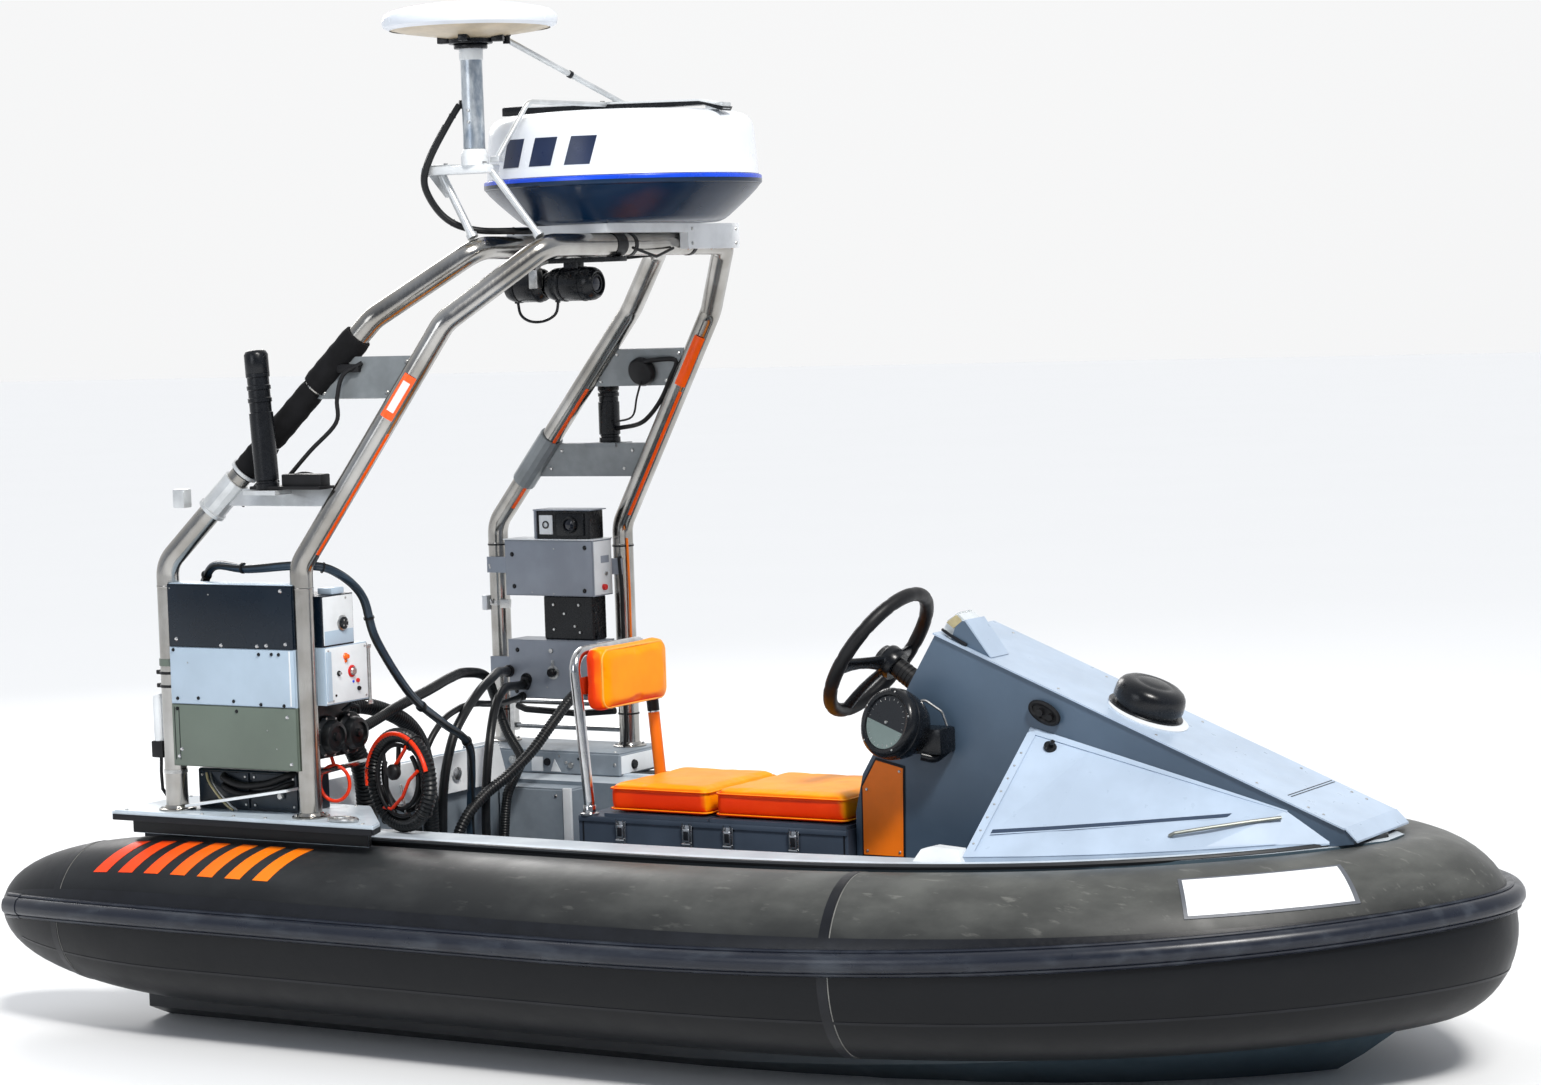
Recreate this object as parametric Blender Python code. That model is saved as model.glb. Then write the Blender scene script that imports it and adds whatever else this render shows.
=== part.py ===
"""Small unmanned surface vessel: a decked rigid inflatable hull with a twin-hoop sensor arch.

Metres. +X is the bow, +Y the port side, +Z up. The origin is on the centreline, amidships, at the waterline.
"""
import math

import bmesh
import bpy
from mathutils import Matrix, Vector

GAP = 0.0003            # clearance between neighbouring solids

# Hull lines
TRANSOM_X = -1.38
KEEL_Z = -0.215
KEEL_RISE_X = 0.45      # the keel is level aft of this station
KEEL_RISE_SPAN = 1.02
KEEL_RISE = 0.317
CHINE_Z = 0.030
CHINE_RISE = 0.104
CHINE_RISE_SPAN = 1.518
HULL_STATIONS = (-1.38, -1.0, -0.2, 0.1, 0.3, 0.5, 0.7, 0.85, 1.0, 1.15, 1.28, 1.38, 1.46)
DECK_STATIONS = (0.85, 1.0, 1.15, 1.28, 1.38)

# Inflatable collar: a tube of constant radius, straight aft and a superellipse round the bow
COLLAR_R = 0.187
COLLAR_Y = 0.627
COLLAR_Z = 0.261
COLLAR_STERN_X = -1.72
CONE_START_X = -1.03    # the stern cones run from here to the stern tips
BOW_START_X = 0.047
BOW_REACH = 1.466
BOW_X_POWER = 0.70
BOW_Y_POWER = 1.40
SHEER = 0.052
SHEER_START_X = -0.20
SHEER_SPAN = 1.926
FLANGE_IN = 0.08        # the deck flange stops this far inboard of the tube's centreline
CHINE_IN = 0.07

# Rub strake
STRAKE_HALF_H = 0.027
STRAKE_DEPTH = 0.026
STRAKE_LIFT = 0.030     # height of the strake above the tube's centre
STRAKE_LIFT_BOW = 0.068

# Cockpit well, engine bay and decks
SOLE_Z = 0.20
WELL = ((-1.02, 0.70), 0.40)
BAY = ((-1.345, -1.04), 0.25, -0.04)
DECK_Z = 0.505
SIDE_DECK = ((-1.34, -0.70), (-0.60, -0.70), (-0.62, -0.65), (-0.80, -0.447), (-1.34, -0.447))
SIDE_FOOT = ((-1.33, -0.64), (-0.66, -0.64), (-0.67, -0.62), (-0.81, -0.457), (-1.33, -0.457))
SIDE_DECK_UNDER = 0.486         # underside of the deck plate, above its narrower foot
JUNCTION_X = (-1.17, -0.875)
JUNCTION_Y = (-0.600, -0.495)
JUNCTION_TOP = 0.598
FOOT_BOX_X = (-1.24, -0.76)
FOOT_BOX_Y = (0.50, 0.70)
STEP_X = (-1.01, -0.795)
STEP_Y = 0.335
STEP_TOP = 0.437
COVER_Y = 0.37
COVER_SIDE = ((-1.365, 0.4483), (-1.365, 0.470), (-1.030, 0.537), (-1.005, 0.4483))
COVER_ROOM = ((-1.345, 0.40), (-1.345, 0.463), (-1.038, 0.5265), (-1.018, 0.40))

# Console and foredeck
SPINE_Y = 0.135
SPINE_TOP_AFT = (0.483, 0.890)
SPINE_TOP_FORE = (1.395, 0.522)
SPINE_NOSE = (1.425, 0.497)
DASH_FOOT = (0.296, 0.584)
CONSOLE_AFT_X = 0.276

# Seat
LOCKER_X = (-0.43, 0.272)
LOCKER_Y = 0.165
LOCKER_TOP = 0.464
LOCKER_WALL = 0.012
LID_T = 0.008
CUSHION_TOP = 0.540
CUSHION_Y = 0.158

# Steering
WHEEL_CENTRE = (0.268, 0.0, 0.834)
WHEEL_RAKE = math.radians(34.5)
WHEEL_R = 0.156
WHEEL_RIM_R = 0.0155
WHEEL_SPOKES = (188, 270, 352)        # degrees from port, upward in the wheel's plane

# Sensor arch: foot, shoulder, elbow and crown of the starboard half of each hoop
TUBE_R = 0.0254
LEG_Y = 0.637
SHOULDER_Z = 1.063
CROWN_Y = 0.365
CROWN_Z = 1.745
HOOPS = {               # foot x, elbow (x, y, z), crown x
    "arch_hoop_aft": (-1.200, (-0.6875, 0.514, 1.598), -0.506),
    "arch_hoop_fore": (-0.819, (-0.477, 0.540, 1.586), -0.324),
}
UPPER_PLATE_Z = {"starboard": (1.425, 1.515), "port": (1.410, 1.500)}
BRACKET_Z = {"starboard": (1.192, 1.229), "port": (1.185, 1.268)}
BEACONS = {             # side, x, top, lean aft in degrees
    "starboard": (-1, -0.905, 1.536, 3.5),
    "port": (1, -0.845, 1.450, 0.0),
}
BEACON_Y = 0.634
BEACON_R = 0.0265

# Masthead
RADOME_X = -0.36
RADOME_R = 0.314
RADOME_Z = (1.791, 2.046)
MAST = (-0.506, -0.365)
MAST_ARM_X = (-0.637, -0.457)
MAST_ARM_Z = (1.908, 1.930)
MAST_TOP = 2.190
DISC_R = 0.192
CAMERA_Z = 1.660
CAMERA_R = 0.036

# Jet drive
JET_Z = -0.020
STEER_X = -1.500
BUCKET_X = -1.545

# Hose coil: stands on the deck edge and leans on a rod from the fore leg
COIL = (-0.724, -0.430, 0.5665)
COIL_R = 0.101
COIL_HOSE_R = 0.017
COIL_YAW = math.radians(15)

# Hoses and cables held by the boat: radius, then the points of the route
HOSES = {
    "rack_harness": (0.011, ((-1.150, -0.570, 0.9936), (-1.149, -0.571, 1.020), (-1.10, -0.592, 1.056),
                             (-1.00, -0.600, 1.052), (-0.87, -0.580, 1.058), (-0.815, -0.530, 1.042),
                             (-0.788, -0.465, 0.985), (-0.785, -0.425, 0.880), (-0.790, -0.30, 0.742),
                             (-0.835, -0.12, 0.655), (-0.885, 0.04, 0.590), (-0.940, 0.13, 0.50),
                             (-0.962, 0.15, 0.38), (-0.964, 0.15, 0.28), (-0.964, 0.15, 0.2006))),
    "hose_arch": (0.0125, ((-0.850, -0.4222, 0.675), (-0.850, -0.385, 0.680), (-0.852, -0.25, 0.712),
                           (-0.885, -0.10, 0.728), (-0.935, 0.05, 0.738), (-1.000, 0.20, 0.733),
                           (-1.055, 0.36, 0.705), (-1.078, 0.43, 0.64), (-1.045, 0.428, 0.56),
                           (-0.985, 0.40, 0.502), (-0.962, 0.345, 0.470), (-0.958, 0.298, 0.42),
                           (-0.955, 0.275, 0.32), (-0.955, 0.272, 0.26), (-0.955, 0.272, 0.2006))),
    "hose_port": (0.011, ((-1.050, 0.5244, 0.668), (-1.050, 0.490, 0.668), (-1.020, 0.39, 0.672),
                          (-0.985, 0.30, 0.640), (-0.960, 0.235, 0.56), (-0.958, 0.21, 0.44),
                          (-0.962, 0.21, 0.32), (-0.962, 0.21, 0.26), (-0.962, 0.21, 0.2006))),
    "pump_duct": (0.025, ((-0.927, -0.4542, 0.672), (-0.927, -0.410, 0.672), (-0.925, -0.345, 0.625),
                          (-0.930, -0.300, 0.540), (-0.950, -0.268, 0.420), (-0.964, -0.262, 0.320),
                          (-0.964, -0.262, 0.260), (-0.964, -0.262, 0.2006))),
    "mast_cables": (0.0075, ((-0.537, -0.372, 2.060), (-0.560, -0.385, 2.020), (-0.600, -0.402, 1.945),
                             (-0.617, -0.403, 1.890), (-0.600, -0.385, 1.835), (-0.570, -0.360, 1.800),
                             (-0.530, -0.320, 1.784), (-0.490, -0.260, 1.7815), (-0.480, -0.225, 1.7810),
                             (-0.480, -0.2006, 1.7810))),
}

PALETTE = {             # colour, roughness, metallic
    "hull_paint": ((0.055, 0.085, 0.115), 0.45, 0.0),
    "collar_rubber": ((0.022, 0.024, 0.026), 0.42, 0.0),
    "strake_rubber": ((0.012, 0.014, 0.020), 0.30, 0.0),
    "deck_paint": ((0.62, 0.66, 0.68), 0.40, 0.0),
    "blue_grey_paint": ((0.10, 0.14, 0.19), 0.38, 0.0),
    "pale_blue_paint": ((0.50, 0.60, 0.70), 0.35, 0.0),
    "orange_vinyl": ((0.95, 0.27, 0.02), 0.45, 0.0),
    "black_plastic": ((0.014, 0.015, 0.017), 0.35, 0.0),
    "stainless": ((0.62, 0.60, 0.57), 0.22, 1.0),
    "aluminium": ((0.66, 0.67, 0.68), 0.35, 1.0),
    "box_grey": ((0.34, 0.38, 0.42), 0.45, 0.0),
    "box_white": ((0.72, 0.75, 0.77), 0.40, 0.0),
    "box_dark": ((0.030, 0.045, 0.060), 0.35, 0.0),
    "box_green": ((0.20, 0.24, 0.20), 0.50, 0.0),
    "gelcoat_white": ((0.80, 0.83, 0.86), 0.25, 0.0),
    "lens": ((0.70, 0.74, 0.72), 0.08, 0.0),
}


# Building helpers

def material(name):
    """One Principled material for each name in the palette."""
    found = bpy.data.materials.get(name)
    if found:
        return found
    colour, roughness, metallic = PALETTE[name]
    made = bpy.data.materials.new(name)
    made.use_nodes = True
    shader = made.node_tree.nodes["Principled BSDF"]
    shader.inputs["Base Color"].default_value = (*colour, 1.0)
    shader.inputs["Roughness"].default_value = roughness
    shader.inputs["Metallic"].default_value = metallic
    return made


def solid(name, bm, finish, smooth=None):
    """Turn a bmesh into a named object; smooth is the sharp-edge angle in degrees."""
    bmesh.ops.recalc_face_normals(bm, faces=bm.faces)
    mesh = bpy.data.meshes.new(name)
    bm.to_mesh(mesh)
    bm.free()
    mesh.materials.append(material(finish))
    if smooth:
        mesh.shade_smooth()
        mesh.set_sharp_from_angle(angle=math.radians(smooth))
    made = bpy.data.objects.new(name, mesh)
    bpy.context.collection.objects.link(made)
    return made


def combine(target, others, operation):
    """Apply Boolean unions or differences of helper objects to the target and drop the helpers."""
    for other in others:
        step = target.modifiers.new(operation.lower(), "BOOLEAN")
        step.operation = operation
        step.solver = "EXACT"
        step.object = other
    depsgraph = bpy.context.evaluated_depsgraph_get()
    result = bpy.data.meshes.new_from_object(target.evaluated_get(depsgraph))
    target.modifiers.clear()
    target.data = result
    for other in others:
        bpy.data.objects.remove(other)
    return target


def union(target, *others):
    return combine(target, others, "UNION")


def cut(target, *others):
    return combine(target, others, "DIFFERENCE")


def hinge_at(made, point):
    """Move the object's origin to a point without moving its shape."""
    made.data.transform(Matrix.Translation(-Vector(point)))
    made.location = point
    return made


def block(name, x, y, z, finish, bevel=0.0):
    """A box between pairs of x, y and z, with its edges rounded by bevel."""
    bm = bmesh.new()
    bmesh.ops.create_cube(bm, size=1.0)
    size = Vector((x[1] - x[0], y[1] - y[0], z[1] - z[0]))
    centre = Vector((x[0] + x[1], y[0] + y[1], z[0] + z[1])) / 2
    bmesh.ops.scale(bm, vec=size, verts=bm.verts)
    bmesh.ops.translate(bm, vec=centre, verts=bm.verts)
    if bevel:
        bmesh.ops.bevel(bm, geom=bm.edges, offset=bevel, segments=1, affect="EDGES")
    return solid(name, bm, finish)


def prism(name, outline, y, finish):
    """A side outline of (x, z) points, extruded from y[0] to y[1]."""
    bm = bmesh.new()
    rings = [[bm.verts.new((px, side, pz)) for px, pz in outline] for side in y]
    bm.faces.new(rings[0])
    bm.faces.new(reversed(rings[1]))
    for i in range(len(outline)):
        j = (i + 1) % len(outline)
        bm.faces.new((rings[0][j], rings[0][i], rings[1][i], rings[1][j]))
    return solid(name, bm, finish)


def loft(name, rings, finish, smooth=None):
    """Skin equal rings of points and cap both ends."""
    bm = bmesh.new()
    loops = [[bm.verts.new(point) for point in ring] for ring in rings]
    for first, second in zip(loops, loops[1:]):
        for i in range(len(first)):
            j = (i + 1) % len(first)
            bm.faces.new((first[i], first[j], second[j], second[i]))
    bm.faces.new(reversed(loops[0]))
    bm.faces.new(loops[-1])
    return solid(name, bm, finish, smooth)


def smooth_route(points, step):
    """Points about a step apart on a smooth curve through the route's own points."""
    points = [Vector(point) for point in points]
    ends = [2 * points[0] - points[1]] + points + [2 * points[-1] - points[-2]]
    path = []
    for i in range(1, len(ends) - 2):
        before, start, end, after = ends[i - 1:i + 3]
        count = max(round((end - start).length / step), 1)
        for k in range(count):
            t = k / count
            path.append(((2 * start) + (end - before) * t + (2 * before - 5 * start + 4 * end - after) * t ** 2
                         + (3 * start - before - 3 * end + after) * t ** 3) / 2)
    path.append(points[-1])
    return path


def frames_along(path):
    """Tangent, side and up vectors at each point of a path, carried along without twist."""
    tangents = []
    for i in range(len(path)):
        ahead = path[min(i + 1, len(path) - 1)] - path[i]
        behind = path[i] - path[max(i - 1, 0)]
        tangents.append((ahead.normalized() + behind.normalized()).normalized())
    up = Vector((0, 0, 1)) if abs(tangents[0].z) < 0.9 else Vector((1, 0, 0))
    side = tangents[0].cross(up).normalized()
    frames = []
    for tangent in tangents:
        side = (side - tangent * side.dot(tangent)).normalized()
        frames.append((tangent, side, side.cross(tangent).normalized()))
    return frames


def pipe(name, path, radius, sides, finish, radii=None):
    """A round bar along a path; radii gives a radius for each point."""
    path = [Vector(point) for point in path]
    rings = []
    for i, (centre, (tangent, side, up)) in enumerate(zip(path, frames_along(path))):
        reach = radii[i] if radii else radius
        angles = [2 * math.pi * k / sides for k in range(sides)]
        rings.append([centre + reach * (math.cos(a) * side + math.sin(a) * up) for a in angles])
    return loft(name, rings, finish, 40)


def turned(name, profile, sides, finish, centre, axis=(0, 0, 1), smooth=35):
    """A closed solid of revolution: profile is (radius, height) from the axis round to the axis."""
    bm = bmesh.new()
    turn = Vector((0, 0, 1)).rotation_difference(Vector(axis)).to_matrix()
    rings = []
    for radius, height in profile:
        count = 1 if radius == 0 else sides
        ring = []
        for k in range(count):
            angle = 2 * math.pi * k / sides
            local = Vector((radius * math.cos(angle), radius * math.sin(angle), height))
            ring.append(bm.verts.new(Vector(centre) + turn @ local))
        rings.append(ring)
    for low, high in zip(rings, rings[1:]):
        for k in range(sides):
            n = (k + 1) % sides
            corners = [low[k % len(low)], low[n % len(low)], high[n % len(high)], high[k % len(high)]]
            bm.faces.new(dict.fromkeys(corners))
    return solid(name, bm, finish, smooth)


def rounded(points, radius, steps):
    """A path through points with each corner turned by an arc of the given radius."""
    points = [Vector(point) for point in points]
    path = [points[0]]
    for before, corner, after in zip(points, points[1:], points[2:]):
        inward = (before - corner).normalized()
        outward = (after - corner).normalized()
        half = inward.angle(outward) / 2
        reach = radius / math.tan(half)
        start = corner + inward * reach
        end = corner + outward * reach
        centre = corner + (inward + outward).normalized() * radius / math.sin(half)
        for k in range(steps + 1):
            share = k / steps
            chord = start.lerp(end, share) - centre
            path.append(centre + chord.normalized() * radius)
    path.append(points[-1])
    return path


# Hull form

def collar_z(x):
    share = min(max((x - SHEER_START_X) / SHEER_SPAN, 0.0), 1.0)
    return COLLAR_Z + SHEER * share ** 2


def collar_y(x):
    """Half-breadth of the collar's centreline at a station."""
    if x <= BOW_START_X:
        return COLLAR_Y
    sine = min((x - BOW_START_X) / BOW_REACH, 1.0) ** (1 / BOW_X_POWER)
    return COLLAR_Y * math.sqrt(1 - sine * sine) ** BOW_Y_POWER


def collar_path(bow_steps):
    """Starboard stern tip, round the bow, to the port stern tip, as (point, radius)."""
    half = []
    for u in (1.0, 0.97, 0.88, 0.72, 0.50, 0.0):
        x = CONE_START_X + (COLLAR_STERN_X - CONE_START_X) * u
        radius = COLLAR_R * max(1 - u ** 2.3, 0.0) ** (1 / 2.3)
        half.append((x, COLLAR_Y, max(radius, 0.012)))
    for k in range(bow_steps):
        angle = math.pi / 2 * (k / bow_steps)
        x = BOW_START_X + BOW_REACH * math.sin(angle) ** BOW_X_POWER
        half.append((x, COLLAR_Y * math.cos(angle) ** BOW_Y_POWER, COLLAR_R))
    half.insert(-bow_steps, (-0.5, COLLAR_Y, COLLAR_R))
    tip_x = BOW_START_X + BOW_REACH
    starboard = [(Vector((x, -y, collar_z(x))), r) for x, y, r in half]
    port = [(Vector((x, y, collar_z(x))), r) for x, y, r in reversed(half)]
    return starboard + [(Vector((tip_x, 0, collar_z(tip_x))), COLLAR_R)] + port


def collar(name, grow, sides, bow_steps):
    path = collar_path(bow_steps)
    rings = []
    for (centre, radius), (tangent, side, up) in zip(path, frames_along([p for p, r in path])):
        angles = [2 * math.pi * (k + 0.5) / sides for k in range(sides)]
        reach = radius + grow
        rings.append([centre + reach * (math.cos(a) * side + math.sin(a) * up) for a in angles])
    return loft(name, rings, "collar_rubber", 60)


def rub_strake(bow_steps):
    """A rounded bar that stands on the collar's outer side, a little above its centre."""
    path = collar_path(bow_steps)[2:-2]
    rings = []
    for (centre, radius), (tangent, side, up) in zip(path, frames_along([p for p, r in path])):
        share = min(max((centre.x - SHEER_START_X) / SHEER_SPAN, 0.0), 1.0)
        lift = (STRAKE_LIFT + (STRAKE_LIFT_BOW - STRAKE_LIFT) * share ** 2) * radius / COLLAR_R
        tilt = math.asin(lift / radius)
        out = math.cos(tilt) * side + math.sin(tilt) * up
        along = math.cos(tilt) * up - math.sin(tilt) * side
        root = centre + out * (radius + 2 * GAP)
        ring = []
        for height, depth in ((-1, 0), (-1, 0.45), (-0.6, 0.88), (0, 1), (0.6, 0.88), (1, 0.45), (1, 0)):
            ring.append(root + along * height * STRAKE_HALF_H + out * depth * STRAKE_DEPTH)
        rings.append(ring)
    return loft("rub_strake", rings, "strake_rubber", 60)


def keel_z(x):
    if x <= KEEL_RISE_X:
        return KEEL_Z
    return KEEL_Z + KEEL_RISE * ((x - KEEL_RISE_X) / KEEL_RISE_SPAN) ** 2.54


def chine_z(x):
    return CHINE_Z + CHINE_RISE * max(x / CHINE_RISE_SPAN, 0.0) ** 1.6


def deck_top(x):
    return collar_z(x) + COLLAR_R


def hull():
    rings = []
    for x in HULL_STATIONS:
        chine = max(collar_y(x) - CHINE_IN, 0.035)
        edge = max(collar_y(x) - FLANGE_IN, 0.030)
        low = chine_z(x)
        top = deck_top(x)
        half = ((chine, low), (chine, low + 0.03), (edge, top))
        starboard = [(x, -y, z) for y, z in half]
        port = [(x, y, z) for y, z in reversed(half)]
        rings.append([(x, 0.0, keel_z(x))] + starboard + port)
    made = loft("hull", rings, "hull_paint")
    (well_aft, well_fore), well_y = WELL
    (bay_aft, bay_fore), bay_y, bay_z = BAY
    well = block("well", (well_aft, well_fore), (-well_y, well_y), (SOLE_Z, 0.8), "hull_paint")
    bay = block("bay", (bay_aft, bay_fore), (-bay_y, bay_y), (bay_z, 0.8), "hull_paint")
    return cut(made, collar("collar_room", 0.0006, 20, 14), well, bay)


# Decks, console and foredeck

def deck_fittings():
    """Starboard deck plate under the arch feet, the box under the port feet and the step below it."""
    low = COLLAR_Z + COLLAR_R + 2 * GAP
    levels = ((SIDE_FOOT, low), (SIDE_FOOT, SIDE_DECK_UNDER - 0.0005), (SIDE_DECK, SIDE_DECK_UNDER), (SIDE_DECK, DECK_Z))
    rings = [[(x, y, z) for x, y in outline] for outline, z in levels]
    loft("side_deck_starboard", rings, "deck_paint")
    block("foot_box_port", FOOT_BOX_X, FOOT_BOX_Y, (low, DECK_Z), "deck_paint", 0.004)
    block("port_step", STEP_X, (STEP_Y, WELL[1] - GAP), (SOLE_Z + GAP, STEP_TOP), "deck_paint", 0.003)


def console():
    """Helm console and hood spine in one moulding: dash at the aft end, sloping top to the bow."""
    well_fore = WELL[0][1] - GAP
    floor = [(x, deck_top(x) + GAP) for x in reversed(DECK_STATIONS)]
    outline = [(CONSOLE_AFT_X, SOLE_Z + GAP), (CONSOLE_AFT_X, 0.50), DASH_FOOT, SPINE_TOP_AFT,
               SPINE_TOP_FORE, SPINE_NOSE, (SPINE_NOSE[0], SPINE_NOSE[1] - 0.007)]
    outline += floor + [(well_fore, deck_top(well_fore) + GAP), (well_fore, SOLE_Z + GAP)]
    return prism("console_hood", outline, (-SPINE_Y, SPINE_Y), "blue_grey_paint")


def foredeck(name, side):
    """Sloping side panel from the hood's flank down to the deck edge."""
    stations = (0.705, 0.85, 1.0, 1.15, 1.28)
    rings = []
    for x in stations:
        share = (x - 0.705) / (1.40 - 0.705)
        top = 0.700 - share * (0.700 - 0.520)
        low = deck_top(x) + GAP
        edge = max(collar_y(x) - 0.130, SPINE_Y + 0.02)
        inner = SPINE_Y + GAP
        ring = [(x, side * inner, low), (x, side * edge, low), (x, side * edge, low + 0.012),
                (x, side * inner, top)]
        rings.append(ring)
    tip = deck_top(1.345) + GAP
    rings.append([(1.345, side * y, z) for y, z in ((SPINE_Y + GAP, tip), (SPINE_Y + 0.011, tip),
                                                    (SPINE_Y + 0.011, tip + 0.006), (SPINE_Y + GAP, tip + 0.018))])
    return loft(name, rings, "pale_blue_paint")


# Seat

def seat_locker():
    x0, x1 = LOCKER_X
    z = (SOLE_Z + GAP, LOCKER_TOP)
    made = block("seat_locker", LOCKER_X, (-LOCKER_Y, LOCKER_Y), z, "blue_grey_paint")
    wells = []
    for lo, hi in ((-0.348, -0.094), (-0.072, x1 - LOCKER_WALL)):
        inner = LOCKER_Y - LOCKER_WALL
        wells.append(block("locker_well", (lo, hi), (-inner, inner), (SOLE_Z + 0.02, 0.6), "blue_grey_paint"))
    return cut(made, *wells)


def seat_lids():
    for place, lo, hi in (("aft", -0.360, -0.086), ("fore", -0.080, 0.268)):
        z = (LOCKER_TOP + GAP, LOCKER_TOP + GAP + LID_T)
        lid = block("seat_lid_" + place, (lo, hi), (-LOCKER_Y, LOCKER_Y), z, "blue_grey_paint")
        hinge_at(lid, (lo, LOCKER_Y, z[0]))
        span = (lo + 0.002, hi - 0.004)
        pad = block("seat_cushion_" + place, span, (-CUSHION_Y, CUSHION_Y), (z[1] + GAP, CUSHION_TOP),
                    "orange_vinyl", 0.010)
        hinge_at(pad, (lo, LOCKER_Y, z[0]))


def backrest():
    x, y, low, top = -0.440, 0.150, LOCKER_TOP + GAP, 0.830
    half = [(x + 0.03, low), (x + 0.03, low + 0.03), (x, top)]
    path = [(px, -y, pz) for px, pz in half] + [(px, y, pz) for px, pz in reversed(half)]
    path = rounded(path, 0.045, 4)
    pipe("backrest_frame", path, 0.0125, 10, "stainless")
    block("backrest_cushion", (x + 0.0135, x + 0.073), (-0.141, 0.141), (0.692, 0.845), "orange_vinyl", 0.014)


# Steering and console fittings

def steering():
    centre = Vector(WHEEL_CENTRE)
    axis = Vector((-math.cos(WHEEL_RAKE), 0, math.sin(WHEEL_RAKE)))
    up = Vector((math.sin(WHEEL_RAKE), 0, math.cos(WHEEL_RAKE)))
    across = Vector((0, 1, 0))
    rings = []
    count = 28
    for k in range(count):
        turn = 2 * math.pi * k / count
        radial = math.cos(turn) * across + math.sin(turn) * up
        angles = [2 * math.pi * i / 8 for i in range(8)]
        rim = centre + radial * WHEEL_R
        rings.append([rim + WHEEL_RIM_R * (math.cos(a) * radial + math.sin(a) * axis) for a in angles])
    bm = bmesh.new()
    loops = [[bm.verts.new(point) for point in ring] for ring in rings]
    for k in range(count):
        first, second = loops[k], loops[(k + 1) % count]
        for i in range(8):
            j = (i + 1) % 8
            bm.faces.new((first[i], first[j], second[j], second[i]))
    rim = solid("steering_wheel", bm, "black_plastic", 50)
    hub_foot = centre - axis * 0.055
    hub = turned("hub", [(0, 0), (0.034, 0), (0.034, 0.035), (0.024, 0.05), (0, 0.05)], 14,
                 "black_plastic", hub_foot, axis)
    spokes = []
    for degrees in WHEEL_SPOKES:
        turn = math.radians(degrees)
        radial = math.cos(turn) * across + math.sin(turn) * up
        start = hub_foot + axis * 0.022 + radial * 0.02
        end = centre + radial * (WHEEL_R - 0.003) - axis * 0.002
        spokes.append(pipe("spoke", [start, end], 0.011, 8, "black_plastic"))
    hinge_at(union(rim, hub, *spokes), WHEEL_CENTRE)
    column_foot = hub_foot - axis * (GAP + 0.16)
    column = pipe("steering_column", [column_foot, hub_foot - axis * GAP], 0.022, 12, "black_plastic")
    foot = Vector((DASH_FOOT[0], 0, DASH_FOOT[1]))
    slope = (Vector((SPINE_TOP_AFT[0], 0, SPINE_TOP_AFT[1])) - foot).normalized()
    skin = foot + Vector((-slope.z, 0, slope.x)) * GAP
    deep = Vector((1, 0, 0))
    room = [skin - slope, skin + slope, skin + slope + deep, skin - slope + deep]
    cut(column, prism("dash_room", [(point.x, point.z) for point in room], (-0.1, 0.1), "black_plastic"))


def console_fittings():
    """Bracket compass on the flank, vent cowl and lamp on the hood."""
    face = Vector((-0.25, -0.93, 0.27)).normalized()
    centre = Vector((0.430, -0.215, 0.705))
    body = turned("bracket_compass", [(0, 0), (0.053, 0), (0.070, 0.03), (0.075, 0.075), (0.066, 0.085),
                                      (0.058, 0.078), (0, 0.078)], 20, "black_plastic", centre - face * 0.045, face)
    foot = block("compass_foot", (0.45, 0.53), (-0.21, -SPINE_Y - GAP), (0.64, 0.70), "black_plastic")
    union(body, foot)
    slope = math.atan2(SPINE_TOP_AFT[1] - SPINE_TOP_FORE[1], SPINE_TOP_FORE[0] - SPINE_TOP_AFT[0])
    normal = Vector((math.sin(slope), 0, math.cos(slope)))

    def on_hood(x, lift):
        share = (x - SPINE_TOP_AFT[0]) / (SPINE_TOP_FORE[0] - SPINE_TOP_AFT[0])
        z = SPINE_TOP_AFT[1] + share * (SPINE_TOP_FORE[1] - SPINE_TOP_AFT[1])
        return Vector((x, 0, z)) + normal * lift

    turned("vent_cowl", [(0, 0), (0.082, 0), (0.082, 0.006), (0.072, 0.010), (0.074, 0.035), (0.066, 0.060),
                         (0.045, 0.070), (0, 0.072)], 20, "black_plastic", on_hood(0.905, GAP), normal)
    low = on_hood(0.50, GAP)
    high = on_hood(0.60, GAP)
    outline = [(low.x, low.z), (high.x, high.z), (low.x + 0.045, low.z + 0.048), (low.x + 0.004, low.z + 0.045)]
    prism("bow_lamp", outline, (-0.125, -0.045), "lens")


# Arch

def hoop_path(name):
    foot_x, (ex, ey, ez), crown_x = HOOPS[name]
    half = [(foot_x, LEG_Y, DECK_Z + GAP), (foot_x, LEG_Y, SHOULDER_Z), (ex, ey, ez), (crown_x, CROWN_Y, CROWN_Z)]
    starboard = [(x, -y, z) for x, y, z in half]
    return rounded(starboard + list(reversed(half)), 0.07, 4)


def hoops(grow=0.0, prefix=""):
    made = [pipe(prefix + name, hoop_path(name), TUBE_R + grow, 14, "stainless") for name in HOOPS]
    if not prefix:
        for hoop in made:
            x = HOOPS[hoop.name][0]
            feet = [turned("foot", [(0, 0), (0.042, 0), (0.042, 0.006), (0, 0.006)], 16, "stainless",
                           (x, side * LEG_Y, DECK_Z + GAP)) for side in (-1, 1)]
            union(hoop, *feet)
    return made


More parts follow.
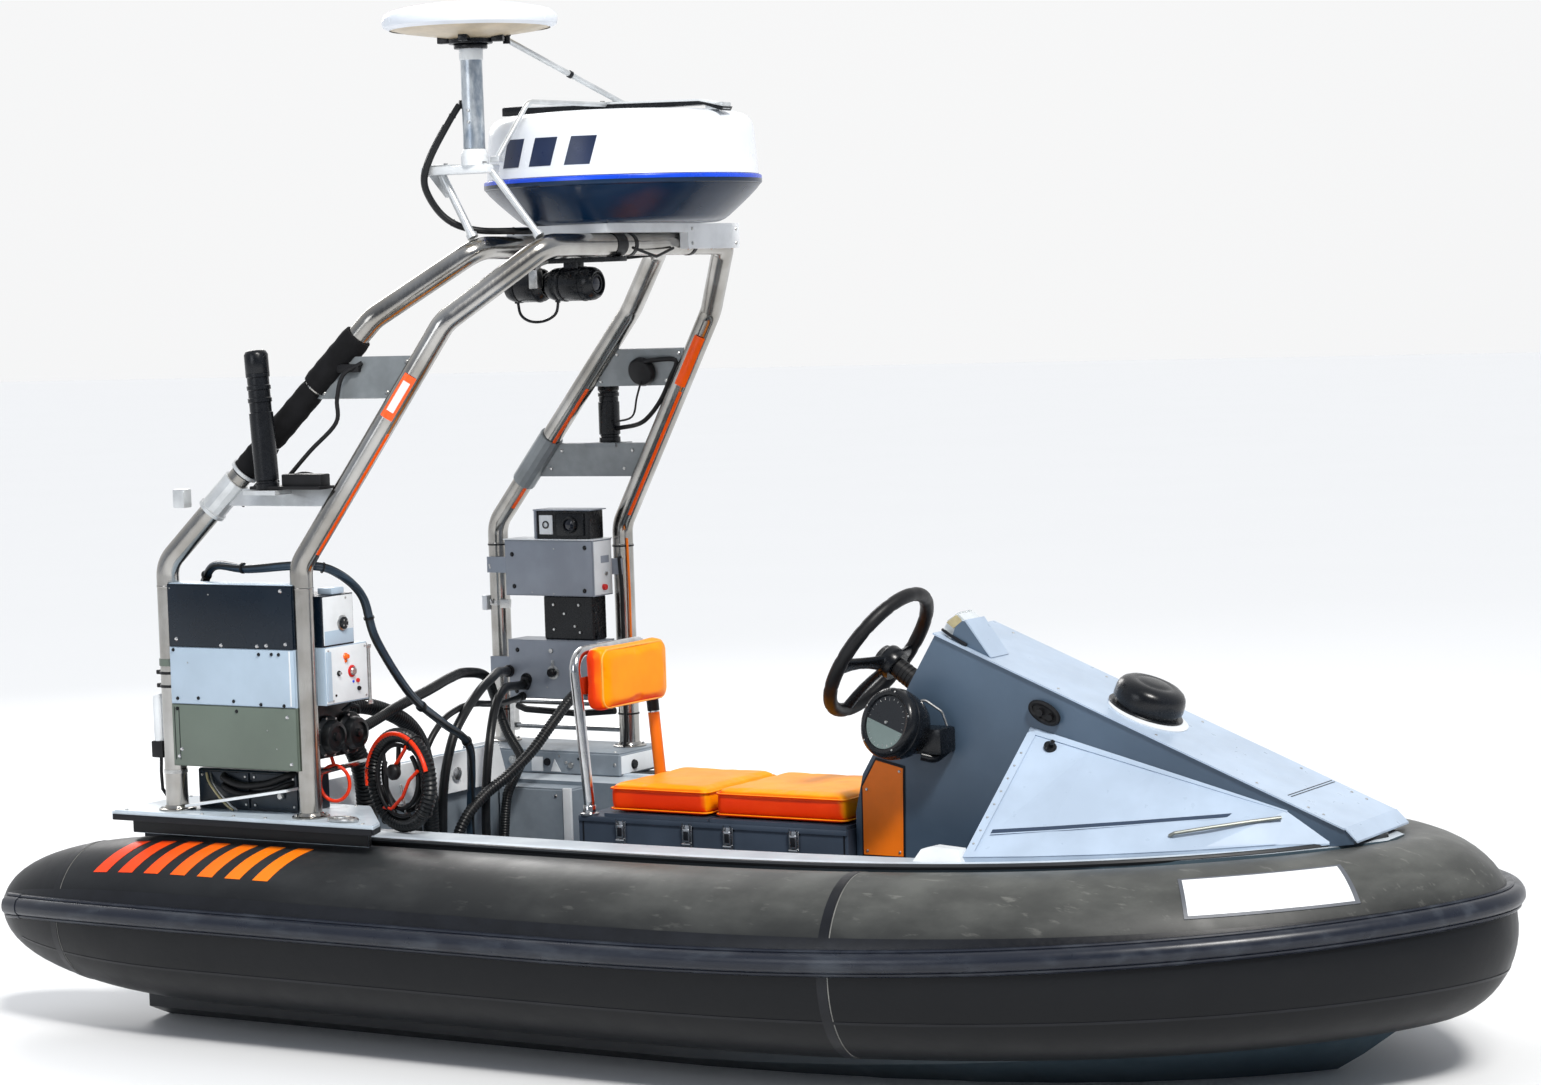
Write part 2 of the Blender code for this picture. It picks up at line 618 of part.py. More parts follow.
def slant_point(name, side, z):
    """The point of a hoop's slanting leg at a height."""
    foot_x, (ex, ey, ez), crown_x = HOOPS[name]
    share = (z - SHOULDER_Z) / (ez - SHOULDER_Z)
    return Vector((foot_x + (ex - foot_x) * share, side * (LEG_Y + (ey - LEG_Y) * share), z))


def arch_plate(name, side, heights, thick, finish):
    """A plate between the two hoops' slanting legs, notched round both tubes."""
    corners = [slant_point("arch_hoop_aft", side, z) for z in heights]
    corners += [slant_point("arch_hoop_fore", side, z) for z in reversed(heights)]
    normal = (corners[1] - corners[0]).cross(corners[3] - corners[0]).normalized() * thick / 2
    return loft(name, [[c - normal for c in corners], [c + normal for c in corners]], finish)


def arch_fittings():
    """Upper plates, brackets with a clamp on the aft leg and a seat for each beacon, and the beacons."""
    for label, (side, x, top, lean) in BEACONS.items():
        cut(arch_plate("arch_plate_" + label, side, UPPER_PLATE_Z[label], 0.006, "box_grey"), *hoops(GAP, "room_"))
        low, high = BRACKET_Z[label]
        bracket = arch_plate("arch_bracket_" + label, side, (low, high), 0.006, "aluminium")
        clamp_ends = [slant_point("arch_hoop_aft", side, z) for z in (low - 0.012, high + 0.018)]
        clamp = pipe("clamp", clamp_ends, TUBE_R + 0.005, 14, "aluminium")
        y = sorted((side * (BEACON_Y - 0.045), side * (BEACON_Y + 0.032)))
        seat = block("seat", (x - 0.045, x + 0.045), y, (high - 0.010, high), "aluminium")
        cut(union(bracket, clamp, seat), *hoops(GAP, "room_"))
        tall = top - high - GAP
        profile = [(0, 0), (BEACON_R, 0), (BEACON_R, tall - 0.060), (BEACON_R - 0.0025, tall - 0.055),
                   (BEACON_R, tall - 0.050), (BEACON_R, tall - 0.008), (BEACON_R - 0.0085, tall), (0, tall)]
        tilt = math.radians(lean)
        foot = (x, side * BEACON_Y, high + GAP + BEACON_R * math.sin(tilt))
        turned("beacon_" + label, profile, 14, "black_plastic", foot, (-math.sin(tilt), 0, math.cos(tilt)))


def camera_pair():
    """Two camera housings in line under the crowns, hung from a bar clamped to both hoops."""
    y = -0.100
    bar_low = CROWN_Z - TUBE_R - GAP - 0.012
    made = block("camera_pair", (-0.56, -0.30), (y - 0.015, y + 0.015), (bar_low, bar_low + 0.012), "black_plastic")
    for aft, fore in ((-0.612, -0.508), (-0.500, -0.370)):
        middle = (aft + fore) / 2
        body = pipe("body", [(aft, y, CAMERA_Z), (fore, y, CAMERA_Z)], CAMERA_R, 14, "black_plastic")
        saddle_x = (max(middle - 0.02, -0.56), middle + 0.02)
        saddle = block("saddle", saddle_x, (y - 0.012, y + 0.012), (CAMERA_Z + 0.02, bar_low + 0.004), "black_plastic")
        made = union(made, body, saddle)
    return made


def radome():
    low, top = RADOME_Z
    under = CROWN_Z + TUBE_R + GAP
    plate = block("radome_plate", (-0.545, -0.275), (-0.20, 0.355), (under, low - GAP), "box_white")
    apron = block("apron", (-0.298, -0.275), (0.133, 0.355), (1.733, low - GAP), "box_white")
    union(plate, apron)
    turned("radome", [(0, low), (0.215, low), (0.235, low + 0.012), (0.305, low + 0.075), (RADOME_R, low + 0.088),
                      (RADOME_R, low + 0.100), (0.306, low + 0.108), (0.298, low + 0.215), (0.286, low + 0.235),
                      (0.255, low + 0.247), (0, top)], 32, "gelcoat_white", (RADOME_X, 0, 0))
    strap = prism("radome_brace", [(-0.655, top + 0.002), (-0.36, top + GAP), (-0.11, top + GAP), (-0.065, top - 0.015),
                                   (-0.060, top - 0.006), (-0.125, top + 0.012), (-0.36, top + 0.018),
                                   (-0.655, top + 0.025)], (-0.045, -0.005), "black_plastic")
    strut = pipe("strut", rounded([(-0.448, -0.363, MAST_ARM_Z[1] + 0.008), (-0.410, -0.290, 2.062),
                                   (-0.370, -0.030, 2.060)], 0.03, 3), 0.0055, 8, "aluminium")
    stay = pipe("stay", [(-0.452, -0.305, 2.199), (-0.342, -0.010, 2.060)], 0.0065, 8, "aluminium")
    stud = pipe("stud", [(-0.452, -0.305, 2.190), (-0.452, -0.305, 2.2062)], 0.008, 8, "aluminium")
    foot = block("foot", (-0.462, -0.436), (-0.372, -0.352), (MAST_ARM_Z[1] + GAP, MAST_ARM_Z[1] + 0.014),
                 "aluminium")
    union(strap, strut, stay, stud, foot)


def antenna():
    """Mast on an arm, which stands astride both crowns on two legs, with the disc on top."""
    x, y = MAST
    arm_low, arm_top = MAST_ARM_Z
    post = pipe("antenna_mast", [(x, y, arm_top - 0.004), (x, y, MAST_TOP)], 0.024, 14, "aluminium")
    dome = turned("dome", [(0, arm_top - 0.003), (0.0305, arm_top - 0.003), (0.0305, arm_top + 0.014),
                           (0.0265, arm_top + 0.028), (0.020, arm_top + 0.033), (0, arm_top + 0.033)], 14,
                  "aluminium", (x, y, 0))
    collar_top = turned("collar_top", [(0, MAST_TOP - 0.030), (0.036, MAST_TOP - 0.012), (0.036, MAST_TOP),
                                       (0, MAST_TOP)], 14, "aluminium", (x, y, 0))
    arm = block("arm", MAST_ARM_X, (y - 0.025, y + 0.025), MAST_ARM_Z, "aluminium")
    gusset = prism("gusset", [(-0.630, arm_low + 0.002), (-0.590, arm_low + 0.002), (-0.572, 1.862), (-0.585, 1.858)],
                   (y - 0.006, y + 0.006), "aluminium")
    aft_leg = pipe("leg", [(-0.598, y, arm_low + 0.004), (x, y, CROWN_Z)], 0.009, 8, "aluminium")
    fore_leg = pipe("leg", [(-0.466, y, arm_low + 0.008), (-0.324, y, CROWN_Z)], 0.008, 8, "aluminium")
    cut(union(post, dome, collar_top, arm, gusset, aft_leg, fore_leg), *hoops(GAP, "room_"))
    base = MAST_TOP + GAP
    turned("antenna_disc", [(0, base), (0.040, base), (0.045, base + 0.012), (0.165, base + 0.030),
                            (DISC_R, base + 0.042), (DISC_R, base + 0.056), (0.180, base + 0.070),
                            (0.100, base + 0.086), (0, base + 0.090)], 28, "gelcoat_white", (x, y, 0))


# Equipment racks, hoses and coil

def starboard_rack():
    """Three housings behind cover panels that are bolted across the outside of both legs."""
    aft = HOOPS["arch_hoop_aft"][0] + TUBE_R + 2 * GAP
    fore = HOOPS["arch_hoop_fore"][0] - TUBE_R - 2 * GAP
    inner = LEG_Y - TUBE_R - GAP
    skin = LEG_Y + TUBE_R + 2 * GAP
    rows = (                # label, low, top, inboard face, forward face, finish
        ("lower", 0.612, 0.7512, 0.500, -0.960, "box_green"),
        ("middle", 0.7518, 0.8797, 0.460, -0.785, "pale_blue_paint"),
        ("upper", 0.8803, 1.0200, 0.500, -0.788, "box_dark"),
    )
    for label, low, top, depth, face, finish in rows:
        high = min(top, 0.993)
        case = block("starboard_rack_" + label, (-1.185, face), (-inner, -depth), (low, high), finish)
        neck = block("neck", (aft, fore), (-skin - 0.002, -inner + 0.01), (low, high), finish)
        panel = block("panel", (-1.177, -0.822), (-skin - 0.005, -skin), (low, top), finish)
        union(case, neck, panel)
    pump = block("pump_unit", (-0.955, -0.840), (-0.600, -0.455), (0.625, 0.7508), "black_plastic", 0.004)
    drums = [pipe("drum", [(-0.885, y, 0.675), (-0.800, y, 0.675)], 0.047, 14, "black_plastic")
             for y in (-0.550, -0.47)]
    union(pump, *drums)
    block("junction_box", JUNCTION_X, JUNCTION_Y, (DECK_Z + GAP, JUNCTION_TOP), "black_plastic", 0.004)


def port_rack():
    inner = LEG_Y - TUBE_R - GAP
    rows = (("lower", 0.633, 0.780, 0.706), ("upper", 0.891, 1.030, 0.960))
    for label, low, top, rail in rows:
        case = block("port_rack_" + label, (-1.10, -0.835), (0.525, inner - 0.004), (low, top), "box_grey")
        strap = block("strap", (-1.215, -0.805), (inner - 0.006, inner), (rail - 0.02, rail + 0.02), "box_grey")
        union(case, strap)
    block("port_rack_relay", (-1.00, -0.85), (0.54, 0.60), (0.7803, 0.8907), "black_plastic", 0.004)
    block("port_rack_camera", (-1.01, -0.85), (0.535, 0.60), (1.0303, 1.105), "black_plastic", 0.004)
    aft = HOOPS["arch_hoop_aft"][0] + TUBE_R + GAP
    fore = HOOPS["arch_hoop_fore"][0] - TUBE_R - GAP
    ends = block("port_rails", (aft, aft + 0.012), (LEG_Y - 0.012, LEG_Y + 0.012), (0.535, 0.622), "stainless")
    rods = [pipe("rod", [(aft + 0.004, LEG_Y, z), (fore, LEG_Y, z)], 0.007, 8, "stainless") for z in (0.610, 0.548)]
    union(ends, *rods)


def hoses():
    """Hoses and cables along their routes, the standing coil and the rod that it leans on."""
    for name, (radius, route) in HOSES.items():
        pipe(name, smooth_route(route, max(2.2 * radius, 0.02)), radius, 8, "black_plastic")
    x, y, z = COIL
    ahead = Vector((math.cos(COIL_YAW), -math.sin(COIL_YAW), 0))
    across = Vector((math.sin(COIL_YAW), math.cos(COIL_YAW), 0))
    bm = bmesh.new()
    loops = []
    for k in range(28):
        turn = 2 * math.pi * k / 28
        radial = math.cos(turn) * ahead + math.sin(turn) * Vector((0, 0, 1))
        angles = [2 * math.pi * i / 8 for i in range(8)]
        loops.append([bm.verts.new(Vector(COIL) + radial * (COIL_R + COIL_HOSE_R * math.cos(a))
                                   + across * COIL_HOSE_R * math.sin(a)) for a in angles])
    for first, second in zip(loops, loops[1:] + loops[:1]):
        for i in range(8):
            j = (i + 1) % 8
            bm.faces.new((first[i], first[j], second[j], second[i]))
    solid("hose_coil", bm, "black_plastic", 50)
    leg = Vector((HOOPS["arch_hoop_fore"][0], -LEG_Y, 0.600))
    rest = Vector(COIL) - ahead * (COIL_R + COIL_HOSE_R + GAP + 0.006) + Vector((0, 0, 0.034))
    rod = pipe("coil_rod", [leg, rest - ahead * 0.004], 0.006, 8, "stainless")
    cut(rod, *hoops(GAP, "room_"))


# Engine and jet drive

def engine():
    (aft, fore), half, floor = BAY
    block("engine_block", (aft + 0.04, fore - 0.04), (-0.19, 0.19), (floor + GAP, 0.40), "black_plastic", 0.01)
    outer = prism("engine_cover", COVER_SIDE, (-COVER_Y, COVER_Y), "deck_paint")
    room = prism("room", COVER_ROOM, (0.008 - COVER_Y, COVER_Y - 0.008), "deck_paint")
    hinge_at(cut(outer, room), (COVER_SIDE[0][0], 0, COVER_SIDE[0][1]))


def jet_drive():
    z = JET_Z
    back = TRANSOM_X - GAP
    housing = turned("jet_housing", [(0, 0), (0.105, 0), (0.105, 0.012), (0.084, 0.020), (0.074, 0.080), (0, 0.080)],
                     20, "aluminium", (back, 0, z), (-1, 0, 0))
    arms = []
    for side in (-1, 1):
        heights = sorted((z + side * 0.0725, z + side * 0.084))
        arms.append(block("arm", (STEER_X - 0.020, back - 0.015), (-0.022, 0.022), heights, "aluminium"))
    union(housing, *arms)
    nozzle = turned("steering_nozzle", [(0, 0), (0.066, 0), (0.058, 0.115), (0.046, 0.115), (0.052, 0.012),
                                        (0, 0.012)], 20, "aluminium", (STEER_X + 0.004, 0, z), (-1, 0, 0))
    pins = pipe("pin", [(STEER_X - 0.008, 0, z - 0.0722), (STEER_X - 0.008, 0, z + 0.0722)], 0.010, 8, "aluminium")
    trunnion = pipe("pin", [(BUCKET_X, -0.0722, z), (BUCKET_X, 0.0722, z)], 0.010, 8, "aluminium")
    bore = turned("bore", [(0, 0), (0.046, 0), (0.046, 0.15), (0, 0.15)], 20, "aluminium",
                  (STEER_X - 0.012, 0, z), (-1, 0, 0))
    hinge_at(cut(union(nozzle, pins, trunnion), bore), (STEER_X, 0, z))
    outline_out = []
    outline_in = []
    for k in range(9):
        angle = math.radians(15 + k * 10)
        outline_out.append((BUCKET_X - 0.128 * math.cos(angle), z + 0.128 * math.sin(angle)))
        outline_in.append((BUCKET_X - 0.121 * math.cos(angle), z + 0.121 * math.sin(angle)))
    shell = prism("reverse_bucket", outline_out + outline_in[::-1], (-0.080, 0.080), "aluminium")
    ears = []
    for side in (-1, 1):
        y = sorted((side * 0.0725, side * 0.080))
        ears.append(prism("ear", [(BUCKET_X + 0.016, z - 0.016), (BUCKET_X - 0.016, z - 0.016)] + outline_out, y,
                          "aluminium"))
    hinge_at(union(shell, *ears), (BUCKET_X, 0, z))


# Assembly

for old in list(bpy.data.objects):
    bpy.data.objects.remove(old)

hull()
collar("collar", 0.0, 20, 14)
rub_strake(14)
deck_fittings()
console()
foredeck("foredeck_starboard", -1)
foredeck("foredeck_port", 1)
seat_locker()
seat_lids()
backrest()
steering()
console_fittings()
hoops()
arch_fittings()
camera_pair()
radome()
antenna()
starboard_rack()
port_rack()
hoses()
engine()
jet_drive()
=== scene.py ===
"""Looks of the small unmanned surface vessel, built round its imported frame.

Metres, in the frame of the CAD: +X is the bow, +Y the port side, +Z up, and the floor is the waterline.
"""
from math import asin, cos, hypot, pi, radians, sin, sqrt, tan

import bmesh
import bpy
from mathutils import Matrix, Vector


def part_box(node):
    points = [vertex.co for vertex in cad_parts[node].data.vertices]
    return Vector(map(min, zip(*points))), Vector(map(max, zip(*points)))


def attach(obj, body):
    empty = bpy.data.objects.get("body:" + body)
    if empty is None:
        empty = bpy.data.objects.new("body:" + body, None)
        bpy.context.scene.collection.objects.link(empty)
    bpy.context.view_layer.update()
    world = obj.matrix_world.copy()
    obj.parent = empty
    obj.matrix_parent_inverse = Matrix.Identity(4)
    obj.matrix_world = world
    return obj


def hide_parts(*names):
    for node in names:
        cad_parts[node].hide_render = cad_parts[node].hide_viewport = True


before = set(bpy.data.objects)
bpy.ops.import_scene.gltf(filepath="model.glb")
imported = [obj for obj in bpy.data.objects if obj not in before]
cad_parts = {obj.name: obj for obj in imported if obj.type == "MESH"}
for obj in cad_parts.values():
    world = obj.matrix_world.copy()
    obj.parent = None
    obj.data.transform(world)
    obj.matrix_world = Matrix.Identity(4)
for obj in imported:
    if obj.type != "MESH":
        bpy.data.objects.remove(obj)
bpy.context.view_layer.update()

# Camera: stands off the starboard bow a little above the arch's shoulders and looks slightly down, as the
# photograph does.
CAMERA_AT = (4.1789, -6.8617, 1.6296)
CAMERA_LENS_MM = 84.608
CAMERA_YAW, CAMERA_PITCH, CAMERA_ROLL = (radians(angle) for angle in (31.34685, -3.965094, -1.830479))


def added(name, data):
    """A new object in the scene, for a mesh, a lamp or a camera."""
    made = bpy.data.objects.new(name, data)
    bpy.context.collection.objects.link(made)
    return made


camera = added("camera", bpy.data.cameras.new("camera"))
camera.data.sensor_width = 36
camera.data.lens = CAMERA_LENS_MM
camera.data.clip_end = 200
camera.matrix_world = (Matrix.Translation(CAMERA_AT) @ Matrix.Rotation(CAMERA_YAW, 4, "Z")
    @ Matrix.Rotation(radians(90) + CAMERA_PITCH, 4, "X") @ Matrix.Rotation(CAMERA_ROLL, 4, "Z"))
bpy.context.scene.camera = camera


# Studio: a plain pale floor at the waterline, a broad key lamp high off the bow, a weaker fill beside the
# camera, a rim lamp behind the stern and a high sun. The classes below write all materials of this script.


class Value:
    """A shader socket that takes arithmetic, so that a pattern is written as an expression."""

    def __init__(self, finish, socket):
        self.finish = finish
        self.socket = socket

    def math(self, operation, *terms):
        return self.finish.node("ShaderNodeMath", {"operation": operation}, *terms)

    def __add__(self, other):
        return self.math("ADD", self, other)

    def __mul__(self, other):
        return self.math("MULTIPLY", self, other)

    def __gt__(self, other):
        return self.math("GREATER_THAN", self, other)

    def __lt__(self, other):
        return self.math("LESS_THAN", self, other)

    def __abs__(self):
        return self.math("ABSOLUTE", self)

    __radd__ = __add__
    __rmul__ = __mul__


class Finish:
    """A named material on one Principled shader, with its patterns in Object coordinates."""

    def __init__(self, name, colour, roughness, metallic=0, specular=0.5, **constants):
        self.material = bpy.data.materials.new(name)
        self.material.use_nodes = True
        self.tree = self.material.node_tree
        self.shader = self.tree.nodes["Principled BSDF"]
        self.base = (*colour, 1)
        self.shader.inputs["Base Color"].default_value = self.base
        self.shader.inputs["Roughness"].default_value = roughness
        self.shader.inputs["Metallic"].default_value = metallic
        self.shader.inputs["Specular IOR Level"].default_value = specular
        for label, value in constants.items():
            self.shader.inputs[label.replace("_", " ")].default_value = value

    def node(self, kind, settings=None, *terms, out=0, **named):
        """Any node: its settings first, then the values or links of its sockets."""
        made = self.tree.nodes.new(kind)
        for label, value in (settings or {}).items():
            setattr(made, label, value)
        for place, term in [*enumerate(terms), *named.items()]:
            if isinstance(term, Value):
                self.tree.links.new(term.socket, made.inputs[place])
            elif term is not None:
                made.inputs[place].default_value = term
        return Value(self, made.outputs[out])

    def feed(self, label, value):
        self.tree.links.new(value.socket, self.shader.inputs[label])

    def place(self, scale=(1, 1, 1)):
        spot = self.node("ShaderNodeTexCoord", None, out="Object")
        return self.node("ShaderNodeMapping", None, Vector=spot, Scale=scale)

    def axes(self, vector):
        """The x, y and z of a vector, as three values."""
        split = self.node("ShaderNodeSeparateXYZ", None, vector)
        return [Value(self, output) for output in split.socket.node.outputs]

    def facing(self):
        """The x, y and z of the surface's own normal."""
        return self.axes(self.node("ShaderNodeNewGeometry", None, out="Normal"))

    def noise(self, scale, detail=3, stretch=(1, 1, 1), rough=0.55):
        return self.node("ShaderNodeTexNoise", None, out="Fac", Vector=self.place(stretch), Scale=scale,
            Detail=detail, Roughness=rough)

    def ramp(self, value, low, high):
        """0 below low, 1 above high, smooth between them."""
        return self.node("ShaderNodeMapRange", {"interpolation_type": "SMOOTHSTEP"}, value, low, high, 0, 1)

    def mix(self, mask, first, second):
        """A colour between two colours."""
        colours = [term if isinstance(term, Value) else (*term[:3], 1) for term in (first, second)]
        mixer = self.tree.nodes.new("ShaderNodeMix")
        mixer.data_type = "RGBA"
        for place, term in ((0, mask), (6, colours[0]), (7, colours[1])):
            if isinstance(term, Value):
                self.tree.links.new(term.socket, mixer.inputs[place])
            else:
                mixer.inputs[place].default_value = term
        return Value(self, mixer.outputs[2])

    def bump(self, height, depth, strength=1):
        """Relief of the given depth in metres, on top of any that is there."""
        below = self.shader.inputs["Normal"]
        under = Value(self, below.links[0].from_socket) if below.links else None
        self.feed("Normal", self.node("ShaderNodeBump", None, Strength=strength, Distance=depth,
            Height=height, Normal=under))

    def cloud(self, low, high, *grain):
        """Soft patches: 0 where the noise is below low, 1 where it is above high."""
        return self.ramp(self.noise(*grain), low, high)

    def uneven(self, spread, least, *grain):
        """A roughness that rises with the noise from its least value."""
        self.feed("Roughness", self.noise(*grain) * spread + least)

    def relief(self, depth, strength, *grain):
        """Bumps from noise."""
        self.bump(self.noise(*grain), depth, strength)


def worn(finish, shade=0.12, grain=180, depth=0.00015, cloud=5, spread=0.12):
    """The wear that painted and moulded surfaces share: cloudy colour, uneven gloss and a fine skin."""
    cloudy = finish.cloud(0.32, 0.7, cloud, 4)
    darker = [channel * (1 - shade) for channel in finish.base[:3]]
    lighter = [min(channel * (1 + shade), 1) for channel in finish.base[:3]]
    finish.feed("Base Color", finish.mix(cloudy, darker, lighter))
    gloss = finish.shader.inputs["Roughness"].default_value
    finish.feed("Roughness", finish.noise(cloud * 7, 3) * (2 * spread) + (gloss - spread))
    finish.bump(finish.noise(grain, 2), depth, 0.5)
    return finish


def painted(name, colour, roughness, *wear, **more):
    """A worn finish in one step; wear holds the values of worn in their order."""
    return worn(Finish(name, colour, roughness, **more), *wear)


floor_paint = Finish("studio_floor", (0.8, 0.81, 0.82), 0.75)
floor_paint.feed("Base Color", floor_paint.mix(floor_paint.noise(0.7, 3), (0.795, 0.805, 0.815),
    (0.81, 0.82, 0.83)))
floor_mesh = bpy.data.meshes.new("studio_floor")
FLOOR_REACH = 60
floor_mesh.from_pydata([(x, y, 0) for x, y in ((-FLOOR_REACH, -FLOOR_REACH), (FLOOR_REACH, -FLOOR_REACH),
    (FLOOR_REACH, FLOOR_REACH), (-FLOOR_REACH, FLOOR_REACH))], [], [(0, 1, 2, 3)])
floor_mesh.materials.append(floor_paint.material)
floor = added("studio_floor", floor_mesh)

LAMPS = (               # name, place, size, watts, colour
    ("key_lamp", (4.2, -3, 6), 1.4, 200, (1, 0.97, 0.92)),
    ("fill_lamp", (-1.5, -7.5, 3.2), 3, 80, (0.93, 0.96, 1)),
    ("rim_lamp", (-5, 3.5, 4), 2.5, 140, (1, 0.98, 0.96)),
)
for lamp_name, at, lamp_size, watts, tint in LAMPS:
    lamp = bpy.data.lights.new(lamp_name, "AREA")
    lamp.size = lamp_size
    lamp.energy = watts
    lamp.color = tint
    holder = added(lamp_name, lamp)
    aim = Vector((0, 0, 0.7)) - Vector(at)
    holder.matrix_world = Matrix.Translation(at) @ aim.to_track_quat("-Z", "Y").to_matrix().to_4x4()
sun = bpy.data.lights.new("high_lamp", "SUN")
sun.angle = radians(9)
sun.energy = 2.1
sun.color = (1, 0.975, 0.94)
sun_holder = added("high_lamp", sun)
sun_holder.matrix_world = Vector((-0.5, 0.42, -0.8)).to_track_quat("-Z", "Y").to_matrix().to_4x4()
world = bpy.data.worlds.new("studio")
world.use_nodes = True
sky = world.node_tree.nodes["Background"]
sky_place = world.node_tree.nodes.new("ShaderNodeTexCoord")
sky_toward = world.node_tree.nodes.new("ShaderNodeVectorMath")
sky_toward.operation = "DOT_PRODUCT"
sky_toward.inputs[1].default_value = (-0.5, 0.8, 0.25)        # the side that the camera faces
sky_shade = world.node_tree.nodes.new("ShaderNodeValToRGB")
SKY_STOPS = ((0.12, (0.16, 0.18, 0.22, 1)), (0.62, (0.84, 0.87, 0.92, 1)), (0.34, (0.42, 0.46, 0.53, 1)))
shades = sky_shade.color_ramp.elements
for stop, (at, tone) in zip((shades[0], shades[1], shades.new(0.4)), SKY_STOPS):
    stop.position = at
    stop.color = tone
sky_range = world.node_tree.nodes.new("ShaderNodeMapRange")
sky_range.inputs["From Min"].default_value = -1
world.node_tree.links.new(sky_place.outputs["Generated"], sky_toward.inputs[0])
world.node_tree.links.new(sky_toward.outputs["Value"], sky_range.inputs["Value"])
world.node_tree.links.new(sky_range.outputs["Result"], sky_shade.inputs["Fac"])
world.node_tree.links.new(sky_shade.outputs["Color"], sky.inputs["Color"])
sky.inputs["Strength"].default_value = 0.95
bpy.context.scene.world = world
bpy.context.scene.view_settings.view_transform = "Standard"


# Hull: a welded aluminium hull with a satin blue-grey coat, pale on the decks, with painted shade darkening
# the inside of the cockpit well. The solid is kept, and its coat tells the decks and the well from the bottom
# by place and slope; the bottom is darker towards the stern.
WELL_AFT, WELL_FORE, WELL_HALF = -1.021, 0.701, 0.401

hull_coat = Finish("hull_coat", (0.075, 0.115, 0.155), 0.42)
hull_x, hull_y, hull_z = hull_coat.axes(hull_coat.place())
facing_up = hull_coat.ramp(hull_coat.facing()[2], 0.5, 0.7)
in_well = (hull_x > WELL_AFT) * (hull_x < WELL_FORE) * (abs(hull_y) < WELL_HALF) * (hull_z > 0.19)
bow_tone = hull_coat.mix(hull_coat.cloud(0.35, 0.7, 4, 5), (0.04, 0.068, 0.09), (0.062, 0.098, 0.125))
bottom_tone = hull_coat.mix(hull_coat.ramp(hull_x, -0.1, 0.9), (0.008, 0.011, 0.016), bow_tone)
# painted shade: the cockpit well is coloured darker than the decks
well_shade_tone = hull_coat.mix(hull_coat.cloud(0.3, 0.75, 9, 5), (0.16, 0.2, 0.24), (0.24, 0.28, 0.32))
deck_tone = hull_coat.mix(hull_coat.cloud(0.3, 0.75, 11, 5), (0.4, 0.45, 0.5), (0.52, 0.57, 0.61))
hull_tone = hull_coat.mix(in_well, hull_coat.mix(facing_up * (hull_z > 0.3), bottom_tone, deck_tone),
    well_shade_tone)
hull_coat.feed("Base Color", hull_tone)
hull_coat.uneven(0.25, 0.3, 26)
hull_coat.relief(0.0002, 0.5, 140)


def coat_node(node, finish):
    """Gives a kept CAD solid its finish."""
    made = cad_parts[node]
    made.data.materials.clear()
    made.data.materials.append(finish.material)


coat_node("hull", hull_coat)


# Collar: an inflated tube of coated fabric with glued seam tapes. It is straight aft, follows a superellipse
# round the bow and ends in two stern cones; a flat wear tape lies above the rub strake.
bm = bmesh.new()        # the mesh under work: shapes are added to it, and piece() takes them out


def piece(name, finishes, body="boat", smooth=35, hides=()):
    """A painted mesh that rides on its body; finishes follow the faces' material index."""
    bmesh.ops.recalc_face_normals(bm, faces=bm.faces)
    mesh = bpy.data.meshes.new(name)
    bm.to_mesh(mesh)
    bm.clear()
    for finish in finishes if isinstance(finishes, (list, tuple)) else [finishes]:
        mesh.materials.append(finish.material)
    if smooth:
        mesh.shade_smooth()
        mesh.set_sharp_from_angle(angle=radians(smooth))
    made = added(name, mesh)
    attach(made, body)
    if hides:
        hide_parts(*hides)
    return made


def turns(count):
    """Equal angles round a circle."""
    return [2 * pi * k / count for k in range(count)]


def skin(rings, paint=0, closed=False, capped=True):
    """Faces between rings of points, with both ends capped or the last ring joined to the first."""
    loops = [[bm.verts.new(point) for point in ring] for ring in rings]
    pairs = list(zip(loops, loops[1:])) + ([(loops[-1], loops[0])] if closed else [])
    made = []
    for first, second in pairs:
        for i in range(len(first)):
            j = (i + 1) % len(first)
            made.append(bm.faces.new((first[i], first[j], second[j], second[i])))
    if capped and not closed:
        made += [bm.faces.new(reversed(loops[0])), bm.faces.new(loops[-1])]
    for face in made:
        face.material_index = paint
    return made


def frames_along(path, closed=False):
    """Tangent, side and up vectors at each point of a path, carried along without twist."""
    count = len(path)
    tangents = []
    for i in range(count):
        ahead = path[(i + 1) % count] if closed else path[min(i + 1, count - 1)]
        behind = path[i - 1] if closed else path[max(i - 1, 0)]
        tangents.append((ahead - behind).normalized())
    up = Vector((0, 0, 1)) if abs(tangents[0].z) < 0.9 else Vector((1, 0, 0))
    side = tangents[0].cross(up).normalized()
    result = []
    for tangent in tangents:
        side = (side - tangent * side.dot(tangent)).normalized()
        result.append((tangent, side, side.cross(tangent).normalized()))
    return result


COLLAR_R, COLLAR_Y, COLLAR_Z = 0.187, 0.627, 0.261
CONE_START, STERN_TIP = -1.03, -1.72
BOW_START, BOW_REACH = 0.047, 1.466
SHEER, SHEER_START, SHEER_SPAN = 0.052, -0.2, 1.926


def collar_z(x):
    share = min(max((x - SHEER_START) / SHEER_SPAN, 0), 1)
    return COLLAR_Z + SHEER * share ** 2


